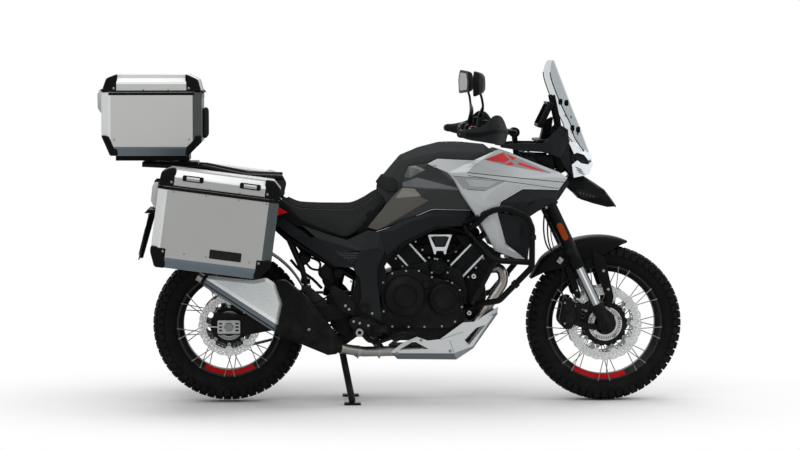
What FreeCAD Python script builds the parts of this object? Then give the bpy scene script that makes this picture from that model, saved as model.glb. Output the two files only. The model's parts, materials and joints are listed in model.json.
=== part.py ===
"""Adventure motorcycle on its centre stand, with two side cases and a top case.

Units are millimetres.  +X is forward, +Y is the rider's left, +Z is up.  The origin is on the
floor, under the middle of the motorcycle's bounding box.  Each named piece is written to its own
STEP file.  Outlines are tables of (x, z) stations for a wheelbase of `layout_wheelbase`; the
function `along` moves them when the wheelbase is changed.
"""
import FreeCAD, Part
import math
import os

from FreeCAD import Vector

# ---------------------------------------------------------------- driving dimensions
wheelbase = 1568.0
layout_wheelbase = 1568.0
layout_rear_axle = -675.0
layout_front_axle = 893.0
rear_station = -480.0            # stations behind this one move with the rear axle
front_station = 420.0            # stations ahead of this one move with the front axle

front_tyre_radius = 326.0
front_tyre_width = 120.0
front_bead_radius = 241.0
rear_tyre_radius = 318.0
rear_tyre_width = 150.0
rear_bead_radius = 216.0
rear_tyre_lift = 8.0             # the centre stand holds the rear tyre this far off the floor
tyre_wall = 9.0
rim_flange = 9.0                 # the rim's flange stands this far above its bead seat
rim_thickness = 4.0
spokes_per_side = 16
spoke_radius = 2.2
spoke_lean = math.radians(38.0)  # of a spoke's hub end, round the hub
hub_flange_rise = 16.0
hub_flange_thickness = 6.0
rim_well_depth = 20.0            # under the bead seat
front_hub_radius = 30.0
front_hub_flange = 38.0          # from the middle plane
rear_hub_radius = 38.0
rear_hub_flange = 44.0

axle_radius = 12.5
running_gap = 0.3                # between a shaft and its bore
joint_gap = 0.3                  # between two pieces that rest on each other

rake = math.radians(25.5)
fork_offset = 40.0               # fork legs ahead of the steering axis
fork_half_spacing = 105.0
fork_tube_radius = 28.0
stanchion_radius = 21.5
fork_tube_bottom = 265.0         # all four are measured up the fork from the front axle
lower_clamp = 545.0
upper_clamp = 735.0
fork_top = 785.0
clamp_thickness = 32.0
clamp_lug_wall = 9.0
clamp_web_reach = 22.0           # of a clamp's web ahead of the legs and behind the stem
stem_radius = 19.0
stem_inset = 4.0                 # of the stem's ends inside the clamps
head_tube_radius = 34.0
nose_stay_height = 655.0         # the stay that carries the nose leaves the head tube here
nose_stay_reach = (20.0, 176.0)  # ahead of the steering axis
nose_stay_half_width = 18.0
nose_stay_half_height = 13.0
stanchion_overlap = 138.0        # of a fork leg inside its tube
fork_foot_radius = 27.0
fork_foot = (-34.0, 92.0)        # its ends, up the fork from the axle
front_axle_half_length = 134.0
slide_gap = 0.2                  # between a sleeve or clamp and the tube in it

front_disc_radius = 155.0
rear_disc_radius = 128.0
disc_thickness = 5.0
front_disc_offset = 66.0
rear_disc_offset = 84.0
pad_gap = 5.2                    # free space on each side of a disc in its caliper
sprocket_radius = 112.0
sprocket_thickness = 8.0
chain_inner = 92.0               # inner side of the chain, from the middle plane
chain_width = 16.0
chain_height = 14.0
front_sprocket_radius = 38.0
front_sprocket = (-42.0, 404.0)  # x, z
chain_clearance = 0.5
disc_windows = 5

swingarm_inner = 112.0
swingarm_wall = 28.0
engine_half_width = 120.0
frame_inner = 126.0
frame_thickness = 32.0
frame_tube_radius = 13.0
subframe_cross_radius = 11.0
stand_pin_radius = 10.0
shock_pin_radius = 8.0
side_stand_pin_radius = 7.0
stand_bracket_y = (62.0, 76.0)
shock_lug_y = (25.0, 36.0)
shock_foot = (-262.0, 398.0)     # x, z
shock_top = (-205.0, 630.0)
cylinder_lean = math.radians(43.0)
cover_depth = 34.0               # of the engine's side covers
clutch_depth = 76.0
crank_cover_depth = 66.0
alternator_depth = 22.0
header_radius = 21.0
rear_header_radius = 17.0
muffler_y = (168.0, 268.0)
muffler_shield_y = (164.0, 272.0)
skid_half_width = 150.0
skid_wall = 4.0
fairing_inner = 172.0
fairing_outer = 232.0
crash_bar_half_width = 300.0
crash_bar_radius = 12.5
cowl_wall = 6.0
screen_wall = 4.0
beak_half_width = 62.0
beak_wall = 8.0
handlebar_half_width = 465.0
handlebar_radius = 11.0
bar_centre_z = 1124.0
bar_clamp_x = 516.0
bar_clamp_y = 24.0
bar_clamp_half_width = 11.0
bar_clamp_radius = 21.0
riser_radius = 10.0
grip_length = 125.0
grip_radius = 17.0
grip_start = 4.0                 # from the bar's end; the grip, switch block and lever follow in order
switch_length = 46.0
switch_radius = 21.0
perch_length = 24.0
perch_radius = 18.0
control_gap = 4.0                # between grip, switch block and lever perch

case_wall = 3.0
case_seal = 0.5                  # between a case and its closed lid
pannier_inner = 262.0
pannier_outer = 490.0
pannier_length = 486.0
pannier_height = 325.0
pannier_lid_height = 76.0
pannier_tilt = math.radians(7.5)
pannier_bevel = 58.0
top_case_half_width = 200.0
top_case_front = -784.0
top_case_rear = -1190.0
top_case_floor = 1036.0
top_case_seam = 1294.0
top_case_roof = 1367.0
top_case_bevel = 55.0
hinge_radius = 5.0
hinge_offset = 5.5               # hinge axis ahead of the case's front face
hinge_play = 2.0                 # between neighbouring knuckles
hinge_inset = 30.0               # of a side case's hinge from its sides
rack_tube_radius = 8.0
rack_y = 246.0                   # middle of a side case's rack
rack_puck_radius = 15.0
rear_rack_radius = 11.0

stand_pivot_x = -215.0
stand_pivot_z = 262.0
stand_pivot_half_width = 92.0
stand_foot_x = -165.0
stand_foot_half_width = 150.0
stand_tube_radius = 14.0
stand_boss_radius = 20.0
stand_boss_reach = (13.0, 14.0)  # inwards and outwards of the leg
stand_foot_height = 12.0
stand_foot_plate = (34.0, 22.0, 10.0)        # half length, half width, thickness
stand_brace_share = 0.36         # of the way down the legs
stand_brace_radius = 11.0
side_stand_pivot = (-78.0, 176.0, 262.0)
side_stand_tip = (-340.0, 196.0, 282.0)
side_stand_radius = 9.5
side_stand_boss = (17.0, 10.0)   # radius, half length
side_stand_pin_length = 38.0
side_stand_foot = (24.0, 5.0)    # radius, half thickness
side_boss_radius = 19.0
side_boss_length = 34.0
side_stand_deployed = (0.12, 0.40, -0.90)   # direction of the leg when it is put down

rear_axle_z = rear_tyre_radius + rear_tyre_lift
front_axle_z = front_tyre_radius
mudguard_skirt_depth = 26.0
hugger_gap = 22.0                # from the tyre
hugger_half_width = 82.0
hugger_arc = (10.0, 96.0)        # degrees above straight ahead
pivot_x = -118.0
pivot_z = 404.0
crank_x = 216.0
crank_z = 432.0
clutch_x = 50.0
clutch_z = 452.0

# ---------------------------------------------------------------- outlines in side view, columns (x, z)
frame_spar = (                   # columns: x, z, half height, outer half width
    (545.0, 905.0, 48.0, 58.0),
    (490.0, 878.0, 46.0, 72.0),
    (340.0, 792.0, 40.0, 158.0),
    (178.0, 770.0, 42.0, 158.0),
    (8.0, 690.0, 50.0, 158.0),
    (-60.0, 600.0, 70.0, 158.0),
)
pivot_plate = (
    (-145, 560), (-118, 652), (-50, 668), (-20, 520), (-62, 430), (-15, 340), (-60, 284),
    (-160, 284), (-170, 420),
)
stand_bracket = ((-132, 318), (-165, 318), (-245, 284), (-245, 244), (-195, 240), (-132, 284))
side_stand_lug = ((-112, 300), (-46, 300), (-58, 244), (-98, 244))
shock_lug = ((-100, 646), (-222, 646), (-222, 612), (-100, 612))
crankcase = (
    (-60, 535), (60, 572), (150, 592), (285, 560), (312, 470), (300, 320), (240, 264), (0, 264),
    (-60, 330),
)
alternator_case = ((-70, 470), (30, 500), (120, 480), (120, 370), (30, 340), (-70, 360))
vee_strip = ((100, 640), (340, 640), (340, 658), (100, 658))
engine_cover = (
    (-46, 513), (-4, 555), (49, 563), (101, 563), (154, 533), (249, 512), (286, 491), (299, 406),
    (281, 364), (249, 321), (207, 316), (-25, 317), (-51, 391),
)
vee_cover = ((151, 705), (246, 705), (230, 639), (169, 639))
skid_side = (
    (-9, 220), (44, 267), (108, 283), (198, 272), (282, 341), (330, 343), (367, 372), (425, 382),
    (441, 405), (438, 377), (335, 231), (267, 187), (23, 190),
)
skid_window = ((34, 226), (92, 259), (113, 257), (147, 226))
skid_hollow = ((-30, 194), (23, 194), (264, 191), (331, 234), (433, 379), (433, 460), (-30, 460))
muffler_can = (
    (-790, 513), (-766, 549), (-571, 527), (-520, 538), (-484, 515), (-454, 432), (-473, 337),
    (-487, 314),
)
muffler_shield = (
    (-484, 515), (-501, 534), (-442, 529), (-362, 463), (-268, 348), (-208, 268), (-208, 243),
    (-248, 218), (-268, 218), (-487, 312), (-473, 337), (-454, 432),
)
side_fairing = (
    (144, 999), (185, 1020), (332, 1013), (437, 1058), (506, 1036), (689, 964), (724, 941),
    (688, 893), (533, 897), (442, 845), (430, 799), (467, 669), (550, 617), (550, 593),
    (423, 642), (358, 765), (283, 877), (252, 935), (228, 963),
)
radiator_shroud = (
    (430, 799), (442, 845), (533, 897), (686, 892), (683, 851), (617, 818), (557, 780),
    (567, 739), (556, 600), (467, 669),
)
frame_cover = (
    (-471, 776), (-374, 749), (-247, 702), (-187, 682), (-117, 716), (-60, 722), (-40, 640),
    (-66, 590), (-62, 475), (-100, 380), (-140, 393), (-138, 425), (-153, 516), (-237, 576), (-471, 736),
)
caliper_side = ((-632, 366), (-560, 360), (-548, 420), (-596, 446), (-640, 430))
footpeg_bracket = ((-160, 356), (-126, 377), (-36, 329), (-20, 302), (-126, 297))
tank_sections = (                # columns: x, (half width, z) at the bottom, at the widest, at the top
    (-96, (95, 742), (112, 850), (70, 893)),
    (-40, (130, 738), (142, 860), (84, 935)),
    (37, (150, 748), (164, 890), (98, 1032)),
    (112, (158, 778), (172, 930), (102, 1063)),
    (201, (158, 815), (174, 950), (107, 1085)),
    (304, (150, 815), (172, 950), (105, 1082)),
    (379, (126, 815), (165, 940), (97, 1071)),
    (424, (104, 850), (150, 930), (85, 1045)),
)
rider_seat_sections = (
    (-440, (118, 812), (148, 836), (120, 868)),
    (-386, (120, 760), (150, 800), (118, 834)),
    (-246, (120, 706), (146, 790), (112, 825)),
    (-195, (116, 688), (138, 785), (104, 824)),
    (-104, (98, 732), (118, 800), (84, 852)),
    (-54, (90, 800), (104, 840), (74, 886)),
    (-14, (80, 862), (88, 872), (66, 884)),
)
passenger_seat_sections = (
    (-790, (80, 905), (96, 925), (78, 944)),
    (-640, (100, 880), (126, 915), (104, 952)),
    (-500, (110, 866), (138, 905), (112, 955)),
    (-446, (108, 872), (136, 890), (112, 943)),
)
tail_sections = (
    (-940, (40, 880), (62, 900), (50, 935)),
    (-800, (60, 830), (92, 868), (76, 903)),
    (-600, (84, 800), (128, 838), (98, 874)),
    (-470, (92, 790), (142, 815), (108, 862)),
)
headlight_sections = (
    (690, (70, 1010), (108, 1060), (80, 1130)),
    (735, (66, 940), (108, 1010), (84, 1085)),
    (800, (60, 938), (92, 990), (70, 1050)),
    (832, (52, 952), (70, 985), (54, 1030)),
)
cowl_cheek = (                   # columns: x, y, z low, z high
    (447, -163, 1068, 1080), (534, -163, 1050, 1084), (622, -160, 1044, 1084), (664, -152, 1034, 1122),
    (701, -138, 998, 1157), (728, -122, 958, 1140), (744, -106, 934, 1086),
)
beak_top = ((712, 915), (743, 948), (804, 944), (895, 880), (946, 812), (906, 809), (840, 842), (760, 872))
windscreen_rows = (              # columns: z, x at the middle, x at the edge, half width
    (1040, 828, 800, 80),
    (1111, 801, 752, 150),
    (1200, 766, 697, 172),
    (1321, 719, 640, 165),
    (1400, 688, 632, 140),
    (1425, 678, 655, 105),
)
display_case = ((601, 1151), (652, 1255), (676, 1244), (633, 1140))
display_stalk = ((626, 1092), (668, 1092), (672, 1200), (640, 1160))
beak_hollow = (
    (690, 860), (716, 900), (747, 930), (800, 930), (886, 870), (925, 815), (900, 780), (690, 800),
)
plate_holder = ((-900, 884), (-930, 884), (-1006, 786), (-1044, 604), (-1034, 602), (-984, 779))
number_plate = ((-1004, 782), (-1008, 782), (-1050, 600), (-1046, 600))
front_caliper = ((694, 337), (714, 437), (761, 431), (776, 352), (750, 300))
caliper_lug = ((756, 360), (756, 400), (862, 352), (862, 330))
fork_guard = ((838, 646), (870, 646), (897, 558), (924, 441), (906, 376), (872, 392), (866, 470), (838, 599))
mudguard_inner = front_tyre_radius + 28.0      # radius about the front axle
mudguard_thickness = 4.0
mudguard_half_width = 73.0
mudguard_arc = (74.0, 149.0)     # degrees above straight ahead

# ---------------------------------------------------------------- swingarm and bars, columns (x, y, z)
swingarm_stations = (            # columns: x, z low, z high, inner half width, outer half width
    (-88, 372, 436, swingarm_inner - 24, swingarm_inner + 8),
    (-180, 362, 430, swingarm_inner - 20, swingarm_inner + 10),
    (-320, 338, 404, swingarm_inner, swingarm_inner + swingarm_wall),
    (-600, 292, 372, swingarm_inner, swingarm_inner + swingarm_wall),
    (-735, 292, 384, swingarm_inner, swingarm_inner + swingarm_wall),
)
cylinder_blocks = (              # columns: start, end from the crank, half depth, half width
    (110, 210, 62, 68),
    (206, 292, 68, 76),
)
frame_cross_tubes = ((-148, 301, 13), (-95, 630, 16))                  # columns: x, z, radius
subframe_cross_tubes = ((-790, 62, 811), (-470, 104, 764))             # columns: x, half width, z
upper_rail = ((-62, -112, 640), (-190, -112, 640), (-480, -100, 768), (-800, -60, 812))
lower_strut = ((-110, -112, 500), (-220, -118, 563), (-430, -116, 690), (-520, -99, 772))
front_header = (
    (340, -30, 580), (404, -30, 556), (462, -44, 560), (470, -50, 500), (385, -70, 376), (312, -90, 276),
    (236, -112, 220), (20, -118, 220), (-120, -138, 220), (-218, -190, 240),
)
rear_header = (
    (60, -30, 600), (-20, -30, 640), (-84, -40, 590), (-84, -60, 400), (-84, -92, 280), (-40, -118, 220),
)
case_rack = (
    (-500, -92, 776), (-500, -rack_y, 790), (-930, -rack_y, 850), (-955, -rack_y, 700),
    (-940, -rack_y, 618), (-560, -rack_y, 580), (-520, -rack_y, 640), (-500, -rack_y, 740),
)
case_rack_pucks = ((-560, 798), (-900, 846), (-750, 596))    # columns: x, z
grab_rail = ((-452, -142, 942), (-600, -146, 948), (-770, -118, 984), (-1030, -96, 996))
grab_rail_legs = (
    ((-560, -145, 948), (-556, -130, 872), (-540, -112, 800)),
    ((-800, -112, 988), (-792, -96, 900), (-780, -72, 822)),
)
pillion_bracket = ((-430, -129, 690), (-372, -150, 560), (-357, -150, 500))
brake_pedal = ((-140, -184, 312), (-105, -186, 272), (-69, -190, 259), (40, -196, 306))
gear_lever = (                   # columns: x, y outside the engine, z
    (12, 30, 356), (12, 64, 352), (34, 70, 322), (62, 80, 312),
)
crash_loop = (                   # columns: x, distance inside the widest line, z
    (296, 152, 757), (410, 30, 812), (457, 0, 824), (546, 0, 789), (566, 0, 740), (567, 14, 580),
    (438, 80, 437), (284, 188, 400),
)
crash_brace = ((562, 14, 600), (410, 30, 607), (300, 124, 735), (300, 150, 752))
bar_bends = (
    (266, -handlebar_half_width, 1131),
    (372, -handlebar_half_width * 0.4624, 1133),
    (478, -100, bar_centre_z + 4),
    (bar_clamp_x, -64, bar_centre_z),
)
hand_guard_line = (              # columns: x, distance inside the bar's end, z low, z high
    (262, -14, 1116, 1146), (300, -20, 1106, 1150), (370, -18, 1100, 1170), (430, 25, 1090, 1200),
    (452, 90, 1092, 1204), (446, 160, 1104, 1190),
)
hand_guard_arm = ((446, 150, 1140), (430, 190, 1136), (402, 208, 1131))
mirror_head = (                  # columns: y in front, z in front, y behind, z behind
    (-330, 1292, -322, 1288), (-452, 1288, -462, 1280), (-462, 1340, -474, 1340),
    (-440, 1372, -448, 1382), (-340, 1368, -334, 1376), (-324, 1330, -314, 1330),
)
mirror_front_x = 352.0
mirror_rim_x = 328.0
mirror_glass_x = 318.0

# ---------------------------------------------------------------- plain blocks, (x0, x1, y0, y1, z0, z1)
head_gusset = (470, 540, -46, 46, 862, 940)
swingarm_bridge = (-300, -225, -swingarm_inner - 1, swingarm_inner + 1, 352, 400)
sprocket_recess = (-70, 14, chain_inner - 6, engine_half_width + 1, 250, 600)
radiator_core = (486, 530, -150, 150, 590, 800)
cowl_bridge = (600, 664, -156, 156, 1086, 1096)
hugger_foot = (-338, -300, -40, 40, 374, 396)
tail_lamp = (-962, -940, -46, 46, 890, 926)
rider_peg = (-76, -24, -262, -172, 312, 334)
pillion_peg = (-376, -336, -236, -146, 478, 500)
pedal_pad = (34, 62, -216, -180, 300, 312)
backrest_pad = (top_case_front, top_case_front + 24, -90, 90, 1098, 1232)
top_case_latch = (-1219, top_case_rear, -32, 32, 1216, top_case_seam - 4)
rack_deck = (-1030, -800, -96, 96, 990, 1006)
carrier_plate = (-1138, -836, -120, 120, 1012, top_case_floor)
skid_tabs = [(x, x + 26, y, y + 28, 190, 264) for x in (64, 200) for y in (-60, 32)]
radiator_tabs = [(488, 500, y, y + 20, 796, 850) for y in (-68, 48)]
plate_feet = [(x, x + 30, y, y + 30, 1006, 1012) for x in (-1020, -880) for y in (-90, 60)]


# ---------------------------------------------------------------- helpers
def along(x):
    """Station x of the layout, moved for this wheelbase: the ends move with their axles."""
    stretch = wheelbase - layout_wheelbase
    share = (x - rear_station) / (front_station - rear_station)
    share = min(1.0, max(0.0, share))
    return x + stretch * (share - 0.5)


def at(x, y, z):
    """Point at station x."""
    return Vector(along(x), y, z)


def run_of(table):
    """Points from a table of (x, y, z)."""
    return [at(x, y, z) for x, y, z in table]


def outboard(table, half_width):
    """Points on the right side from a table of (x, distance inside half_width, z)."""
    return [at(x, inside - half_width, z) for x, inside, z in table]


def face_of(points):
    """Plane face inside a closed polygon of vectors."""
    return Part.Face(Part.makePolygon(points + points[:1]))


def slab(outline, y0, y1):
    """Side-view outline of (x, z) stations, from y0 to y1."""
    points = [at(x, y0, z) for x, z in outline]
    return face_of(points).extrude(Vector(0, y1 - y0, 0))


def shrunk(outline, share):
    """Outline drawn in towards its middle by a share of its size."""
    cx = sum(x for x, z in outline) / len(outline)
    cz = sum(z for x, z in outline) / len(outline)
    return [(x + (cx - x) * share, z + (cz - z) * share) for x, z in outline]


def loft(polygons):
    """Ruled solid through closed polygons of the same number of points."""
    wires = [Part.makePolygon(points + points[:1]) for points in polygons]
    return Part.makeLoft(wires, True, True)


def tapered(outline, y0, y1, share):
    """Slab whose outline draws in by a share from y0 to y1."""
    return loft([[at(x, y0, z) for x, z in outline], [at(x, y1, z) for x, z in shrunk(outline, share)]])


def body_of(sections):
    """Loft through sections of (x, low, wide, top), symmetric about the middle plane."""
    polygons = []
    for x, low, wide, top in sections:
        right = [at(x, -half, z) for half, z in (low, wide, top)]
        left = [at(x, half, z) for half, z in (top, wide, low)]
        polygons.append(right + left)
    return loft(polygons)


def block(x0, x1, y0, y1, z0, z1):
    """Box between two stations."""
    a = along(x0)
    b = along(x1)
    return Part.makeBox(b - a, y1 - y0, z1 - z0, Vector(a, y0, z0))


def rod(a, b, radius):
    """Round bar from a to b."""
    return Part.makeCylinder(radius, (b - a).Length, a, b - a)


def sleeve(a, b, outer, inner):
    """Round tube from a to b."""
    step = (b - a).normalize()
    bore = rod(a - step, b + step, inner)
    return rod(a, b, outer).cut(bore)


def across(x, z, y0, y1, radius):
    """Round bar along Y at station x."""
    return rod(at(x, y0, z), at(x, y1, z), radius)


def ring(x, z, y0, y1, outer, inner):
    """Flat ring about an axle along Y."""
    return sleeve(Vector(x, y0, z), Vector(x, y1, z), outer, inner)


def disc(x, z, y0, y1, radius):
    """Plain disc about an axle along Y."""
    return rod(Vector(x, y0, z), Vector(x, y1, z), radius)


def mirrored(shape):
    """The same piece on the other side."""
    return shape.mirror(Vector(0, 0, 0), Vector(0, 1, 0))


def joined(shapes):
    """One solid from pieces that meet."""
    shapes = list(shapes)
    return shapes[0].multiFuse(shapes[1:])


def pair(shape):
    """A piece and its mirror image, as two solids of one node."""
    return Part.makeCompound([shape, mirrored(shape)])


def bent_bar(points, radius, bend):
    """Round bar along straight runs joined by tangent arcs of radius `bend` where there is room."""
    pieces = []
    start = points[0]
    for before, corner, after in zip(points, points[1:], points[2:]):
        u = (corner - before).normalize()
        w = (after - corner).normalize()
        turn = u.getAngle(w)
        if turn < 0.01:
            continue
        shorter = min((corner - before).Length, (after - corner).Length)
        arc_radius = min(bend, 0.45 * shorter / math.tan(turn / 2))
        setback = arc_radius * math.tan(turn / 2)
        a = corner - u * setback
        b = corner + w * setback
        normal = u.cross(w).normalize()
        centre = a + normal.cross(u) * arc_radius
        pieces.append(rod(start, a, radius))
        end_face = Part.Face(Part.Wire(Part.makeCircle(radius, a, u)))
        pieces.append(end_face.revolve(centre, normal, math.degrees(turn)))
        start = b
    pieces.append(rod(start, points[-1], radius))
    return joined(pieces) if len(pieces) > 1 else pieces[0]


def ribbon(stations, thickness):
    """Upright curved panel: stations are (x, y, z low, z high) along its length."""
    polygons = []
    for index, (x, y, low, high) in enumerate(stations):
        first = stations[max(index - 1, 0)]
        last = stations[min(index + 1, len(stations) - 1)]
        heading = Vector(last[0] - first[0], last[1] - first[1], 0).normalize()
        across = Vector(-heading.y, heading.x, 0) * (thickness / 2)
        foot = at(x, y, low)
        head = at(x, y, high)
        polygons.append([foot - across, foot + across, head + across, head - across])
    return loft(polygons)


def arc_band(x, z, inner, outer, y0, y1, first, last):
    """Part of a ring about an axle along Y, between two angles above straight ahead."""
    def spot(radius, angle):
        turn = math.radians(angle)
        return Vector(x + radius * math.cos(turn), y0, z + radius * math.sin(turn))

    middle = (first + last) / 2
    edges = [
        Part.Arc(spot(outer, first), spot(outer, middle), spot(outer, last)).toShape(),
        Part.makeLine(spot(outer, last), spot(inner, last)),
        Part.Arc(spot(inner, last), spot(inner, middle), spot(inner, first)).toShape(),
        Part.makeLine(spot(inner, first), spot(outer, first)),
    ]
    return Part.Face(Part.Wire(edges)).extrude(Vector(0, y1 - y0, 0))


# ---------------------------------------------------------------- places worked out from the sizes
rear_axle_x = along(layout_rear_axle)
front_axle_x = along(layout_front_axle)
up_fork = Vector(-math.sin(rake), 0, math.cos(rake))
ahead_of_fork = Vector(math.cos(rake), 0, math.sin(rake))
front_axle = Vector(front_axle_x, 0, front_axle_z)


def on_fork(height, y):
    """Point on a fork leg's axis, `height` up the fork from the front axle."""
    return front_axle + up_fork * height + Vector(0, y, 0)


def on_steering(height):
    """Point on the steering axis at the same height."""
    return on_fork(height, 0) - ahead_of_fork * fork_offset


def side_stand_axis():
    """Axis of the side stand's pivot, square to the leg both folded and put down."""
    folded = at(*side_stand_tip) - at(*side_stand_pivot)
    return folded.cross(Vector(*side_stand_deployed)).normalize()


# ---------------------------------------------------------------- wheels
def rim_half_width(width):
    """Half the distance between the rim's flanges, for a tyre of this width."""
    return width * 0.34


def tyre(x, z, radius, width, bead):
    """Hollow tyre with a round crown, open to its rim, its beads inside the rim's flanges."""
    half = width / 2
    crown = radius - 0.22 * width
    bead_half = rim_half_width(width) - joint_gap
    flange_top = bead + rim_flange + joint_gap

    def profile(inset):
        side = [                 # columns: half width, radius
            (bead_half - inset, bead),
            (bead_half - inset, flange_top),
            (bead_half - inset + rim_thickness, flange_top + inset / 2),
            (half - inset, (bead + crown) / 2 - 4),
            (half * 0.96 - inset, crown - inset),
        ]
        right = [Vector(x, -y, z + r) for y, r in side]
        left = [Vector(x, y, z + r) for y, r in side]
        top = Vector(x, 0, z + radius - inset)
        edges = [Part.makeLine(a, b) for a, b in zip(right, right[1:])]
        edges.append(Part.Arc(right[-1], top, left[-1]).toShape())
        edges += [Part.makeLine(b, a) for a, b in reversed(list(zip(left, left[1:])))]
        edges.append(Part.makeLine(left[0], right[0]))
        return Part.Face(Part.Wire(edges))

    centre = Vector(x, 0, z)
    outer = profile(0).revolve(centre, Vector(0, 1, 0), 360)
    inner = profile(tyre_wall).revolve(centre, Vector(0, 1, 0), 360)
    return outer.cut(inner)


def spoked_wheel(x, z, bead, width, hub_radius, flange, hub_right, hub_left):
    """Rim, crossed wire spokes and hub, as one solid that turns on its axle."""
    half = rim_half_width(width)
    wall = rim_thickness
    well = bead - rim_well_depth
    seat = bead - joint_gap
    rim_side = (                 # columns: radius, half width, from the well out and back inside
        (well, half * 0.3), (bead - 3, half * 0.45), (seat, half - wall), (seat, half),
        (bead + rim_flange, half), (bead + rim_flange, half + wall), (bead - 6, half + wall),
        (well + 2, half * 0.45), (well - 8, half * 0.25),
    )
    points = [Vector(x, y, z + radius) for radius, y in rim_side]
    points += [Vector(x, -y, z + radius) for radius, y in reversed(rim_side)]
    centre = Vector(x, 0, z)
    rim = face_of(points).revolve(centre, Vector(0, 1, 0), 360)
    hub = disc(x, z, hub_right, hub_left, hub_radius)
    flanges = []
    spokes = []
    step = 2 * math.pi / spokes_per_side
    inner_radius = hub_radius + 10
    outer_radius = bead - 2
    for side in (-1, 1):
        y0 = side * flange - hub_flange_thickness / 2
        flanges.append(disc(x, z, y0, y0 + hub_flange_thickness, hub_radius + hub_flange_rise))
        for index in range(spokes_per_side):
            middle = (index + 0.25 * side) * step
            turn = 1 if index % 2 else -1
            inner_angle = middle + turn * spoke_lean
            outer_angle = middle - turn * spoke_lean * 0.12
            a = Vector(
                x + inner_radius * math.cos(inner_angle),
                side * flange + turn * 2.4,
                z + inner_radius * math.sin(inner_angle),
            )
            b = Vector(
                x + outer_radius * math.cos(outer_angle),
                side * (half + 2) + turn * 0.64,
                z + outer_radius * math.sin(outer_angle),
            )
            spokes.append(rod(a, b, spoke_radius))
    wheel = joined([rim, hub] + flanges + spokes)
    bore = disc(x, z, hub_right - 1, hub_left + 1, axle_radius + running_gap)
    return wheel.cut(bore)


def brake_disc(x, z, radius, bore, y, thickness):
    """Brake disc with a carrier: y is its inner face, and thickness has the sign of its side."""
    y0, y1 = sorted((y, y + thickness))
    plate = ring(x, z, y0, y1, radius, bore)
    holes = []
    reach = (radius * 0.72 + bore) / 2
    hole_radius = (radius * 0.68 - bore) / 3
    for index in range(disc_windows):
        angle = 2 * math.pi * index / disc_windows
        cx = x + reach * math.cos(angle)
        cz = z + reach * math.sin(angle)
        holes.append(disc(cx, cz, y0 - 1, y1 + 1, hole_radius))
    return plate.cut(Part.makeCompound(holes))


def make_wheels():
    """All the turning pieces."""
    bore = axle_radius + running_gap
    front = (front_axle_x, front_axle_z)
    rear = (rear_axle_x, rear_axle_z)
    discs = []
    for side in (-1, 1):
        y = side * front_disc_offset
        discs.append(brake_disc(*front, front_disc_radius, bore, y, side * disc_thickness))
    return {
        "front_tyre": tyre(*front, front_tyre_radius, front_tyre_width, front_bead_radius),
        "front_wheel": spoked_wheel(
            *front, front_bead_radius, front_tyre_width, front_hub_radius, front_hub_flange,
            -front_disc_offset, front_disc_offset),
        "front_brake_discs": Part.makeCompound(discs),
        "rear_tyre": tyre(*rear, rear_tyre_radius, rear_tyre_width, rear_bead_radius),
        "rear_wheel": spoked_wheel(
            *rear, rear_bead_radius, rear_tyre_width, rear_hub_radius, rear_hub_flange,
            -rear_disc_offset, chain_inner),
        "rear_brake_disc": brake_disc(*rear, rear_disc_radius, bore, -rear_disc_offset, -disc_thickness),
        "rear_sprocket": brake_disc(*rear, sprocket_radius, bore, chain_inner, sprocket_thickness),
    }


# ---------------------------------------------------------------- frame, swingarm, drive
def make_frame():
    """Twin-spar frame with its head tube, pivot plates and stand brackets."""
    polygons = []
    for x, z, half, outer in frame_spar:
        inner = outer - frame_thickness
        low, high = z - half, z + half
        polygons.append([at(x, -outer, low), at(x, -inner, low), at(x, -inner, high), at(x, -outer, high)])
    right = joined([loft(polygons), slab(pivot_plate, -frame_inner - frame_thickness, -frame_inner)])
    bracket = slab(stand_bracket, *stand_bracket_y)
    lug = slab(shock_lug, *shock_lug_y)
    stand_lug = slab(side_stand_lug, frame_inner, frame_inner + frame_thickness)
    side_pivot = at(*side_stand_pivot)
    turn_axis = side_stand_axis()
    boss_start = side_pivot + turn_axis * (side_stand_boss[1] + running_gap)
    side_boss = rod(boss_start, boss_start + turn_axis * side_boss_length, side_boss_radius)
    head_low = on_steering(lower_clamp + clamp_thickness + stem_inset)
    head_high = on_steering(upper_clamp - stem_inset)
    head = rod(head_low, head_high, head_tube_radius)
    near, far = [on_steering(nose_stay_height) + ahead_of_fork * reach for reach in nose_stay_reach]
    right_edge = Vector(0, -nose_stay_half_width, 0)
    rise = Vector(0, 0, nose_stay_half_height)
    corners = [near - rise, far - rise, far + rise, near + rise]
    stay = face_of([corner + right_edge for corner in corners]).extrude(right_edge * -2)
    reach = frame_inner + 2
    cross = [across(x, z, -reach, reach, radius) for x, z, radius in frame_cross_tubes]
    frame = joined([
        right, mirrored(right), bracket, mirrored(bracket), lug, mirrored(lug), stand_lug, side_boss,
        head, block(*head_gusset), stay] + cross)
    reach = frame_inner + 2 * frame_thickness
    side_bore_end = side_pivot + turn_axis * (2 * side_stand_pin_length)
    bores = [
        rod(head_low - up_fork, head_high + up_fork, stem_radius + running_gap),
        across(pivot_x, pivot_z, -reach, reach, axle_radius + running_gap),
        across(stand_pivot_x, stand_pivot_z, -frame_inner, frame_inner, stand_pin_radius + running_gap),
        across(*shock_top, -frame_inner, frame_inner, shock_pin_radius + running_gap),
        rod(side_pivot, side_bore_end, side_stand_pin_radius + running_gap),
    ]
    return {"main_frame": frame.cut(Part.makeCompound(bores))}


def make_subframe():
    """Rear subframe that carries the seats, the tail and the cases."""
    side = joined([bent_bar(run_of(run), frame_tube_radius, 90) for run in (upper_rail, lower_strut)])
    cross = [across(x, z, -half, half, subframe_cross_radius) for x, half, z in subframe_cross_tubes]
    return {"subframe": joined([side, mirrored(side)] + cross)}


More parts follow.
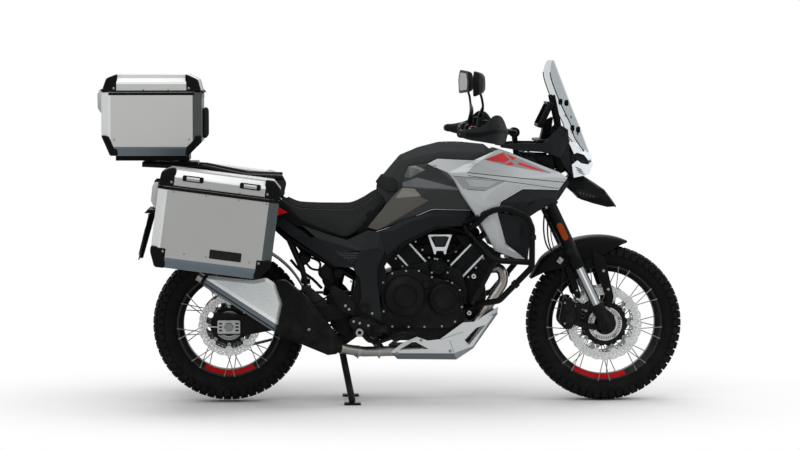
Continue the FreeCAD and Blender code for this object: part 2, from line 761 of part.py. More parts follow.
def make_swingarm():
    """Swingarm with its pivot pin and the rear axle, and the spring unit."""
    polygons = []
    for x, low, high, inner, outer in swingarm_stations:
        polygons.append([at(x, -outer, low), at(x, -inner, low), at(x, -inner, high), at(x, -outer, high)])
    arm = loft(polygons)
    pin_end = frame_inner + frame_thickness - 2
    axle_end = swingarm_inner + swingarm_wall + 8
    pieces = [
        arm, mirrored(arm), block(*swingarm_bridge),
        across(pivot_x, pivot_z, -pin_end, pin_end, axle_radius),
        disc(rear_axle_x, rear_axle_z, -axle_end, axle_end, axle_radius),
    ]
    for side in (-1, 1):
        pieces.append(disc(rear_axle_x, rear_axle_z, side * axle_end - 6, side * axle_end + 6, 19))
    foot = at(shock_foot[0], 0, shock_foot[1])
    top = at(shock_top[0], 0, shock_top[1])
    eye = shock_lug_y[0] - joint_gap
    pin = shock_lug_y[1] + 2
    spring = joined([
        rod(foot, top, 12.0),
        rod(foot + (top - foot) * 0.21, foot + (top - foot) * 0.81, 36.0),
        across(*shock_top, -eye, eye, 14.0),
        across(*shock_top, -pin, pin, shock_pin_radius),
    ])
    return {"swingarm": joined(pieces), "rear_shock": spring}


def racetrack(ax, az, ar, bx, bz, br, y0, y1):
    """Solid inside a band stretched round two circles of radius ar and br."""
    gap = math.hypot(bx - ax, bz - az)
    heading = math.atan2(bz - az, bx - ax)
    lean = math.acos((ar - br) / gap)
    spots = []
    for angle in (heading + lean, heading - lean):
        spots.append((
            Vector(ax + ar * math.cos(angle), y0, az + ar * math.sin(angle)),
            Vector(bx + br * math.cos(angle), y0, bz + br * math.sin(angle)),
        ))
    (top_a, top_b), (low_a, low_b) = spots
    far_a = Vector(ax - ar * math.cos(heading), y0, az - ar * math.sin(heading))
    far_b = Vector(bx + br * math.cos(heading), y0, bz + br * math.sin(heading))
    edges = [
        Part.makeLine(top_a, top_b),
        Part.Arc(top_b, far_b, low_b).toShape(),
        Part.makeLine(low_b, low_a),
        Part.Arc(low_a, far_a, top_a).toShape(),
    ]
    return Part.Face(Part.Wire(edges)).extrude(Vector(0, y1 - y0, 0))


def make_chain():
    """Drive chain round the two sprockets."""
    def band(grown, y0, y1):
        return racetrack(
            rear_axle_x, rear_axle_z, sprocket_radius + grown, x, z, front_sprocket_radius + grown, y0, y1)

    x = along(front_sprocket[0])
    z = front_sprocket[1]
    y1 = chain_inner + chain_width
    chain = band(chain_height, chain_inner, y1).cut(band(chain_clearance, chain_inner - 1, y1 + 1))
    return {"drive_chain": chain.fuse(disc(x, z, chain_inner, y1, front_sprocket_radius + chain_clearance))}


# ---------------------------------------------------------------- engine
def make_engine():
    """Crankcase and two cylinders as one casting, with its covers."""
    half = engine_half_width
    case = slab(crankcase, -half, half).cut(block(*sprocket_recess))
    crank = at(crank_x, 0, crank_z)
    cylinders = []
    for side in (-1, 1):
        lean = Vector(side * math.sin(cylinder_lean), 0, math.cos(cylinder_lean))
        square = Vector(lean.z, 0, -lean.x)
        for start, end, depth, width in cylinder_blocks:
            polygon = []
            for sign, distance in ((-1, start), (1, start), (1, end), (-1, end)):
                polygon.append(crank + lean * distance + square * (depth * sign) + Vector(0, -width, 0))
            cylinders.append(face_of(polygon).extrude(Vector(0, 2 * width, 0)))
    right = joined([
        slab(engine_cover, -half - cover_depth, -half),
        disc(along(clutch_x), clutch_z, -half - clutch_depth, -half, 85),
        disc(along(crank_x), crank_z, -half - crank_cover_depth, -half, 62),
    ])
    left = joined([
        disc(along(crank_x), crank_z, half, half + crank_cover_depth, 92),
        slab(alternator_case, half, half + alternator_depth),
    ])
    pump = disc(along(193), 580, -150, -half / 2, 38)
    vee = slab(vee_cover, -118, -60).fuse(slab(vee_strip, -72, -64))
    return {
        "engine": joined([case] + cylinders),
        "engine_covers": Part.makeCompound([right, left, pump, vee]),
    }


def make_exhaust():
    """Header pipes, silencer and its heat shield."""
    front = bent_bar(run_of(front_header), header_radius, 60)
    rear = bent_bar(run_of(rear_header), rear_header_radius, 60)
    near, far = muffler_y
    shield_near, shield_far = muffler_shield_y
    return {
        "exhaust_headers": joined([front, rear]),
        "exhaust_muffler": slab(muffler_can, -far, -near),
        "muffler_heat_shield": slab(muffler_shield, -shield_far, -shield_near),
    }


def make_skid_plate():
    """Folded plate under the engine with windows in its sides."""
    half = skid_half_width
    full = slab(skid_side, -half, half)
    hollow = slab(skid_hollow, -half + skid_wall, half - skid_wall)
    windows = slab(skid_window, -half - 1, half + 1)
    return {"skid_plate": joined([full.cut(hollow).cut(windows)] + [block(*tab) for tab in skid_tabs])}


def make_radiator():
    """Radiator core ahead of the front cylinder."""
    return {"radiator": joined([block(*radiator_core)] + [block(*tab) for tab in radiator_tabs])}


# ---------------------------------------------------------------- bodywork
def make_bodywork():
    """Tank, side fairings, seats and tail."""
    frame_side = frame_inner + frame_thickness
    return {
        "fuel_tank": body_of(tank_sections),
        "side_fairings": pair(tapered(side_fairing, -fairing_inner, -fairing_outer, 0.05)),
        "radiator_shrouds": pair(slab(radiator_shroud, -fairing_inner - 8, -fairing_outer - 8)),
        "frame_side_covers": pair(tapered(frame_cover, -frame_side - joint_gap, -frame_side - 28, 0.02)),
        "rider_seat": body_of(rider_seat_sections),
        "passenger_seat": body_of(passenger_seat_sections),
        "tail_cover": body_of(tail_sections),
    }


def make_nose():
    """Cowl, headlight, windscreen, display and beak."""
    cheek = ribbon(cowl_cheek, cowl_wall)
    polygons = []
    for z, middle, edge, half in windscreen_rows:
        corner = half * 0.3
        front = [at(edge, -half, z), at(middle, -corner, z), at(middle, corner, z), at(edge, half, z)]
        back = [point - Vector(screen_wall, 0, 0) for point in reversed(front)]
        polygons.append(front + back)
    inner = beak_half_width - beak_wall
    return {
        "front_cowl": joined([cheek, mirrored(cheek), block(*cowl_bridge)]),
        "headlight": body_of(headlight_sections),
        "windscreen": loft(polygons),
        "instrument_display": joined([slab(display_case, -92, 92), slab(display_stalk, -30, 30)]),
        "front_beak": slab(beak_top, -beak_half_width, beak_half_width).cut(slab(beak_hollow, -inner, inner)),
    }


# ---------------------------------------------------------------- luggage
def pannier_point(back, down):
    """Point on a side case in side view: back from its front top corner, and down."""
    x = -465 - back * math.cos(pannier_tilt) - down * math.sin(pannier_tilt)
    z = 864 + back * math.sin(pannier_tilt) - down * math.cos(pannier_tilt)
    return x, z


def pannier_outline(rows):
    """Outline of a side case or its lid from rows of (back, down)."""
    return [pannier_point(back, down) for back, down in rows]


def hinge(x, z, y0, y1, lid_side):
    """Knuckles of a case hinge about an axis at (x, z): two on the box, or the long one on the lid."""
    third = (y1 - y0) / 3
    leaf = 24.0
    if lid_side:
        spans = [(y0 + third + hinge_play, y1 - third - hinge_play)]
        leaf_low = z + 2
    else:
        spans = [(y0, y0 + third), (y1 - third, y1)]
        leaf_low = z - 2 - leaf
    knuckles = []
    for a, b in spans:
        knuckles.append(across(x, z, a, b, hinge_radius))
        knuckles.append(block(x - hinge_offset - 1.5, x - hinge_offset + 2, a, b, leaf_low, leaf_low + leaf))
    return knuckles


def make_panniers():
    """Two hollow side cases with lids, and the racks that carry them."""
    length = pannier_length
    height = pannier_height
    roof = -pannier_lid_height
    bevel = pannier_bevel
    w = case_wall
    seal = case_seal
    outer = pannier_outline((
        (0, 0), (length, 0), (length, height - bevel), (length - bevel * 0.4, height),
        (bevel * 0.8, height), (0, height - bevel),
    ))
    inner = pannier_outline((
        (w, -1), (length - w, -1), (length - w, height - bevel - w * 0.4),
        (length - bevel * 0.4 - w * 0.8, height - w), (bevel * 0.8 + w * 0.4, height - w),
        (w, height - bevel - w * 0.4),
    ))
    lid_outer = pannier_outline((
        (0, -seal), (length, -seal), (length - 6, roof + 20), (length - 40, roof), (30, roof),
        (0, roof + 30),
    ))
    lid_inner = pannier_outline((
        (w, -seal + 1), (length - w, -seal + 1), (length - 6 - w, roof + 21), (length - 41, roof + w),
        (32, roof + w), (w, roof + 31),
    ))
    hinge_ends = (-pannier_outer + hinge_inset, -pannier_inner - hinge_inset)
    hinge_place = (*pannier_point(-hinge_offset, -case_seal / 2), *hinge_ends)
    shells = []
    for outline, hollow, lid_side in ((outer, inner, False), (lid_outer, lid_inner, True)):
        full = slab(outline, -pannier_outer, -pannier_inner)
        shell = full.cut(slab(hollow, -pannier_outer + w, -pannier_inner - w))
        shells.append(joined([shell] + hinge(*hinge_place, lid_side)))
    box, lid = shells
    rack = joined(
        [bent_bar(run_of(case_rack), rack_tube_radius, 40)]
        + [across(x, z, -rack_y, -pannier_inner, rack_puck_radius) for x, z in case_rack_pucks])
    return {
        "pannier_box_right": box,
        "pannier_box_left": mirrored(box),
        "pannier_lid_right": lid,
        "pannier_lid_left": mirrored(lid),
        "pannier_racks": pair(rack),
    }


def make_top_case():
    """Hollow top case with its lid."""
    w = case_wall
    a, b = top_case_front, top_case_rear
    floor, seam, roof = top_case_floor, top_case_seam, top_case_roof
    bevel = top_case_bevel
    half = top_case_half_width
    base = seam + case_seal
    outer = (
        (a, seam), (b, seam), (b, floor + bevel * 1.4), (b + bevel * 0.6, floor), (a - bevel, floor),
        (a, floor + bevel),
    )
    inner = (
        (a - w, seam + 1), (b + w, seam + 1), (b + w, floor + bevel * 1.4 + 1),
        (b + bevel * 0.6 + 2, floor + w), (a - bevel - 2, floor + w), (a - w, floor + bevel + 1),
    )
    lid_outer = (
        (a, base), (b, base), (b + 20, roof - 15), (b + 60, roof), (a - 60, roof), (a - 14, roof - 20),
    )
    lid_inner = (
        (a - w, base - 1), (b + w, base - 1), (b + 23, roof - 18), (b + 62, roof - w),
        (a - 62, roof - w), (a - 17, roof - 22),
    )
    hinge_place = (a + hinge_offset, seam + case_seal / 2, -half + 40, half - 40)
    shells = []
    for outline, hollow, lid_side in ((outer, inner, False), (lid_outer, lid_inner, True)):
        shell = slab(outline, -half, half).cut(slab(hollow, -half + w, half - w))
        shells.append(joined([shell] + hinge(*hinge_place, lid_side)))
    box, lid = shells
    return {
        "top_case_box": joined([box, block(*backrest_pad), block(*top_case_latch)]),
        "top_case_lid": lid,
    }


def make_rear_rack():
    """Grab rails with the deck between them, and the top case's carrier plate."""
    rail = bent_bar(run_of(grab_rail), rear_rack_radius, 80)
    legs = [bent_bar(run_of(leg), rack_tube_radius, 60) for leg in grab_rail_legs]
    side = joined([rail] + legs)
    return {
        "rear_rack": joined([side, mirrored(side), block(*rack_deck)]),
        "top_case_plate": joined([block(*carrier_plate)] + [block(*foot) for foot in plate_feet]),
    }


def make_rear():
    """Mudguards, plate holder, lights and brake caliper at the back."""
    inner = rear_tyre_radius + hugger_gap
    outer = inner + mudguard_thickness
    guard = arc_band(
        rear_axle_x, rear_axle_z, inner, outer, -hugger_half_width, hugger_half_width, *hugger_arc)
    blinker = joined([
        rod(at(-945, -28, 846), at(-955, -96, 850), 5),
        rod(at(-972, -104, 850), at(-938, -104, 850), 14),
    ])
    disc_near = rear_disc_offset - pad_gap
    disc_far = rear_disc_offset + disc_thickness + pad_gap
    grip = slab(caliper_side, -swingarm_inner, -disc_near + 6)
    slot = ring(rear_axle_x, rear_axle_z, -disc_far, -disc_near, rear_disc_radius + pad_gap, 30)
    return {
        "rear_mudguard": joined([slab(plate_holder, -30, 30), slab(number_plate, -95, 95)]),
        "rear_hugger": joined([guard, block(*hugger_foot)]),
        "tail_light": block(*tail_lamp),
        "rear_indicators": pair(blinker),
        "rear_brake_caliper": grip.cut(slot),
    }


# ---------------------------------------------------------------- stands, pegs, bars
def make_stands():
    """Centre stand that carries the motorcycle, and the folded side stand."""
    half = stand_pivot_half_width
    inwards, outwards = stand_boss_reach
    plate_x, plate_y, plate_z = stand_foot_plate
    pieces = [across(stand_pivot_x, stand_pivot_z, -half, half, stand_pin_radius)]
    brace = []
    for side in (-1, 1):
        top = at(stand_pivot_x, side * half, stand_pivot_z)
        foot = at(stand_foot_x, side * stand_foot_half_width, stand_foot_height)
        y = side * stand_foot_half_width
        brace.append(top + (foot - top) * stand_brace_share)
        pieces += [
            rod(top, foot, stand_tube_radius),
            across(
                stand_pivot_x, stand_pivot_z, side * (half - inwards), side * (half + outwards),
                stand_boss_radius),
            block(stand_foot_x - plate_x, stand_foot_x + plate_x, y - plate_y, y + plate_y, 0, plate_z),
        ]
    pieces.append(rod(*brace, stand_brace_radius))

    pivot = at(*side_stand_pivot)
    tip = at(*side_stand_tip)
    turn_axis = side_stand_axis()
    boss_radius, boss_half = side_stand_boss
    foot_radius, foot_half = side_stand_foot
    rise = Vector(0, 0, foot_half)
    side_stand = joined([
        rod(pivot, tip, side_stand_radius),
        rod(pivot - turn_axis * boss_half, pivot + turn_axis * boss_half, boss_radius),
        rod(tip - rise, tip + rise, foot_radius),
        rod(pivot, pivot + turn_axis * side_stand_pin_length, side_stand_pin_radius),
    ])
    return {"centre_stand": joined(pieces), "side_stand": side_stand}


def make_foot_pieces():
    """Footpegs with their brackets, brake pedal and gear lever."""
    bracket = slab(footpeg_bracket, -172, -frame_inner - frame_thickness)
    rider = joined([bracket, block(*rider_peg)])
    pillion = joined([bent_bar(run_of(pillion_bracket), 10.0, 60), block(*pillion_peg)])
    pedal = joined([
        bent_bar(run_of(brake_pedal), 6.0, 30), block(*pedal_pad), across(-140, 312, -190, -172, 10)])
    case = engine_half_width
    lever = joined([
        bent_bar([at(x, case + y, z) for x, y, z in gear_lever], 6.0, 20),
        across(56, 312, case + 66, case + 102, 9),
        across(12, 356, case + alternator_depth, case + 44, 10),
    ])
    return {
        "footpegs": Part.makeCompound([rider, mirrored(rider), pillion, mirrored(pillion)]),
        "foot_controls": Part.makeCompound([pedal, lever]),
    }


def make_crash_bars():
    """Tubes that guard the engine and fairing."""
    loop = bent_bar(outboard(crash_loop, crash_bar_half_width), crash_bar_radius, 45)
    brace = bent_bar(outboard(crash_brace, crash_bar_half_width), crash_bar_radius, 60)
    return {"crash_bars": pair(joined([loop, brace]))}


# ---------------------------------------------------------------- steering
def clamp_set():
    """Both fork clamps with the steering stem between them, bored for the fork tubes."""
    clamps = []
    bores = []
    rise = up_fork * clamp_thickness
    sides = [-fork_half_spacing, fork_half_spacing]
    for start in (lower_clamp, upper_clamp):
        lug_radius = fork_tube_radius + clamp_lug_wall
        lugs = [rod(on_fork(start, y), on_fork(start, y) + rise, lug_radius) for y in sides]
        back = on_steering(start) - ahead_of_fork * clamp_web_reach
        front = on_fork(start, 0) + ahead_of_fork * clamp_web_reach
        web = face_of([
            back + Vector(0, -40, 0), back + Vector(0, 40, 0),
            front + Vector(0, fork_half_spacing, 0), front + Vector(0, -fork_half_spacing, 0),
        ]).extrude(rise)
        clamps.append(joined([web] + lugs))
    stem_top = on_steering(upper_clamp + clamp_thickness - stem_inset)
    stem = rod(on_steering(lower_clamp + stem_inset), stem_top, stem_radius)
    for y in sides:
        bores.append(rod(on_fork(lower_clamp - 9, y), on_fork(fork_top + 9, y), fork_tube_radius + slide_gap))
    return joined(clamps + [stem]).cut(Part.makeCompound(bores))


def make_fork():
    """Clamps, fork tubes and the legs with the axle."""
    tubes = []
    legs = [disc(front_axle_x, front_axle_z, -front_axle_half_length, front_axle_half_length, axle_radius)]
    for y in (-fork_half_spacing, fork_half_spacing):
        bottom = on_fork(fork_tube_bottom, y)
        tube = rod(bottom, on_fork(fork_top, y), fork_tube_radius)
        bore_top = bottom + up_fork * (stanchion_overlap + 2)
        tubes.append(tube.cut(rod(bottom - up_fork, bore_top, stanchion_radius + slide_gap)))
        legs.append(rod(on_fork(20, y), bottom + up_fork * stanchion_overlap, stanchion_radius))
        legs.append(rod(on_fork(fork_foot[0], y), on_fork(fork_foot[1], y), fork_foot_radius))
    return {
        "triple_clamps": clamp_set(),
        "fork_tubes": Part.makeCompound(tubes),
        "fork_legs": joined(legs),
    }


def make_front_guard():
    """Front mudguard with the guards down the fork, and the two brake calipers."""
    first, last = mudguard_arc
    inner = mudguard_inner
    half = mudguard_half_width
    wall = mudguard_thickness
    centre = (front_axle_x, front_axle_z)
    skirt = arc_band(*centre, inner - mudguard_skirt_depth, inner + 2, -half, -half + wall, first + 8, last - 6)
    leg_guard = slab(fork_guard, -fork_half_spacing - 13, -fork_half_spacing + 13)
    stay = block(846, 868, -fork_half_spacing + 11, -half + wall, 622, 664)
    side = joined([skirt, leg_guard, stay])
    crown = arc_band(*centre, inner, inner + wall, -half, half, first, last)

    near = front_disc_offset - pad_gap
    far = front_disc_offset + disc_thickness + pad_gap
    grip = slab(front_caliper, -front_disc_offset - 20, -front_disc_offset + 11)
    slot = ring(*centre, -far, -near, front_disc_radius + pad_gap, 40)
    caliper = joined([grip.cut(slot), slab(caliper_lug, -fork_half_spacing + 7, -front_disc_offset - 12)])
    return {
        "front_mudguard": joined([crown, side, mirrored(side)]),
        "front_brake_calipers": pair(caliper),
    }


def make_handlebar():
    """Handlebar with its risers, grips, hand guards, controls and mirrors."""
    end = handlebar_half_width
    right = run_of(bar_bends)
    left = [Vector(point.x, -point.y, point.z) for point in reversed(right)]
    clamp_foot = on_steering(upper_clamp + clamp_thickness)
    risers = []
    for y in (-bar_clamp_y, bar_clamp_y):
        risers.append(rod(clamp_foot + Vector(0, y, 0), at(bar_clamp_x, y, bar_centre_z), riser_radius))
        risers.append(across(
            bar_clamp_x, bar_centre_z, y - bar_clamp_half_width, y + bar_clamp_half_width, bar_clamp_radius))

    outer = right[0]
    run = (right[1] - right[0]).normalize()
    bore = handlebar_radius + slide_gap

    def on_bar(distance):
        return outer + run * distance

    grip_end = grip_start + grip_length
    switch_end = grip_end + control_gap + switch_length
    perch_start = switch_end + control_gap
    grip = sleeve(on_bar(grip_start), on_bar(grip_end), grip_radius, bore)
    switch = sleeve(on_bar(grip_end + control_gap), on_bar(switch_end), switch_radius, bore)
    perch = sleeve(on_bar(perch_start), on_bar(perch_start + perch_length), perch_radius, bore)
    middle = on_bar(perch_start + perch_length / 2)
    control = joined([
        perch,
        rod(middle + Vector(38, 0, 6), middle + Vector(38, 0, 48), 18),
        rod(middle + Vector(17, 0, 2), middle + Vector(38, 0, 16), 6),
        bent_bar([
            middle + Vector(17, 0, -8), middle - run * 32 + Vector(48, 0, -8),
            middle - run * 172 + Vector(46, 0, -10)], 5.0, 40),
    ])

    guard = ribbon([(x, inside - end, low, high) for x, inside, low, high in hand_guard_line], cowl_wall)
    end_cap = rod(outer - Vector(0, 19, 0), outer, 12)
    arm = bent_bar(outboard(hand_guard_arm, end), 6.0, 20)

    stem_rise = Vector(10, 10, 56)
    stem_foot = middle + stem_rise * ((perch_radius + 1.5) / stem_rise.Length)
    stem = bent_bar(
        [stem_foot, middle + stem_rise * 1.25, at(352, -372, 1262), at(346, -392, 1300)], 5.5, 30)
    front = [at(mirror_front_x, y, z) for y, z, _, _ in mirror_head]
    rim = [at(mirror_rim_x, y, z) for _, _, y, z in mirror_head]
    glass = [at(mirror_glass_x, y, z) for _, _, y, z in mirror_head]
    return {
        "handlebar": joined([bent_bar(right + left, handlebar_radius, 60)] + risers),
        "handlebar_grips": pair(grip),
        "bar_controls": Part.makeCompound([switch, control, mirrored(switch), mirrored(control)]),
        "hand_guards": pair(joined([guard, end_cap, arm])),
        "mirrors": pair(joined([stem, loft([front, rim, glass])])),
    }


# ---------------------------------------------------------------- assembly
fitted = (                       # columns: piece that gives way, pieces that it is cut around
    ("subframe", ("main_frame",)),
    ("main_frame", ("drive_chain",)),
    ("fuel_tank", ("main_frame", "engine", "side_fairings", "subframe")),
    ("radiator", ("main_frame",)),
    ("rear_shock", ("swingarm",)),
    ("pannier_racks", ("subframe",)),
    ("headlight", ("windscreen", "main_frame")),
    ("mirrors", ("bar_controls",)),
    ("front_mudguard", ("fork_legs",)),
    ("front_brake_calipers", ("fork_legs", "front_mudguard")),
    ("front_beak", ("headlight", "main_frame")),
    ("rider_seat", ("fuel_tank", "main_frame", "subframe", "frame_side_covers")),
    ("passenger_seat", ("rider_seat", "subframe", "rear_rack")),
    ("tail_cover", ("rider_seat", "passenger_seat", "subframe", "rear_rack", "pannier_racks")),
    ("engine", ("main_frame", "swingarm", "drive_chain")),
    ("engine_covers", ("main_frame", "engine", "drive_chain", "swingarm", "footpegs")),
    ("exhaust_headers", ("engine", "engine_covers", "muffler_heat_shield", "main_frame")),
    ("exhaust_muffler", ("muffler_heat_shield",)),
    ("radiator_shrouds", ("side_fairings",)),
    ("crash_bars", ("main_frame", "engine", "engine_covers", "side_fairings", "radiator_shrouds")),
    ("front_cowl", ("headlight", "windscreen", "instrument_display", "side_fairings", "front_beak")),
    ("footpegs", ("main_frame", "subframe")),
    ("rear_mudguard", ("tail_cover",)),
    ("rear_indicators", ("rear_mudguard",)),
    ("handlebar", ("triple_clamps",)),
    ("hand_guards", ("handlebar",)),
)


def main():
    """Build every piece, fit the neighbours to each other and write the files."""
    os.makedirs("parts", exist_ok=True)
    pieces = {}
    for make in (
        make_wheels, make_frame, make_subframe, make_swingarm, make_chain, make_engine, make_exhaust,
        make_skid_plate, make_radiator, make_bodywork, make_nose, make_panniers, make_top_case,
        make_rear_rack, make_rear, make_stands, make_foot_pieces, make_crash_bars, make_fork,
        make_front_guard, make_handlebar,
    ):
        pieces.update(make())
    for name, others in fitted:
        for other in others:
            pieces[name] = pieces[name].cut(pieces[other])
    for name, shape in pieces.items():
        print(name, len(shape.Solids), round(shape.Volume / 1e6, 3))
        shape.exportStep("parts/" + name + ".step")


main()
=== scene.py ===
"""Looks for the adventure motorcycle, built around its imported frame.

Shapes are worked out in millimetres in the frame's axes (+X forward, +Y the rider's left, +Z up) as whole
numpy arrays, and become meshes in metres.  A piece that exists on both sides is worked out for the right side
(negative Y) and mirrored.
"""
from __future__ import annotations

import json
import logging
import math
from dataclasses import dataclass, field
from enum import Enum
from typing import Iterable, Optional, Sequence

import bmesh
import bpy
import numpy as np
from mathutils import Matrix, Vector, geometry

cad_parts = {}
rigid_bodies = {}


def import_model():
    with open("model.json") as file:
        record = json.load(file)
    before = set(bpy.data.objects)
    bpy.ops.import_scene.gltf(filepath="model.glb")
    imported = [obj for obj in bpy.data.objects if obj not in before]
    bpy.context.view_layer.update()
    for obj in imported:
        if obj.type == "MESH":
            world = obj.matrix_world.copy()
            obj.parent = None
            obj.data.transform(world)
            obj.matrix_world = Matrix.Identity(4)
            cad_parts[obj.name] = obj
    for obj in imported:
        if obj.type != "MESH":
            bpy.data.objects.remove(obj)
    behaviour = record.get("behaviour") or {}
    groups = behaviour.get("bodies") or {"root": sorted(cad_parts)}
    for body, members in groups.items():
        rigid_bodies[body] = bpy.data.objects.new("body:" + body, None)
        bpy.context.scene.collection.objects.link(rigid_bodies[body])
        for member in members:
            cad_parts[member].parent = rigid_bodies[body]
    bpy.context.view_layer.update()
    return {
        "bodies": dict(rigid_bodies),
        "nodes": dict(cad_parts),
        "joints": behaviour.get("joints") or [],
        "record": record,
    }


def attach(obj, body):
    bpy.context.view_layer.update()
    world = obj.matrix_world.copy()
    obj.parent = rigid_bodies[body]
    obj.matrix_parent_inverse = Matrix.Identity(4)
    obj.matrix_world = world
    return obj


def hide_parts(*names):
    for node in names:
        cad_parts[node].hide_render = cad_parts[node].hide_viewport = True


Array = np.ndarray
MM = 0.001
LOG = logging.getLogger("motorcycle")


# ---------------------------------------------------------------- shapes
@dataclass
class Form:
    """Points in millimetres, and the faces between them as blocks of corner indices.

    Each block is an (n, k) array of n faces with k corners.
    """

    points: Array
    faces: list[Array] = field(default_factory=list)

    def __add__(self, other: "Form") -> "Form":
        """Both forms as one."""
        return merge([self, other])

    def flipped(self) -> "Form":
        """The same form with its faces turned round."""
        return Form(self.points, [block[:, ::-1] for block in self.faces])

    def mirrored(self) -> "Form":
        """The form on the other side of the middle plane."""
        return Form(self.points * (1, -1, 1), [block[:, ::-1] for block in self.faces])

    def both_sides(self) -> "Form":
        """The form and its mirror image."""
        return merge([self, self.mirrored()])

    def moved(self, x: float = 0.0, y: float = 0.0, z: float = 0.0) -> "Form":
        """The form shifted along the axes."""
        return Form(self.points + (x, y, z), self.faces)

    def turned(self, degrees: float, about: Sequence[float] = (0, 0, 0),
               axis: Sequence[float] = (0, 1, 0)) -> "Form":
        """The form turned by an angle about an axis through a point."""
        matrix = turn_matrix(degrees, axis)
        return Form((self.points - about) @ matrix.T + about, self.faces)

    def copies(self, spots: Array, frames: Array) -> "Form":
        """Copies of the form, one for each spot.

        Args:
            spots: (n, 3) places of the form's origin.
            frames: (n, 3, 3) directions of the form's x, y and z axes, one in each row.

        Returns:
            One form: copy k of point p is spot_k + p @ frame_k.
        """
        points = spots[:, None, :] + np.einsum("pc,kcd->kpd", self.points, frames)
        shift = np.arange(len(spots))[:, None, None] * len(self.points)
        return Form(points.reshape(-1, 3), [(b[None] + shift).reshape(-1, b.shape[1]) for b in self.faces])


def merge(forms: Iterable[Form]) -> Form:
    """Several forms as one.

    Args:
        forms: to join.

    Returns:
        One form with the points and faces of all.
    """
    forms = list(forms)
    shifts = np.cumsum([0] + [len(form.points) for form in forms])
    faces = [block + shift for form, shift in zip(forms, shifts) for block in form.faces]
    return Form(np.vstack([form.points for form in forms]), faces)


def turn_matrix(degrees: float, axis: Sequence[float]) -> Array:
    """Rotation matrix by Rodrigues' formula: I + sin(a) K + (1 - cos(a)) K K.

    Args:
        degrees: of turn.
        axis: direction of the axis, of any length.

    Returns:
        (3, 3) matrix.
    """
    x, y, z = np.asarray(axis, float) / np.linalg.norm(axis)
    skew = np.array([[0, -z, y], [z, 0, -x], [-y, x, 0]])
    angle = math.radians(degrees)
    return np.eye(3) + math.sin(angle) * skew + (1 - math.cos(angle)) * skew @ skew


def unit(vectors: Array) -> Array:
    """Vectors scaled to a length of one along the last axis."""
    return vectors / np.maximum(np.linalg.norm(vectors, axis=-1, keepdims=True), 1e-9)


def outward(form: Form) -> Form:
    """Closed form with its faces turned outwards: the sum of a . (b x c) over its triangles is made positive.

    Args:
        form: a closed form.

    Returns:
        The form, or its flipped copy.
    """
    total = 0.0
    for block in form.faces:
        corner = form.points[block]
        for k in range(1, block.shape[1] - 1):
            total += np.einsum("ij,ij->", corner[:, 0], np.cross(corner[:, k], corner[:, k + 1]))
    return form if total >= 0 else form.flipped()


def net(points: Array, loop_rows: bool = False, loop_columns: bool = False, ends: bool = False) -> Form:
    """Faces over a grid of points.

    Args:
        points: (rows, columns, 3) grid.
        loop_rows: the last row joins the first.
        loop_columns: the last column joins the first.
        ends: the first and last rows are closed by one face each.

    Returns:
        The form; a form closed all round is turned outwards.
    """
    rows, columns = points.shape[:2]
    index = np.arange(rows * columns).reshape(rows, columns)
    if loop_rows:
        index = np.vstack([index, index[:1]])
    if loop_columns:
        index = np.hstack([index, index[:, :1]])
    quads = np.stack([index[:-1, :-1], index[1:, :-1], index[1:, 1:], index[:-1, 1:]], -1).reshape(-1, 4)
    faces = [quads]
    if ends:
        first = np.arange(columns)
        faces += [first[None, :], (first[::-1] + (rows - 1) * columns)[None, :]]
    form = Form(points.reshape(-1, 3), faces)
    return outward(form) if ends or (loop_rows and loop_columns) else form


def capped(rings: Sequence[Array]) -> Form:
    """Rings of points joined into a closed tube, with one face over each end."""
    return net(np.asarray(rings, float), False, True, True)


def bend(points: Sequence[Sequence[float]], radius: float, steps: int = 6) -> Array:
    """Path through the points with its corners eased.

    Round a corner it is (1-t)^2 a + 2t(1-t) corner + t^2 b, where a and b lie `radius` before and after the
    corner, or nearly half a run where the run is short.

    Args:
        points: (n, k) corners of the path.
        radius: distance from a corner at which it starts to turn.
        steps: points round each corner.

    Returns:
        The denser path.
    """
    path = np.asarray(points, float)
    corner = path[1:-1]
    before = path[:-2] - corner
    after = path[2:] - corner
    short = np.minimum(np.linalg.norm(before, axis=1), np.linalg.norm(after, axis=1))
    reach = np.minimum(radius, 0.48 * short)[:, None]
    a = (corner + unit(before) * reach)[:, None]
    b = (corner + unit(after) * reach)[:, None]
    t = np.linspace(0, 1, steps)[None, :, None]
    arcs = (1 - t) ** 2 * a + 2 * t * (1 - t) * corner[:, None] + t ** 2 * b
    return np.vstack([path[:1], arcs.reshape(-1, path.shape[1]), path[-1:]])


def smooth(points: Sequence[Sequence[float]], per: int = 6, closed: bool = False) -> Array:
    """Curve through the points.

    With neighbours a, b, c, d it is (2b + (c-a) t + (2a-5b+4c-d) t^2 + (3b-a-3c+d) t^3) / 2 between b and c.

    Args:
        points: (n, k) rows, of any width.
        per: points for each run.
        closed: the last row runs on to the first.

    Returns:
        The denser rows.
    """
    p = np.asarray(points, float)
    if closed:
        a, b, c, d = np.roll(p, 1, 0), p, np.roll(p, -1, 0), np.roll(p, -2, 0)
    else:
        q = np.vstack([2 * p[0] - p[1], p, 2 * p[-1] - p[-2]])
        a, b, c, d = q[:-3], q[1:-2], q[2:-1], q[3:]
    a, b, c, d = (v[:, None] for v in (a, b, c, d))
    t = (np.arange(per) / per)[None, :, None]
    runs = (2 * b + (c - a) * t + (2 * a - 5 * b + 4 * c - d) * t ** 2 + (3 * b - a - 3 * c + d) * t ** 3) / 2
    curve = runs.reshape(-1, p.shape[1])
    return curve if closed else np.vstack([curve, p[-1:]])


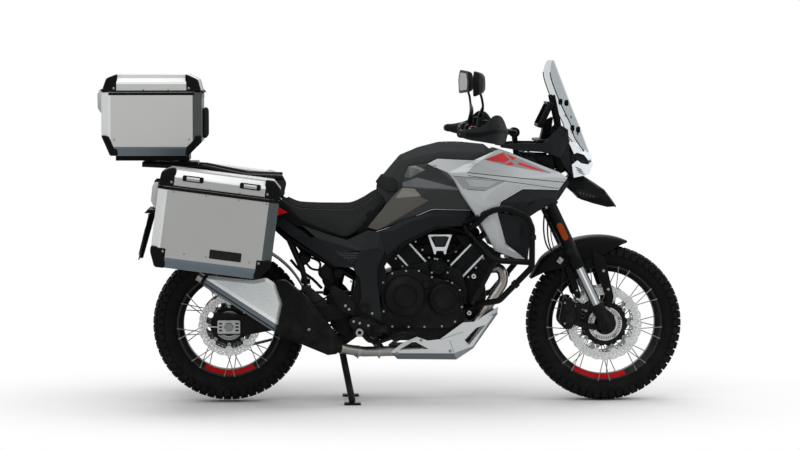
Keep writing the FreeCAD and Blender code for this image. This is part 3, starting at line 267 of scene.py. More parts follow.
def patch(control: Array, per_row: int = 5, per_column: int = 4, loop: bool = False) -> Array:
    """Grid through a control grid, smooth both ways.

    Args:
        control: (rows, columns, 3) control points.
        per_row: grid rows for each control row.
        per_column: grid columns for each control column.
        loop: the last column runs on to the first.

    Returns:
        (rows, columns, 3) grid.
    """
    control = np.asarray(control, float)
    rows, columns = control.shape[:2]
    tall = smooth(control.reshape(rows, -1), per_row).reshape(-1, columns, 3)
    wide = tall.transpose(1, 0, 2).reshape(columns, -1)
    return smooth(wide, per_column, loop).reshape(-1, tall.shape[0], 3).transpose(1, 0, 2)


def circle(radius: float, sides: int = 12) -> Array:
    """Round profile."""
    angle = np.linspace(0, 2 * math.pi, sides, endpoint=False)
    return np.stack([np.cos(angle), np.sin(angle)], 1) * radius


def sweep(path: Sequence[Sequence[float]], profile: Array, grow: Optional[Array] = None,
          up: Optional[Sequence[float]] = None, loop: bool = False) -> Form:
    """Profile carried along a path: P(i, j) = path_i + g_i (u_j side_i + v_j rise_i).

    Args:
        path: (n, 3) points.
        profile: (m, 2) closed outline, as (side, rise).
        grow: (n,) scale of the profile along the path.
        up: direction that `rise` stays near; the normal of the path's best plane if none is given.
        loop: the path is closed.

    Returns:
        A closed tube.
    """
    path = np.asarray(path, float)
    tangent = unit(np.roll(path, -1, 0) - np.roll(path, 1, 0)) if loop else unit(np.gradient(path, axis=0))
    if up is None:
        up = np.linalg.svd(path - path.mean(0))[2][2]
    side = unit(np.cross(tangent, up))
    rise = np.cross(side, tangent)
    scale = np.ones(len(path)) if grow is None else np.asarray(grow, float)
    u, v = profile[:, 0], profile[:, 1]
    spread = u[None, :, None] * side[:, None] + v[None, :, None] * rise[:, None]
    return net(path[:, None] + spread * scale[:, None, None], loop, True, not loop)


def tube(path: Sequence[Sequence[float]], radius: float, sides: int = 12, grow: Optional[Array] = None,
         loop: bool = False) -> Form:
    """Round bar along a path."""
    return sweep(path, circle(radius, sides), grow, None, loop)


def rods(starts: Array, ends: Array, radius: float, sides: int = 8) -> Form:
    """Round bars from each start to each end, all at once.

    Args:
        starts: (n, 3) middles of the first ends.
        ends: (n, 3) middles of the other ends.
        radius: of the bars.
        sides: faces round a bar.

    Returns:
        All the bars as one form.
    """
    starts, ends = np.atleast_2d(starts).astype(float), np.atleast_2d(ends).astype(float)
    run = unit(ends - starts)
    helper = np.where(np.abs(run[:, 2:]) > 0.9, (1.0, 0.0, 0.0), (0.0, 0.0, 1.0))
    side = unit(np.cross(run, helper))
    rise = np.cross(side, run)
    u, v = circle(radius, sides).T
    round_one = u[None, :, None] * side[:, None] + v[None, :, None] * rise[:, None]
    rings = np.stack([starts[:, None] + round_one, ends[:, None] + round_one], 1)
    template = capped(np.zeros((2, sides, 3)))
    shift = np.arange(len(starts))[:, None, None] * 2 * sides
    faces = [(block[None] + shift).reshape(-1, block.shape[1]) for block in template.faces]
    return outward(Form(rings.reshape(-1, 3), faces))


def lathe(profile: Sequence[Sequence[float]], centre: Sequence[float], sides: int = 48, first: float = 0.0,
          last: float = 360.0) -> Form:
    """Profile turned about an axle along Y: P(a, j) = centre + (r_j cos a, y_j, r_j sin a).

    Args:
        profile: (radius, y) rows; a closed outline.
        centre: the axle's (x, z).
        sides: steps round the axle.
        first: first angle in degrees above straight ahead.
        last: last angle; a full turn closes the form.

    Returns:
        A closed form.
    """
    rows = np.asarray(profile, float)
    whole = abs(last - first) >= 360
    angle = np.radians(np.linspace(first, last, sides, endpoint=not whole))[:, None]
    x = centre[0] + rows[:, 0] * np.cos(angle)
    z = centre[1] + rows[:, 0] * np.sin(angle)
    y = np.broadcast_to(rows[:, 1], x.shape)
    return net(np.stack([x, y, z], -1), whole, True, not whole)


def signed_area(outline: Array) -> float:
    """Area of a plane outline, positive if it runs from the first axis to the second."""
    x, z = outline[:, 0], outline[:, 1]
    return 0.5 * float(np.sum(x * np.roll(z, -1) - np.roll(x, -1) * z))


def inset(outline: Array, distance: float) -> Array:
    """Outline drawn in: a corner moves by distance times the sum of its edges' normals over 1 + their dot.

    Args:
        outline: (n, 2) closed outline.
        distance: to draw it in by.

    Returns:
        (n, 2) outline.
    """
    turn = 1.0 if signed_area(outline) > 0 else -1.0
    before = unit(outline - np.roll(outline, 1, 0))
    after = unit(np.roll(outline, -1, 0) - outline)
    n0 = np.stack([-before[:, 1], before[:, 0]], 1) * turn
    n1 = np.stack([-after[:, 1], after[:, 0]], 1) * turn
    dot = np.maximum(1 + np.sum(n0 * n1, 1), 0.35)
    return outline + distance * (n0 + n1) / dot[:, None]


def eased(outline: Sequence[Sequence[float]], radius: float, steps: int = 4) -> Array:
    """Closed outline with rounded corners, by the same curve as `bend`."""
    p = np.asarray(outline, float)
    return bend(np.vstack([p[-1:], p, p[:1]]), radius, steps)[1:-1]


def plate(outline: Sequence[Sequence[float]], y0: float, y1: float, edge: float = 2.0, steps: int = 2
          ) -> Form:
    """Side-view outline given thickness along Y, with rounded edges.

    A ring of an edge is drawn in by edge (1 - sin a) at a depth of edge (1 - cos a).

    Args:
        outline: (x, z) points.
        y0: one face.
        y1: the other face.
        edge: radius of the rounded edges.
        steps: rings round an edge.

    Returns:
        A closed form.
    """
    rows = np.asarray(outline, float)
    angle = np.linspace(0, math.pi / 2, steps + 1)
    draw = edge * (1 - np.sin(angle))
    depth = edge * (1 - np.cos(angle))
    ends = [(d, y0 + h) for d, h in zip(draw, depth)] + [(d, y1 - h) for d, h in zip(draw[::-1], depth[::-1])]
    rings = [np.insert(inset(rows, d), 1, y, axis=1) for d, y in ends]
    return capped(rings)


def holed(loops: Sequence[Array], y0: float, y1: float) -> Form:
    """Flat plate between y0 and y1: the first loop is its outline and the others are holes.

    Args:
        loops: (n, 2) outline, then those of the holes.
        y0: one face.
        y1: the other face.

    Returns:
        A closed form.
    """
    flat = [[Vector((p[0], p[1], 0.0)) for p in loop] for loop in loops]
    triangles = np.array(geometry.tessellate_polygon(flat), int)
    outline = np.vstack(loops)
    count = len(outline)
    points = np.vstack([np.insert(outline, 1, y0, axis=1), np.insert(outline, 1, y1, axis=1)])
    corners = outline[triangles]
    a, b = corners[:, 1] - corners[:, 0], corners[:, 2] - corners[:, 0]
    clockwise = a[:, 0] * b[:, 1] - a[:, 1] * b[:, 0] < 0
    triangles[clockwise] = triangles[clockwise][:, ::-1]
    faces = [triangles, triangles[:, ::-1] + count]
    start = 0
    for number, loop in enumerate(loops):
        index = np.arange(start, start + len(loop))
        if (signed_area(loop) > 0) != (number == 0):
            index = index[::-1]
        after = np.roll(index, -1)
        faces.append(np.stack([index, index + count, after + count, after], 1))
        start += len(loop)
    return outward(Form(points, faces))


def faceted(table: Sequence[Sequence[float]], ring: int, creases: Sequence[tuple[int, int]] = (),
            holes: Sequence[Sequence[int]] = (), thickness: float = 3.0) -> Form:
    """Bodywork panel of flat facets.

    Args:
        table: (x, z, y) rows: the outline's points in order, then those inside it.
        ring: number of rows in the outline.
        creases: pairs of rows that a fold runs between.
        holes: rows round each hole.
        thickness: of the panel, from its outer face towards the middle plane.

    Returns:
        A closed shell; its outer face joins the rows by constrained Delaunay triangles.
    """
    rows = np.asarray(table, float)
    edges = [(k, (k + 1) % ring) for k in range(ring)] + list(creases)
    edges += [(hole[k - 1], hole[k]) for hole in holes for k in range(len(hole))]
    flat = [Vector((x, z)) for x, z in rows[:, :2]]
    faces = [list(range(ring))]
    spots, _, cut, origin, *_ = geometry.delaunay_2d_cdt(flat, edges, faces, 1, 1e-4)
    where = np.array([source[0] if source else -1 for source in origin])
    if (where < 0).any():
        LOG.warning("lines of a panel cross at %s", [tuple(spots[k]) for k in np.flatnonzero(where < 0)])
    outer = np.stack([rows[where, 0], rows[where, 2], rows[where, 1]], 1)
    triangles = np.array(cut, int)
    centre = outer[triangles].mean(1)[:, (0, 2)]
    for hole in holes:
        triangles_in = inside(centre, rows[list(hole), :2])
        triangles, centre = triangles[~triangles_in], centre[~triangles_in]
    side = np.sign(outer[:, 1].mean())
    return outward(shell(Form(outer, [triangles]), (0.0, -side * thickness, 0.0)))


def inside(points: Array, outline: Array) -> Array:
    """Which points lie in an outline: those with an odd number of edges straight above them.

    Args:
        points: (n, 2) points.
        outline: (m, 2) closed outline.

    Returns:
        (n,) truth of each point.
    """
    a, b = outline[None], np.roll(outline, -1, 0)[None]
    x, z = points[:, :1], points[:, 1:]
    spans = (a[..., 0] > x) != (b[..., 0] > x)
    run = np.where(b[..., 0] == a[..., 0], 1e-9, b[..., 0] - a[..., 0])
    above = z < a[..., 1] + (x - a[..., 0]) * (b[..., 1] - a[..., 1]) / run
    return (spans & above).sum(1) % 2 == 1


def shell(form: Form, step: Sequence[float]) -> Form:
    """Open surface given a second skin shifted by a step, with its rim closed.

    Args:
        form: an open surface.
        step: shift of the second skin.

    Returns:
        A closed form.
    """
    count = len(form.points)
    faces = list(form.faces) + [block[:, ::-1] + count for block in form.faces]
    edges = np.vstack([np.stack([b, np.roll(b, -1, 1)], -1).reshape(-1, 2) for b in form.faces])
    key = np.sort(edges, 1)
    _, first, times = np.unique(key, axis=0, return_index=True, return_counts=True)
    rim = edges[first[times == 1]]
    faces.append(np.stack([rim[:, 1], rim[:, 0], rim[:, 0] + count, rim[:, 1] + count], 1))
    return outward(Form(np.vstack([form.points, form.points + step]), faces))


def skin(grid: Array, thickness: float) -> Form:
    """Grid given thickness along its own normals, the cross product of its row and column steps.

    Args:
        grid: (rows, columns, 3) points.
        thickness: of the wall, inwards from the grid.

    Returns:
        A closed form.
    """
    along_rows = np.gradient(grid, axis=0)
    along_columns = np.gradient(grid, axis=1)
    normal = unit(np.cross(along_rows, along_columns))
    both = np.concatenate([grid, (grid - normal * thickness)[:, ::-1]], axis=1)
    return capped(both)


def rounded_block(low: Sequence[float], high: Sequence[float], radius: float = 4.0, steps: int = 3) -> Form:
    """Block with rounded edges: P(a, b) = middle + (half - r) sign(n) + r n for n over the sphere.

    Args:
        low: corner with the least x, y and z.
        high: corner with the greatest.
        radius: of the edges.
        steps: faces round a quarter of an edge.

    Returns:
        A closed form.
    """
    low, high = np.asarray(low, float), np.asarray(high, float)
    half = (high - low) / 2
    quarter = np.linspace(0, math.pi / 2, steps + 1)
    around = np.concatenate([quarter + k * math.pi / 2 for k in range(4)])
    corner = np.repeat([(1, 1), (-1, 1), (-1, -1), (1, -1)], steps + 1, axis=0)
    up = np.concatenate([-quarter[::-1], quarter])
    level = np.repeat([-1, 1], steps + 1)
    reach = np.cos(up)[:, None]
    height = np.broadcast_to(np.sin(up)[:, None], (len(up), len(around)))
    n = np.stack([reach * np.cos(around), reach * np.sin(around), height], -1)
    grid = n.shape[:2]
    around_signs = [np.broadcast_to(c, grid) for c in corner.T]
    signs = np.stack([*around_signs, np.broadcast_to(level[:, None], grid)], -1)
    return capped((low + high) / 2 + (half - radius) * signs + radius * n)


def bolt(radius: float, height: float) -> Form:
    """Socket bolt along +Z: a round head with a chamfer and a six-sided recess, as rings of twelve points.

    Args:
        radius: of the head.
        height: of the head.

    Returns:
        A closed form that stands on the origin.
    """
    angle = np.linspace(0, 2 * math.pi, 12, endpoint=False)
    ring = np.stack([np.cos(angle), np.sin(angle)], 1)
    six = 0.5 / np.maximum(np.abs(np.cos((angle + math.pi / 6) % (math.pi / 3) - math.pi / 6)), 0.5)
    table = ((1.0, 0.0, 0), (1.0, 0.75, 0), (0.82, 1.0, 0), (0.0, 1.0, 1), (0.0, 0.45, 1))
    rings = []
    for share, rise, is_recess in table:
        reach = six * radius if is_recess else np.full(12, share * radius)
        rings.append(np.column_stack([ring * reach[:, None], np.full(12, rise * height)]))
    return capped(rings)


def bolts(spots: Sequence[Sequence[float]], radius: float, height: float,
          toward: Sequence[float] = (0, -1, 0)) -> Form:
    """Socket bolts at each spot, their heads facing one way.

    Args:
        spots: (n, 3) feet of the heads.
        radius: of a head.
        height: of a head.
        toward: direction that the heads face.

    Returns:
        All the heads as one form.
    """
    z_axis = unit(np.asarray(toward, float))
    x_axis = unit(np.cross(z_axis, (0.3, 0.2, 0.9)))
    axes = np.stack([x_axis, np.cross(z_axis, x_axis), z_axis])
    spots = np.atleast_2d(np.asarray(spots, float))
    return bolt(radius, height).copies(spots, np.broadcast_to(axes, (len(spots), 3, 3)))


def ring_spots(centre: Sequence[float], radius: float, y: float, count: int, first: float = 0.0) -> Array:
    """Points evenly round an axle along Y.

    Args:
        centre: x and z of the axle.
        radius: of the ring.
        y: of the ring.
        count: of points.
        first: degrees of the first point.

    Returns:
        (count, 3) points.
    """
    angle = np.radians(first) + np.linspace(0, 2 * math.pi, count, endpoint=False)
    x, z = centre[0] + radius * np.cos(angle), centre[1] + radius * np.sin(angle)
    return np.stack([x, np.full(count, y), z], 1)


# ---------------------------------------------------------------- finishes
class Grain(Enum):
    """Kinds of fine relief that a finish carries."""

    NONE = "none"
    MOULDED = "moulded"
    CAST = "cast"
    BRUSHED = "brushed"
    LEATHER = "leather"
    METALLIC = "metallic"


RELIEF = {                       # noise scale per metre, relief distance in metres
    Grain.MOULDED: (1500.0, 0.00010),
    Grain.CAST: (700.0, 0.00022),
    Grain.BRUSHED: (260.0, 0.00003),
    Grain.LEATHER: (420.0, 0.00035),
    Grain.METALLIC: (2600.0, 0.00001),
}
ZONE_STEEPNESS = 3000.0          # of the step between two colours, per metre
GROUPS: dict[str, bpy.types.NodeTree] = {}
MATERIALS: dict[str, bpy.types.Material] = {}


def new_group(name: str, inputs: Sequence[tuple[str, str, object]], outputs: Sequence[tuple[str, str]]
              ) -> tuple[bpy.types.NodeTree, bpy.types.Node, bpy.types.Node]:
    """Empty shader node group.

    Args:
        name: of the group.
        inputs: name, socket type and default of each input.
        outputs: name and socket type of each output.

    Returns:
        The group with its input and output nodes.
    """
    group = bpy.data.node_groups.new(name, "ShaderNodeTree")
    for label, kind, value in inputs:
        socket = group.interface.new_socket(label, in_out="INPUT", socket_type=kind)
        socket.default_value = value
    for label, kind in outputs:
        group.interface.new_socket(label, in_out="OUTPUT", socket_type=kind)
    return group, group.nodes.new("NodeGroupInput"), group.nodes.new("NodeGroupOutput")


def node(tree: bpy.types.NodeTree, kind: str, inputs: Optional[dict] = None, **settings: object
         ) -> bpy.types.Node:
    """Node with its settings, its inputs given as values or as sockets to link from.

    Args:
        tree: that it goes in.
        kind: its type, without the first word.
        inputs: value or socket for each input.
        settings: value of each property.

    Returns:
        The node.
    """
    made = tree.nodes.new("ShaderNode" + kind)
    for label, value in settings.items():
        setattr(made, label, value)
    for key, value in (inputs or {}).items():
        if isinstance(value, bpy.types.NodeSocket):
            tree.links.new(value, made.inputs[key])
        else:
            made.inputs[key].default_value = value
    return made


def maths(tree: bpy.types.NodeTree, operation: str, *values: object, clamp: bool = False
          ) -> bpy.types.NodeSocket:
    """Result of one Math node."""
    made = node(tree, "Math", dict(enumerate(values)), operation=operation, use_clamp=clamp)
    return made.outputs[0]


def relief_group() -> bpy.types.NodeTree:
    """Fine relief: noise at a scale, stretched by a vector, with a slower noise for patches of tone.

    Returns:
        The group.
    """
    if "relief" not in GROUPS:
        group, start, end = new_group("Fine relief", [("Scale", "NodeSocketFloat", 900.0),
            ("Stretch", "NodeSocketVector", (1.0, 1.0, 1.0)), ("Patch scale", "NodeSocketFloat", 9.0)],
            [("Height", "NodeSocketFloat"), ("Patches", "NodeSocketFloat")])
        place = node(group, "TexCoord").outputs["Object"]
        drawn = node(group, "VectorMath", {0: place, 1: start.outputs["Stretch"]}, operation="MULTIPLY")
        fine = node(group, "TexNoise", {"Vector": drawn.outputs[0], "Scale": start.outputs["Scale"],
            "Detail": 3.0, "Roughness": 0.6})
        slow = node(group, "TexNoise", {"Vector": place, "Scale": start.outputs["Patch scale"], "Detail": 5.0,
            "Roughness": 0.6})
        group.links.new(fine.outputs["Fac"], end.inputs["Height"])
        group.links.new(slow.outputs["Fac"], end.inputs["Patches"])
        GROUPS["relief"] = group
    return GROUPS["relief"]


def pebble_group() -> bpy.types.NodeTree:
    """Grained cover: rounded cells of two sizes.

    Returns:
        The group.
    """
    if "pebble" not in GROUPS:
        group, start, end = new_group("Grained cover", [("Scale", "NodeSocketFloat", 420.0)],
            [("Height", "NodeSocketFloat"), ("Creases", "NodeSocketFloat")])
        place = node(group, "TexCoord").outputs["Object"]
        cells = node(group, "TexVoronoi", {"Vector": place, "Scale": start.outputs["Scale"]},
            feature="SMOOTH_F1")
        wide = node(group, "TexNoise", {"Vector": place, "Scale": 28.0, "Detail": 4.0})
        height = maths(group, "MULTIPLY_ADD", cells.outputs["Distance"], -1.0, wide.outputs["Fac"])
        crease = maths(group, "SUBTRACT", cells.outputs["Distance"], 0.25, clamp=True)
        group.links.new(height, end.inputs["Height"])
        group.links.new(crease, end.inputs["Creases"])
        GROUPS["pebble"] = group
    return GROUPS["pebble"]


def wear_group() -> bpy.types.NodeTree:
    """Edge wear: convex edges, broken up by noise, take the worn colour; the mask is given out too.

    Returns:
        The group.
    """
    if "wear" not in GROUPS:
        group, start, end = new_group("Edge wear", [("Colour", "NodeSocketColor", (0.5, 0.5, 0.5, 1)),
            ("Worn colour", "NodeSocketColor", (0.6, 0.6, 0.6, 1)), ("Amount", "NodeSocketFloat", 0.3)],
            [("Colour", "NodeSocketColor"), ("Mask", "NodeSocketFloat")])
        pointed = node(group, "NewGeometry").outputs["Pointiness"]
        edge = node(group, "MapRange", {"Value": pointed, "From Min": 0.53, "From Max": 0.6})
        place = node(group, "TexCoord").outputs["Object"]
        broken = node(group, "TexNoise", {"Vector": place, "Scale": 120.0, "Detail": 4.0})
        spots = node(group, "MapRange", {"Value": broken.outputs["Fac"], "From Min": 0.4, "From Max": 0.62})
        mask = maths(group, "MULTIPLY", edge.outputs[0], spots.outputs[0])
        mask = maths(group, "MULTIPLY", mask, start.outputs["Amount"], clamp=True)
        mixed = node(group, "MixRGB", {"Fac": mask, "Color1": start.outputs["Colour"],
            "Color2": start.outputs["Worn colour"]})
        group.links.new(mixed.outputs[0], end.inputs["Colour"])
        group.links.new(mask, end.inputs["Mask"])
        GROUPS["wear"] = group
    return GROUPS["wear"]


def dust_group() -> bpy.types.NodeTree:
    """Road dust: more of it lower down, in patches.

    Returns:
        The group.
    """
    if "dust" not in GROUPS:
        group, start, end = new_group("Road dust", [("Colour", "NodeSocketColor", (0.5, 0.5, 0.5, 1)),
            ("Amount", "NodeSocketFloat", 0.1)], [("Colour", "NodeSocketColor"), ("Mask", "NodeSocketFloat")])
        place = node(group, "TexCoord").outputs["Object"]
        split = node(group, "SeparateXYZ", {0: place})
        low = node(group, "MapRange", {"Value": split.outputs["Z"], "From Min": 0.55, "From Max": 0.0})
        patches = node(group, "TexNoise", {"Vector": place, "Scale": 22.0, "Detail": 6.0})
        spread = node(group, "MapRange", {"Value": patches.outputs["Fac"], "From Min": 0.38, "From Max": 0.7})
        mask = maths(group, "MULTIPLY", low.outputs[0], spread.outputs[0])
        mask = maths(group, "MULTIPLY", mask, start.outputs["Amount"], clamp=True)
        mixed = node(group, "MixRGB", {"Fac": mask, "Color1": start.outputs["Colour"],
            "Color2": (0.36, 0.33, 0.29, 1)})
        group.links.new(mixed.outputs[0], end.inputs["Colour"])
        group.links.new(mask, end.inputs["Mask"])
        GROUPS["dust"] = group
    return GROUPS["dust"]


def use_group(tree: bpy.types.NodeTree, group: bpy.types.NodeTree, inputs: dict) -> bpy.types.Node:
    """A group placed in a material."""
    return node(tree, "Group", inputs, node_tree=group)


def linear(hex_colour: str) -> tuple[float, float, float, float]:
    """Colour written as six hexadecimal digits, in linear light.

    Args:
        hex_colour: the digits, two each of red, green and blue.

    Returns:
        Red, green, blue and one.
    """
    parts = np.array([int(hex_colour[k:k + 2], 16) for k in (0, 2, 4)]) / 255
    light = np.where(parts <= 0.04045, parts / 12.92, ((parts + 0.055) / 1.055) ** 2.4)
    return (*light.tolist(), 1.0)


def new_material(name: str) -> tuple[bpy.types.Material, bpy.types.NodeTree, bpy.types.Node]:
    """Empty material, kept under its name.

    Args:
        name: of the material.

    Returns:
        The material with its node tree and its Principled BSDF.
    """
    made = bpy.data.materials.new(name)
    made.use_nodes = True
    MATERIALS[name] = made
    return made, made.node_tree, made.node_tree.nodes["Principled BSDF"]


@dataclass(frozen=True)
class Zone:
    """Part of a painted panel, seen from the side: where every edge's distance is positive.

    Attributes:
        colour: of the zone.
        outline: convex (x, z) outline in millimetres.
    """

    colour: str
    outline: tuple[tuple[float, float], ...]

    def mask(self, tree: bpy.types.NodeTree, place: bpy.types.NodeSocket) -> bpy.types.NodeSocket:
        """Socket that is one inside the outline: the least of n . p + c over its edges, steepened.

        Args:
            tree: the material's nodes.
            place: socket of the Object coordinates.

        Returns:
            The socket.
        """
        corners = np.asarray(self.outline) * MM
        if signed_area(corners) < 0:
            corners = corners[::-1]
        run = unit(np.roll(corners, -1, 0) - corners)
        least = None
        for (x, z), (u, w) in zip(corners.tolist(), run.tolist()):
            normal = (-w, 0.0, u)
            away = node(tree, "VectorMath", {0: place, 1: normal}, operation="DOT_PRODUCT").outputs["Value"]
            away = maths(tree, "SUBTRACT", away, normal[0] * x + normal[2] * z)
            least = away if least is None else maths(tree, "MINIMUM", least, away)
        return maths(tree, "MULTIPLY_ADD", least, ZONE_STEEPNESS, 0.5, clamp=True)


@dataclass(frozen=True)
class Finish:
    """A surface finish, made into a material the first time it is used.

    Attributes:
        name: of the material.
        colour: base colour.
        metallic: 1 for bare metal.
        roughness: middle roughness.
        coat: weight of a clear coat.
        grain: kind of fine relief.
        relief: strength of that relief.
        tone: how far the colour and roughness vary from patch to patch.
        wear: amount of edge wear.
        worn: colour that shows through at worn edges.
        dust: amount of road dust low down.
        stretch: scale of the relief along each axis.
        zones: painted parts that differ in colour.
        sheen: specular level.
    """

    name: str
    colour: str
    metallic: float = 0.0
    roughness: float = 0.5
    coat: float = 0.0
    grain: Grain = Grain.MOULDED
    relief: float = 0.35
    tone: float = 0.12
    wear: float = 0.12
    worn: str = "5b5e61"
    dust: float = 0.05
    stretch: tuple[float, float, float] = (1.0, 1.0, 1.0)
    zones: tuple[Zone, ...] = ()
    sheen: float = 0.5

    def material(self) -> bpy.types.Material:
        """The material of this finish.

        Returns:
            The material, the same each time.
        """
        if self.name in MATERIALS:
            return MATERIALS[self.name]
        made, tree, shader = new_material(self.name)
        shader.inputs["Metallic"].default_value = self.metallic
        shader.inputs["Coat Weight"].default_value = self.coat
        shader.inputs["Coat Roughness"].default_value = 0.06
        shader.inputs["Specular IOR Level"].default_value = self.sheen
        glance = min(1.0, 0.2 + 1.8 * self.sheen)
        shader.inputs["Specular Tint"].default_value = (glance, glance, glance, 1.0)
        scale, distance = RELIEF.get(self.grain, (900.0, 0.00002))
        relief = use_group(tree, relief_group(), {"Scale": scale, "Stretch": self.stretch})
        patches = relief.outputs["Patches"]
        height = relief.outputs["Height"]
        if self.grain is Grain.LEATHER:
            height = use_group(tree, pebble_group(), {"Scale": scale}).outputs["Height"]
        colour = self.shaded(tree, self.painted(tree), patches, height)
        worn = use_group(tree, wear_group(), {"Colour": colour, "Worn colour": linear(self.worn),
            "Amount": self.wear})
        dusty = use_group(tree, dust_group(), {"Colour": worn.outputs["Colour"], "Amount": self.dust})
        tree.links.new(dusty.outputs["Colour"], shader.inputs["Base Color"])
        spread = maths(tree, "MULTIPLY_ADD", patches, self.tone * 1.2, self.roughness - 0.6 * self.tone)
        rough = maths(tree, "MULTIPLY_ADD", dusty.outputs["Mask"], 0.4, spread, clamp=True)
        tree.links.new(rough, shader.inputs["Roughness"])
        bump = node(tree, "Bump", {"Strength": self.relief, "Distance": distance, "Height": height})
        tree.links.new(bump.outputs[0], shader.inputs["Normal"])
        return made

    def painted(self, tree: bpy.types.NodeTree) -> bpy.types.NodeSocket:
        """Colour with its zones laid over it in order.

        Args:
            tree: the material's nodes.

        Returns:
            Socket of the colour.
        """
        place = node(tree, "TexCoord").outputs["Object"]
        colour = node(tree, "RGB").outputs[0]
        colour.default_value = linear(self.colour)
        for zone in self.zones:
            mask = zone.mask(tree, place)
            mixed = node(tree, "MixRGB", {"Fac": mask, "Color1": colour, "Color2": linear(zone.colour)})
            colour = mixed.outputs[0]
        return colour

    def shaded(self, tree: bpy.types.NodeTree, colour: bpy.types.NodeSocket, patches: bpy.types.NodeSocket,
               height: bpy.types.NodeSocket) -> bpy.types.NodeSocket:
        """Colour made lighter and darker by 1 + tone (patches - 1/2) and a little by the relief.

        Args:
            tree: the material's nodes.
            colour: socket of the painted colour.
            patches: socket of the slow noise.
            height: socket of the relief.

        Returns:
            Socket of the colour.
        """
        slow = maths(tree, "MULTIPLY_ADD", patches, self.tone * 1.6, 1 - self.tone * 0.8)
        fine = maths(tree, "MULTIPLY_ADD", height, self.tone * 0.5, 1 - self.tone * 0.25)
        factor = maths(tree, "MULTIPLY", slow, fine)
        return node(tree, "VectorMath", {0: colour, 1: factor}, operation="MULTIPLY").outputs[0]


@dataclass(frozen=True)
class Clear:
    """Glass or a clear plastic: a plain transmission, with fine scratches in its normal.

    Attributes:
        name: of the material.
        colour: of the light that comes through.
        roughness: of its faces.
        index: of refraction.
    """

    name: str
    colour: str
    roughness: float = 0.03
    index: float = 1.45

    def material(self) -> bpy.types.Material:
        """The material of this glass.

        Returns:
            The material, the same each time.
        """
        if self.name in MATERIALS:
            return MATERIALS[self.name]
        made, tree, shader = new_material(self.name)
        shader.inputs["Transmission Weight"].default_value = 1.0
        shader.inputs["IOR"].default_value = self.index
        relief = use_group(tree, relief_group(), {"Scale": 300.0, "Patch scale": 14.0})
        tint = node(tree, "MixRGB", {"Fac": maths(tree, "MULTIPLY", relief.outputs["Patches"], 0.05),
            "Color1": linear(self.colour), "Color2": (0.9, 0.9, 0.9, 1)}).outputs[0]
        tree.links.new(tint, shader.inputs["Base Color"])
        rough = maths(tree, "MULTIPLY_ADD", relief.outputs["Patches"], 0.03, self.roughness)
        tree.links.new(rough, shader.inputs["Roughness"])
        bump = node(tree, "Bump", {"Strength": 0.04, "Distance": 0.00002, "Height": relief.outputs["Height"]})
        tree.links.new(bump.outputs[0], shader.inputs["Normal"])
        return made


BLACK_PLASTIC = Finish("matt black plastic", "08090a", roughness=0.5, relief=0.5, worn="2a2b2d",
    sheen=0.14, tone=0.08)
DARK_PLASTIC = Finish("charcoal plastic", "131517", roughness=0.46, relief=0.4, worn="333537",
    sheen=0.2, tone=0.06)
MESH_PLASTIC = Finish("grey plastic mesh", "34373a", roughness=0.5, relief=0.4, sheen=0.2)
BLACK_PAINT = Finish("black powder coat", "060707", roughness=0.36, grain=Grain.CAST, relief=0.2,
    worn="3c3e40", sheen=0.16, tone=0.08)
BLACK_CAST = Finish("black cast aluminium", "0a0b0c", roughness=0.42, grain=Grain.CAST, relief=0.35,
    worn="45484b", sheen=0.16, tone=0.1)
FIN_CAST = Finish("dark grey cast aluminium", "25272a", roughness=0.42, grain=Grain.CAST, relief=0.35,
    worn="505356", sheen=0.12, tone=0.1)
BLACK_GLOSS = Finish("black gloss", "050606", roughness=0.2, coat=0.08, grain=Grain.METALLIC, relief=0.05,
    wear=0.05, sheen=0.2)
RIM_BLACK = Finish("black anodised rim", "08090a", roughness=0.34, grain=Grain.METALLIC, relief=0.1,
    worn="4c4e50", wear=0.1, sheen=0.25)
TANK_PAINT = Finish("dark grey metallic paint", "3a3c3d", roughness=0.42, grain=Grain.METALLIC, relief=0.1,
    tone=0.06, wear=0.03, dust=0.0, sheen=0.0)
SILVER = Finish("silver paint", "a6aaac", metallic=0.25, roughness=0.36, coat=0.2, grain=Grain.METALLIC,
    relief=0.1, tone=0.05, wear=0.04, worn="c9cccf", dust=0.0)
ALUMINIUM = Finish("brushed aluminium", "a4a5a4", metallic=0.45, roughness=0.45, grain=Grain.BRUSHED,
    relief=0.25, tone=0.04, wear=0.05, worn="c5c8ca", stretch=(0.12, 1.0, 3.0), dust=0.0)
PALE_ALUMINIUM = Finish("pale aluminium", "d2d4d5", metallic=0.3, roughness=0.4, grain=Grain.BRUSHED,
    relief=0.2, tone=0.04, wear=0.05, worn="dfe1e3", dust=0.0)
BRIGHT_STEEL = Finish("polished steel", "74777a", metallic=1.0, roughness=0.2, grain=Grain.METALLIC,
    relief=0.1, wear=0.1, tone=0.05)
STEEL = Finish("ground steel", "8f9295", metallic=0.8, roughness=0.33, grain=Grain.BRUSHED, relief=0.3)
DISC_STEEL = Finish("disc steel", "c2c5c3", metallic=0.5, roughness=0.35, grain=Grain.BRUSHED, relief=0.3,
    dust=0.02, wear=0.1)
EXHAUST_STEEL = Finish("stainless steel", "8a8682", metallic=0.95, roughness=0.3, grain=Grain.BRUSHED,
    relief=0.3, tone=0.2)
CHAIN_STEEL = Finish("oiled chain", "4a4a49", metallic=0.8, roughness=0.42, grain=Grain.CAST,
    relief=0.3, tone=0.25)
SPOKE_STEEL = Finish("spoke wire", "77746f", metallic=0.6, roughness=0.4, wear=0.0)
RUBBER = Finish("tyre rubber", "0d0d0e", roughness=0.72, grain=Grain.CAST, relief=0.4, tone=0.08, wear=0.0,
    dust=0.02, sheen=0.16)
GRIP_RUBBER = Finish("black rubber", "101011", roughness=0.7, relief=0.6, wear=0.1, sheen=0.2)
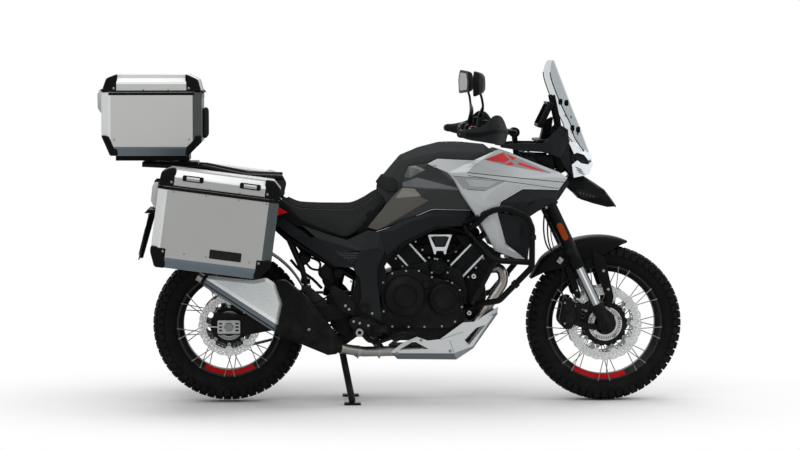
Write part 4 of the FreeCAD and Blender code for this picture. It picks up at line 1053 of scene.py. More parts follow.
SEAT_COVER = Finish("seat cover", "2b2c2c", roughness=0.9, grain=Grain.LEATHER, relief=0.4, tone=0.08,
    wear=0.0, dust=0.0, sheen=0.0)
THREAD = Finish("seat thread", "4a4c4f", roughness=0.8, relief=0.6, wear=0.0)
RED_PAINT = Finish("red paint", "b80f14", roughness=0.4, sheen=0.15, grain=Grain.METALLIC, relief=0.08,
    wear=0.05, dust=0.0)
REFLECTOR = Finish("orange reflector", "8a350a", roughness=0.3, sheen=0.15, grain=Grain.METALLIC, relief=0.1)
RED_LENS = Finish("red lens", "8e0f12", roughness=0.16, coat=0.8, grain=Grain.METALLIC, relief=0.1)
AMBER_LENS = Finish("amber lens", "c8690f", roughness=0.16, coat=0.8, grain=Grain.METALLIC, relief=0.1)
DISPLAY_GLASS = Finish("display glass", "0a0c0f", roughness=0.3, grain=Grain.METALLIC, relief=0.02, tone=0.03,
    wear=0.0, sheen=0.0)
MIRROR_GLASS = Finish("mirror glass", "7b7e80", metallic=1.0, roughness=0.05, grain=Grain.METALLIC,
    relief=0.02, tone=0.02, wear=0.0)
LAMP_WHITE = Finish("lamp reflector", "eef4fa", roughness=0.15, coat=0.4, grain=Grain.METALLIC,
    relief=0.05, tone=0.08)
SMOKE = Clear("light smoked screen", "cdd1d3", roughness=0.0, index=1.0)
LAMP_GLASS = Clear("lamp glass", "f2f7fb", roughness=0.02)


# ---------------------------------------------------------------- pieces
CREASE = 32.0                                # degrees of turn past which an edge stays sharp
PAD_STEPS = 20                               # frames of the cloth simulation
NODES: dict[str, bpy.types.Object] = {}      # the frame's own shapes
HOMES: dict[str, tuple[str, str]] = {}       # body and material slot of each node


def read_frame(frame: dict) -> None:
    """Note each node's own shape, its body and its material slot.

    Args:
        frame: the loaded frame.
    """
    NODES.update(frame["nodes"])
    record = frame["record"]
    slots = {part["node"]: part["material_slot"] for part in record["subparts"]}
    for body, names in record["behaviour"]["bodies"].items():
        HOMES.update({name: (body, slots[name]) for name in names})


def new_object(name: str, form: Form, crease: float = CREASE) -> bpy.types.Object:
    """Mesh object from a form, in metres at the origin.

    Args:
        name: of the object and its mesh.
        form: shape in millimetres.
        crease: edges that turn by more than this many degrees stay sharp.

    Returns:
        The object, in the scene.
    """
    mesh = bpy.data.meshes.new(name)
    mesh.vertices.add(len(form.points))
    mesh.vertices.foreach_set("co", np.ascontiguousarray(form.points * MM, np.float32).ravel())
    corners = np.concatenate([block.ravel() for block in form.faces])
    sizes = np.concatenate([np.full(len(block), block.shape[1]) for block in form.faces])
    mesh.loops.add(len(corners))
    mesh.loops.foreach_set("vertex_index", corners.astype(np.int32))
    mesh.polygons.add(len(sizes))
    mesh.polygons.foreach_set("loop_start", np.concatenate([[0], np.cumsum(sizes)[:-1]]).astype(np.int32))
    mesh.update(calc_edges=True)
    mesh.validate()
    mesh.shade_smooth()
    mesh.set_sharp_from_angle(angle=math.radians(crease))
    made = bpy.data.objects.new(name, mesh)
    bpy.context.scene.collection.objects.link(made)
    return made


def dress(made: bpy.types.Object, finish: Finish | Clear, stands_for: str, body: str = "", slot: str = ""
          ) -> None:
    """Give an object its material and the body it rides on, and hide the node that it stands for.

    Args:
        made: the object.
        finish: of its surface.
        stands_for: the node that it stands for.
        body: that it rides on, if not the node's.
        slot: material slot of the record, if not the node's; not used.
    """
    home = HOMES[stands_for]
    body, slot = body or home[0], slot or home[1]
    made.data.materials.clear()
    made.data.materials.append(finish.material())
    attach(made, body)
    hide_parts(stands_for)
    LOG.info("%s on %s: %d faces", made.name, body, len(made.data.polygons))


def piece(name: str, form: Form, finish: Finish | Clear, stands_for: str, bevel: float = 0.0,
          crease: float = CREASE, subdivide: int = 0, body: str = "", slot: str = "") -> bpy.types.Object:
    """Finished piece.

    Args:
        name: in plain words.
        form: shape in millimetres.
        finish: of its surface.
        stands_for: the node that it stands for, whose body it takes.
        bevel: width in millimetres of rounded edges, or none.
        crease: edges that turn by more than this many degrees stay sharp.
        subdivide: levels of subdivision.
        body: that it moves with, if not the node's.
        slot: material slot of the record, if not the node's; not used.

    Returns:
        The object.
    """
    made = new_object(name, form, crease)
    if bevel:
        soften(made, bevel, crease)
    if subdivide:
        finer = made.modifiers.new("finer", "SUBSURF")
        finer.levels = finer.render_levels = subdivide
    dress(made, finish, stands_for, body, slot)
    return made


def swollen(form: Form, voxel: float = 6.0, cap: float = 6.0, shrink: float = 3.0) -> Form:
    """A filled pad's surface: the form drawn in, remeshed, then blown up as cloth.

    A point follows the cloth from where it starts, and by no more than the cap.

    Args:
        form: closed shape of the pad, in millimetres.
        voxel: side of the remeshed faces.
        cap: farthest that a point may move.
        shrink: depth that the start lies below the form.

    Returns:
        The swollen surface as four-sided faces.
    """
    pad = new_object("pad_at_work", form, 180.0)
    inward = pad.modifiers.new("inward", "DISPLACE")
    inward.mid_level, inward.strength = 0.0, -shrink * MM
    remesh = pad.modifiers.new("even faces", "REMESH")
    remesh.mode, remesh.voxel_size = "VOXEL", voxel * MM
    start_mesh = bpy.data.meshes.new_from_object(pad.evaluated_get(bpy.context.evaluated_depsgraph_get()))
    pad.modifiers.clear()
    pad.data = start_mesh
    start = positions(start_mesh)
    cloth = pad.modifiers.new("cloth", "CLOTH")
    cloth.settings.use_pressure = True
    cloth.settings.uniform_pressure_force = 4.0
    cloth.settings.effector_weights.gravity = 0.0
    cloth.point_cache.frame_start, cloth.point_cache.frame_end = 1, PAD_STEPS
    for step in range(1, PAD_STEPS + 1):
        bpy.context.scene.frame_set(step)
    blown = positions(pad.evaluated_get(bpy.context.evaluated_depsgraph_get()).data)
    bpy.context.scene.frame_set(1)
    path = blown - start
    far = np.linalg.norm(path, axis=1, keepdims=True)
    points = start + path * np.minimum(1.0, cap / np.maximum(far, 1e-9))
    corners = np.empty(len(start_mesh.loops), np.int32)
    start_mesh.loops.foreach_get("vertex_index", corners)
    LOG.info("pad of %d faces, moved %.1f mm at most", len(start_mesh.polygons),
        float(np.minimum(far, cap).max()))
    bpy.data.objects.remove(pad)
    bpy.data.meshes.remove(start_mesh)
    return Form(points, [corners.reshape(-1, 4)])


def positions(mesh: bpy.types.Mesh) -> Array:
    """A mesh's vertices in millimetres, one in each row.

    Args:
        mesh: to read.

    Returns:
        (n, 3) points.
    """
    flat = np.empty(len(mesh.vertices) * 3, np.float32)
    mesh.vertices.foreach_get("co", flat)
    return flat.reshape(-1, 3).astype(float) / MM


def laid(path: Array, form: Form, lift: float, reach: float = 5.0) -> Array:
    """Path laid on a form: each point takes the weighted mean y of the form's points near it on its own side.

    Args:
        path: (n, 3) points beside the form's side.
        form: that the path lies on.
        lift: distance outside the surface.
        reach: of the Gaussian weights.

    Returns:
        The path with new y values.
    """
    near = form.points[np.sign(form.points[:, 1]) == np.sign(path[0, 1])]
    squared = ((path[:, None, :] - near[None]) ** 2 * (1.0, 0.15, 1.0)).sum(2)
    weight = np.exp(-(squared - squared.min(1, keepdims=True)) / (2.0 * reach ** 2))
    across = (weight * near[:, 1]).sum(1) / weight.sum(1)
    return np.stack([path[:, 0], across + np.sign(path[0, 1]) * lift, path[:, 2]], 1)


def soften(made: bpy.types.Object, width: float, crease: float = CREASE) -> None:
    """Rounded edges, of a width in millimetres, where faces turn by more than the crease angle.

    Args:
        made: object that is rounded.
        width: of the rounded edges.
        crease: least turn between faces, in degrees.
    """
    edges = made.modifiers.new("rounded edges", "BEVEL")
    edges.width = width * MM
    edges.segments = 2
    edges.limit_method = "ANGLE"
    edges.angle_limit = math.radians(crease)
    edges.harden_normals = True


def refined(name: str, finish: Finish | Clear, bevel: float) -> None:
    """Softened copy of a node's own shape: loose triangles merged, flat faces rejoined, edges rounded.

    Args:
        name: of the node, which the copy stands for.
        finish: of its surface.
        bevel: width of the rounded edges in millimetres, or none.
    """
    source = NODES[name]
    mesh = source.data.copy()
    mesh.transform(source.matrix_world)
    mesh.name = name + "_shape"
    work = bmesh.new()
    work.from_mesh(mesh)
    bmesh.ops.remove_doubles(work, verts=work.verts, dist=0.00002)
    bmesh.ops.dissolve_limit(work, angle_limit=math.radians(0.6), verts=work.verts, edges=work.edges)
    bmesh.ops.recalc_face_normals(work, faces=work.faces)
    work.to_mesh(mesh)
    work.free()
    mesh.shade_smooth()
    sharp = 30.0
    mesh.set_sharp_from_angle(angle=math.radians(sharp))
    made = bpy.data.objects.new(name + "_shape", mesh)
    bpy.context.scene.collection.objects.link(made)
    if bevel:
        soften(made, bevel, sharp)
    dress(made, finish, name)


# ---------------------------------------------------------------- stage
@dataclass
class Stage:
    """Camera, floor and light."""

    camera_at: tuple[float, float, float] = (-0.444, -11.70, 1.460)
    yaw: float = 0.0412          # radians towards +X
    pitch: float = 0.0617        # radians down
    lens: float = 126.2
    sky: float = 0.50            # strength of the world on the object

    def build(self) -> None:
        """Make the camera, the floor, the world and the lamps."""
        self.camera()
        self.floor()
        self.world()
        self.lamp("key_light", (-2.2, -5.5, 4.6), (4.0, 3.0), 115.0)
        self.lamp("front_light", (4.5, -2.5, 3.6), (3.0, 3.0), 55.0)
        self.lamp("top_light", (0.0, 0.4, 5.4), (5.0, 3.0), 95.0)
        self.lamp("back_light", (-1.0, 5.5, 4.0), (4.0, 3.0), 70.0)

    def camera(self) -> None:
        """Camera at the rider's right, a little behind the middle and looking slightly down."""
        data = bpy.data.cameras.new("camera")
        data.lens = self.lens
        data.clip_end = 100
        seen = bpy.data.objects.new("camera", data)
        seen.location = self.camera_at
        seen.rotation_euler = (math.pi / 2 - self.pitch, 0, -self.yaw)
        bpy.context.scene.collection.objects.link(seen)
        bpy.context.scene.camera = seen

    @staticmethod
    def seen_rays(tree: bpy.types.NodeTree) -> bpy.types.NodeSocket:
        """One for rays from the camera, a reflection or a window, and nothing for light on the object.

        Args:
            tree: that it goes in.

        Returns:
            The socket.
        """
        rays = node(tree, "LightPath")
        seen = maths(tree, "ADD", rays.outputs["Is Camera Ray"], rays.outputs["Is Glossy Ray"], clamp=True)
        return maths(tree, "ADD", seen, rays.outputs["Is Transmission Ray"], clamp=True)

    def floor(self) -> None:
        """Pale floor: plain near the motorcycle, where it takes the shadow, and white further off."""
        side = 40.0
        steps = np.linspace(-side, side, 3)
        x, y = np.meshgrid(steps, steps, indexing="ij")
        grid = np.stack([x, y, np.zeros_like(x)], -1) / MM
        made = new_object("floor", net(grid).flipped())
        material = bpy.data.materials.new("pale floor")
        material.use_nodes = True
        tree = material.node_tree
        tree.nodes.clear()
        plain = node(tree, "BsdfDiffuse", {"Color": (0.93, 0.93, 0.93, 1)})
        white = node(tree, "Emission", {"Color": (1, 1, 1, 1), "Strength": 1.0})
        place = node(tree, "TexCoord").outputs["Object"]
        flat = node(tree, "VectorMath", {0: place, 1: (0.42, 0.62, 0.0)}, operation="MULTIPLY").outputs[0]
        away = node(tree, "VectorMath", {0: flat}, operation="LENGTH").outputs["Value"]
        fade = node(tree, "MapRange", {"Value": away, "From Min": 0.35, "From Max": 0.95},
            interpolation_type="SMOOTHSTEP").outputs[0]
        share = maths(tree, "MULTIPLY", fade, self.seen_rays(tree))
        mixed = node(tree, "MixShader", {0: share, 1: plain.outputs[0], 2: white.outputs[0]})
        out = node(tree, "OutputMaterial", {"Surface": mixed.outputs[0]})
        out.is_active_output = True
        made.data.materials.append(material)

    def world(self) -> None:
        """Even world: white where it is seen or mirrored, and softer as light on the object."""
        world = bpy.data.worlds.new("studio")
        bpy.context.scene.world = world
        world.use_nodes = True
        tree = world.node_tree
        tree.nodes.clear()
        light = node(tree, "Background", {"Color": (1, 1, 1, 1), "Strength": self.sky})
        white = node(tree, "Background", {"Color": (1, 1, 1, 1), "Strength": 1.0})
        mixed = node(tree, "MixShader", {0: self.seen_rays(tree), 1: light.outputs[0], 2: white.outputs[0]})
        node(tree, "OutputWorld", {"Surface": mixed.outputs[0]})

    @staticmethod
    def lamp(name: str, spot: tuple[float, float, float], size: tuple[float, float], power: float) -> None:
        """Soft lamp aimed at the middle of the motorcycle.

        Args:
            name: of the lamp.
            spot: its place.
            size: its width and height.
            power: in watts.
        """
        data = bpy.data.lights.new(name, "AREA")
        data.shape = "RECTANGLE"
        data.size, data.size_y = size
        data.energy = power
        made = bpy.data.objects.new(name, data)
        made.location = spot
        made.rotation_euler = (Vector((0, 0, 0.6)) - Vector(spot)).to_track_quat("-Z", "Y").to_euler()
        bpy.context.scene.collection.objects.link(made)


# ---------------------------------------------------------------- wheels
FRONT_AXLE = (893.0, 326.0)
REAR_AXLE = (-675.0, 326.0)


@dataclass
class Wheel:
    """Tyre, spoked wheel and what turns with it.

    Attributes:
        end: front or rear.
        axle: (x, z) of the axle.
        radius: of the tyre over its blocks.
        width: of the tyre.
        bead: radius of the rim's bead seat.
        blocks: of tread in one turn.
        rows: of tread blocks on one side: middle, half width and half length in millimetres, then the
            shift along the turn and the skew, as shares of the pitch.
        hub: radius of the hub's barrel, its flanges' distance from the middle, and the flanges' radius.
        arcs: first and last angle of each coloured arc on the rim, in degrees above straight ahead.
    """

    end: str
    axle: tuple[float, float]
    radius: float
    width: float
    bead: float
    blocks: int
    rows: tuple[tuple[float, float, float, float, float], ...]
    hub: tuple[float, float, float]
    arcs: tuple[tuple[float, float], ...]
    block_height: float = 9.5
    spokes: int = 36

    @property
    def rim_half(self) -> float:
        """Half width of the rim."""
        return 0.34 * self.width

    def build(self) -> None:
        """Make every piece of the wheel."""
        tyre, wheel = self.end + "_tyre", self.end + "_wheel"
        start, out = self.spoke_ends()
        run = unit(out - start)
        piece(tyre + "_carcass", self.carcass(), RUBBER, tyre)
        piece(tyre + "_tread", self.tread(), RUBBER, tyre, crease=25)
        piece(self.end + "_rim", self.rim(), RIM_BLACK, wheel)
        piece(self.end + "_rim_lips", self.lips(), CHAIN_STEEL, wheel)
        piece(self.end + "_rim_arcs", self.stripes(), RED_PAINT, wheel)
        piece(self.end + "_hub", self.hub_body(), BLACK_CAST, wheel, bevel=1.0)
        piece(self.end + "_spokes", rods(start, out, 1.9), SPOKE_STEEL, wheel)
        piece(self.end + "_nipples", rods(out - run * 12, out + run * 2, 2.7), SPOKE_STEEL, wheel)

    def crown(self) -> Array:
        """Outer section of the carcass, (radius, y) from the right bead over the crown to the left one.

        Returns:
            (n, 2) rows.
        """
        r, h, b = self.radius - self.block_height, self.width / 2 - 1.5, self.bead
        depth = r - b
        half = np.array([(b + 5, 0.72 * h), (b + 0.16 * depth, 0.85 * h), (b + 0.36 * depth, 0.965 * h),
            (b + 0.56 * depth, 0.985 * h), (b + 0.76 * depth, 0.93 * h), (b + 0.9 * depth, 0.76 * h),
            (b + 0.975 * depth, 0.45 * h), (r, 0.0)])
        right = half * (1, -1)
        rows = smooth(np.vstack([right, half[-2::-1]]), 7)
        ridge = sum(np.exp(-((rows[:, 0] - b - share * depth) / 1.1) ** 2) for share in (0.2, 0.3, 0.42, 0.6))
        rows[:, 1] += np.sign(rows[:, 1]) * 0.9 * ridge
        return rows

    def carcass(self) -> Form:
        """Turned skin 7 mm thick: the outer section, then the inner one drawn in towards the axle.

        Returns:
            A closed form.
        """
        outer = self.crown()
        inner = outer[::-1] * (1, 0.88) - (7.0, 0.0)
        inner[:, 0] = np.maximum(inner[:, 0], self.bead + 2)
        return lathe(np.vstack([outer, inner]), self.axle, 144)

    def tread(self) -> Form:
        """Tread blocks.

        A block is a bevelled box in (u, v, w): u along the turn, v along the section from its crown and w
        outwards.  It is laid on the tyre at r(v) + n_r(v) w, y(v) + n_y(v) w and the angle u / radius.

        Returns:
            All the blocks as one form.
        """
        rows = self.crown()
        step = np.linalg.norm(np.diff(rows, axis=0), axis=1)
        length = np.concatenate([[0], np.cumsum(step)])
        length -= length[-1] / 2
        along = unit(np.gradient(rows, axis=0))
        normal = np.stack([along[:, 1], -along[:, 0]], 1)
        box = np.array([(-1, -1), (0, -1.04), (1, -1), (1.03, 0), (1, 1), (0, 1.04), (-1, 1), (-1.03, 0)])
        levels = np.array([(-3.0, 1.0), (self.block_height - 2.2, 1.0), (self.block_height, 0.84)])
        pitch = 2 * math.pi / self.blocks
        found = []
        for middle, half_width, half_length, shift, skew in self.rows:
            for side in (-1, 1):
                u = box[None, :, 0] * half_length * levels[:, 1:] - skew * half_width * box[None, :, 1] * side
                v = side * middle + box[None, :, 1] * half_width * levels[:, 1:]
                w = np.broadcast_to(levels[:, :1], u.shape)
                radius = np.interp(v, length, rows[:, 0]) + np.interp(v, length, normal[:, 0]) * w
                y = np.interp(v, length, rows[:, 1]) + np.interp(v, length, normal[:, 1]) * w
                turns = pitch * (np.arange(self.blocks)[:, None, None] + shift)
                angle = turns + u / self.radius
                points = np.stack([self.axle[0] + radius * np.cos(angle), np.broadcast_to(y, angle.shape),
                    self.axle[1] + radius * np.sin(angle)], -1)
                one = capped(np.zeros((3, 8, 3)))
                jump = np.arange(self.blocks)[:, None, None] * len(one.points)
                faces = [(block[None] + jump).reshape(-1, block.shape[1]) for block in one.faces]
                found.append(outward(Form(points.reshape(-1, 3), faces)))
        return merge(found)

    def rim(self) -> Form:
        """Turned rim: flanges, bead seats and a well, with a slanting face between flange and well.

        Returns:
            A closed form.
        """
        b, w = self.bead, self.rim_half
        outer = [(b + 9, w), (b + 9, w - 3), (b + 1, w - 5), (b, w - 14), (b - 14, w - 24), (b - 18, w - 28)]
        inner = [(b - 26, w - 26), (b - 24, w - 20), (b - 5, w - 7), (b - 5, w)]
        top = outer + [(r, -y) for r, y in outer[::-1]]
        bottom = [(r, -y) for r, y in inner[::-1]] + inner
        return lathe(top + bottom, self.axle, 128)

    def lips(self) -> Form:
        """Thin bright rings at the outer and inner edges of the rim's flanges.

        Returns:
            The rings of both sides.
        """
        ring = circle(0.8, 6)
        near = [lathe(ring + (r, self.rim_half), self.axle, 128) for r in (self.bead + 8.4, self.bead - 4.4)]
        return merge(near).both_sides()

    def stripes(self) -> Form:
        """Arcs of paint on the rim's slanting face, 0.7 mm thick.

        Returns:
            The arcs of both sides.
        """
        b, w = self.bead, self.rim_half
        a, c = np.array((b - 5.5, w - 7.4)), np.array((b - 24.0, w - 20.0))
        lift = unit(np.array((c[1] - a[1], a[0] - c[0]))) * 0.7
        strip = [a, c, c + lift, a + lift]
        arcs = [lathe(strip, self.axle, 40, first, last) for first, last in self.arcs]
        return merge(arcs).both_sides()

    def hub_body(self) -> Form:
        """Barrel with a spoke flange at each side.

        Returns:
            A closed form.
        """
        barrel, flange, reach = self.hub
        half = [(13, flange + 14), (barrel - 8, flange + 14), (barrel, flange + 4), (reach, flange + 3),
            (reach, flange - 3), (barrel, flange - 6), (barrel - 5, flange - 20)]
        rows = half + [(barrel - 7, 0)] + [(r, -y) for r, y in half[::-1]]
        return lathe(rows, self.axle, 64)

    def spoke_ends(self) -> tuple[Array, Array]:
        """Hub and rim end of each spoke: pairs on a side lean opposite ways round the hub.

        Returns:
            (n, 3) hub ends and (n, 3) rim ends.
        """
        _, flange, reach = self.hub
        index = np.arange(self.spokes)
        side = np.where(index % 2, 1.0, -1.0)
        lean = np.where(index // 2 % 2, 1.0, -1.0)
        at_rim = np.radians(360.0 / self.spokes * (index + 0.42 * lean))
        at_hub = at_rim + lean * math.radians(42)
        x, z = self.axle
        near, across = reach - 4, side * (flange + 1.5 * lean)
        start = np.stack([x + near * np.cos(at_hub), across, z + near * np.sin(at_hub)], 1)
        out = self.bead + 1
        end = np.stack([x + out * np.cos(at_rim), side * (self.rim_half + 0.5), z + out * np.sin(at_rim)], 1)
        return start, end


def wavy_ring(centre: tuple[float, float], outer: tuple[float, float, int], inner: tuple[float, float, int],
              y0: float, y1: float, holes: Sequence[tuple[float, float, int, float]] = ()) -> Form:
    """Brake disc: outer edge at R - d (1 - |cos(n a / 2)|), inner tabs at r - d max(0, 1 - 5.2 |a'|).

    Args:
        centre: (x, z) of the axle.
        outer: radius, depth and number of the waves of its outer edge.
        inner: radius, depth and number of the pointed tabs of its inner edge.
        y0: one face.
        y1: the other face.
        holes: radius of a ring of holes, radius of a hole, number, and first angle in degrees.

    Returns:
        The disc.
    """
    angle = np.linspace(0, 2 * math.pi, 288, endpoint=False)
    wave = outer[0] - outer[1] * (1 - np.abs(np.cos(outer[2] * angle / 2)))
    share = (angle * inner[2] / (2 * math.pi)) % 1
    tab = np.clip(1 - 5.2 * np.minimum(share, 1 - share), 0, 1)
    edge = inner[0] - inner[1] * tab
    loops = [np.stack([centre[0] + r * np.cos(angle), centre[1] + r * np.sin(angle)], 1)
        for r in (wave, edge)]
    for ring, radius, count, first in holes:
        spots = ring_spots(centre, ring, 0.0, count, first)[:, (0, 2)]
        loops += [spot + circle(radius, 6) for spot in spots]
    return holed(loops, y0, y1)


def slotted_ring(centre: tuple[float, float], inner: float, outer: float, y0: float, y1: float, slots: int
                 ) -> Form:
    """Flat ring with a row of radial slots.

    Args:
        centre: (x, z) of the axle.
        inner: radius of the opening.
        outer: radius of the ring.
        y0: one face.
        y1: the other face.
        slots: number of slots.

    Returns:
        The ring.
    """
    angle = np.linspace(0, 2 * math.pi, 96, endpoint=False)
    round_one = np.stack([np.cos(angle), np.sin(angle)], 1)
    loops = [np.array(centre) + round_one * outer, np.array(centre) + round_one * inner]
    low, high = inner + 0.3 * (outer - inner), inner + 0.82 * (outer - inner)
    middle = np.linspace(0, 2 * math.pi, slots, endpoint=False)[:, None]
    half = 0.45 * math.pi / slots
    turn = middle + np.array([-half, half, half, -half])
    reach = np.array([low, low, high, high])
    loops += list(np.stack([centre[0] + reach * np.cos(turn), centre[1] + reach * np.sin(turn)], -1))
    return holed(loops, y0, y1)


def dress_front_wheel(axle: tuple[float, float]) -> None:
    """Front discs with their carriers, buttons, slotted rings and the axle's caps.

    Args:
        axle: (x, z) of the axle.
    """
    holes = ((146.0, 2.6, 48, 0.0), (137.5, 2.6, 48, 3.75), (129.0, 2.6, 48, 0.0))
    disc = wavy_ring(axle, (155, 4.5, 24), (121, 24, 10), -69.5, -64.5, holes)
    piece("front_disc_rotors", disc.both_sides(), DISC_STEEL, "front_brake_discs", crease=20)
    carrier = wavy_ring(axle, (97, 9, 10), (70, 8, 5), -70, -62)
    arms = [carrier, slotted_ring(axle, 18, 48, -66, -60, 6)]
    piece("front_disc_carriers", merge(arms).both_sides(), BLACK_CAST, "front_brake_discs", bevel=0.8)
    ring = slotted_ring(axle, 46, 71, -73, -70.5, 48)
    piece("front_sensor_rings", ring.both_sides(), DISC_STEEL, "front_brake_discs", crease=20)
    buttons = bolts(ring_spots(axle, 98, -70, 10), 8.5, 3.5)
    small = bolts(ring_spots(axle, 66, -73, 5, 20), 7.0, 3.5)
    piece("front_disc_buttons", (buttons + small).both_sides(), BRIGHT_STEEL, "front_brake_discs")


def dress_rear_wheel(axle: tuple[float, float]) -> None:
    """Rear disc at the right, sprocket and its carrier at the left.

    Args:
        axle: (x, z) of the axle.
    """
    holes = ((119.5, 2.6, 40, 0.0), (111.5, 2.6, 40, 4.5), (103.5, 2.6, 40, 0.0))
    disc = wavy_ring(axle, (128, 4, 20), (97, 20, 8), -89, -84, holes)
    piece("rear_disc_rotor", disc, DISC_STEEL, "rear_brake_disc", crease=20)
    carrier = wavy_ring(axle, (80, 6, 8), (44, 5, 4), -90, -82)
    piece("rear_disc_carrier", carrier, BLACK_CAST, "rear_brake_disc", bevel=0.8)
    piece("rear_sensor_ring", slotted_ring(axle, 44, 60, -92, -90, 44), STEEL, "rear_brake_disc", crease=20)
    buttons = bolts(ring_spots(axle, 79, -89, 8), 8, 3)
    piece("rear_disc_buttons", buttons, BRIGHT_STEEL, "rear_brake_disc")
    angle = np.linspace(0, 2 * math.pi, 42 * 8, endpoint=False)
    tooth = np.clip(1.3 * np.cos(42 * angle), -1, 1)
    loops = [np.stack([axle[0] + r * np.cos(angle), axle[1] + r * np.sin(angle)], 1)
        for r in (113.5 + 4 * tooth, np.full(len(angle), 58.0))]
    loops += [spot[[0, 2]] + circle(13, 16) for spot in ring_spots(axle, 86, 0, 10, 18)]
    piece("rear_sprocket_teeth", holed(loops, 96, 102), CHAIN_STEEL, "rear_sprocket", crease=25)
    nuts = bolts(ring_spots(axle, 68, 102, 5), 8, 5, (0, 1, 0))
    hub = lathe([(30, 60), (70, 60), (74, 70), (74, 92), (66, 96), (30, 96)], axle, 48)
    piece("rear_sprocket_hub", hub + nuts, BLACK_CAST, "rear_sprocket", bevel=1.0)


# ---------------------------------------------------------------- fork and cockpit
RAKE = math.radians(25.5)
FORK_UP = np.array((-math.sin(RAKE), 0.0, math.cos(RAKE)))
FORK_AHEAD = np.array((math.cos(RAKE), 0.0, math.sin(RAKE)))


def on_fork(up: Sequence[float] | float, y: float = -105.0, ahead: float = 0.0) -> Array:
    """Point beside the fork: axle + up along the leg + ahead across it, at a side y."""
    start = np.array((FRONT_AXLE[0], y, FRONT_AXLE[1]))
    return start + np.multiply.outer(up, FORK_UP) + ahead * FORK_AHEAD


def fork_sleeve(profile: Sequence[Sequence[float]], sides: int = 32) -> Form:
    """Turned piece about the right fork leg, from (distance up the leg, radius) rows."""
    rows = np.asarray(profile, float)
    return sweep(on_fork(rows[:, 0]), circle(1.0, sides), rows[:, 1], (0, 1, 0))


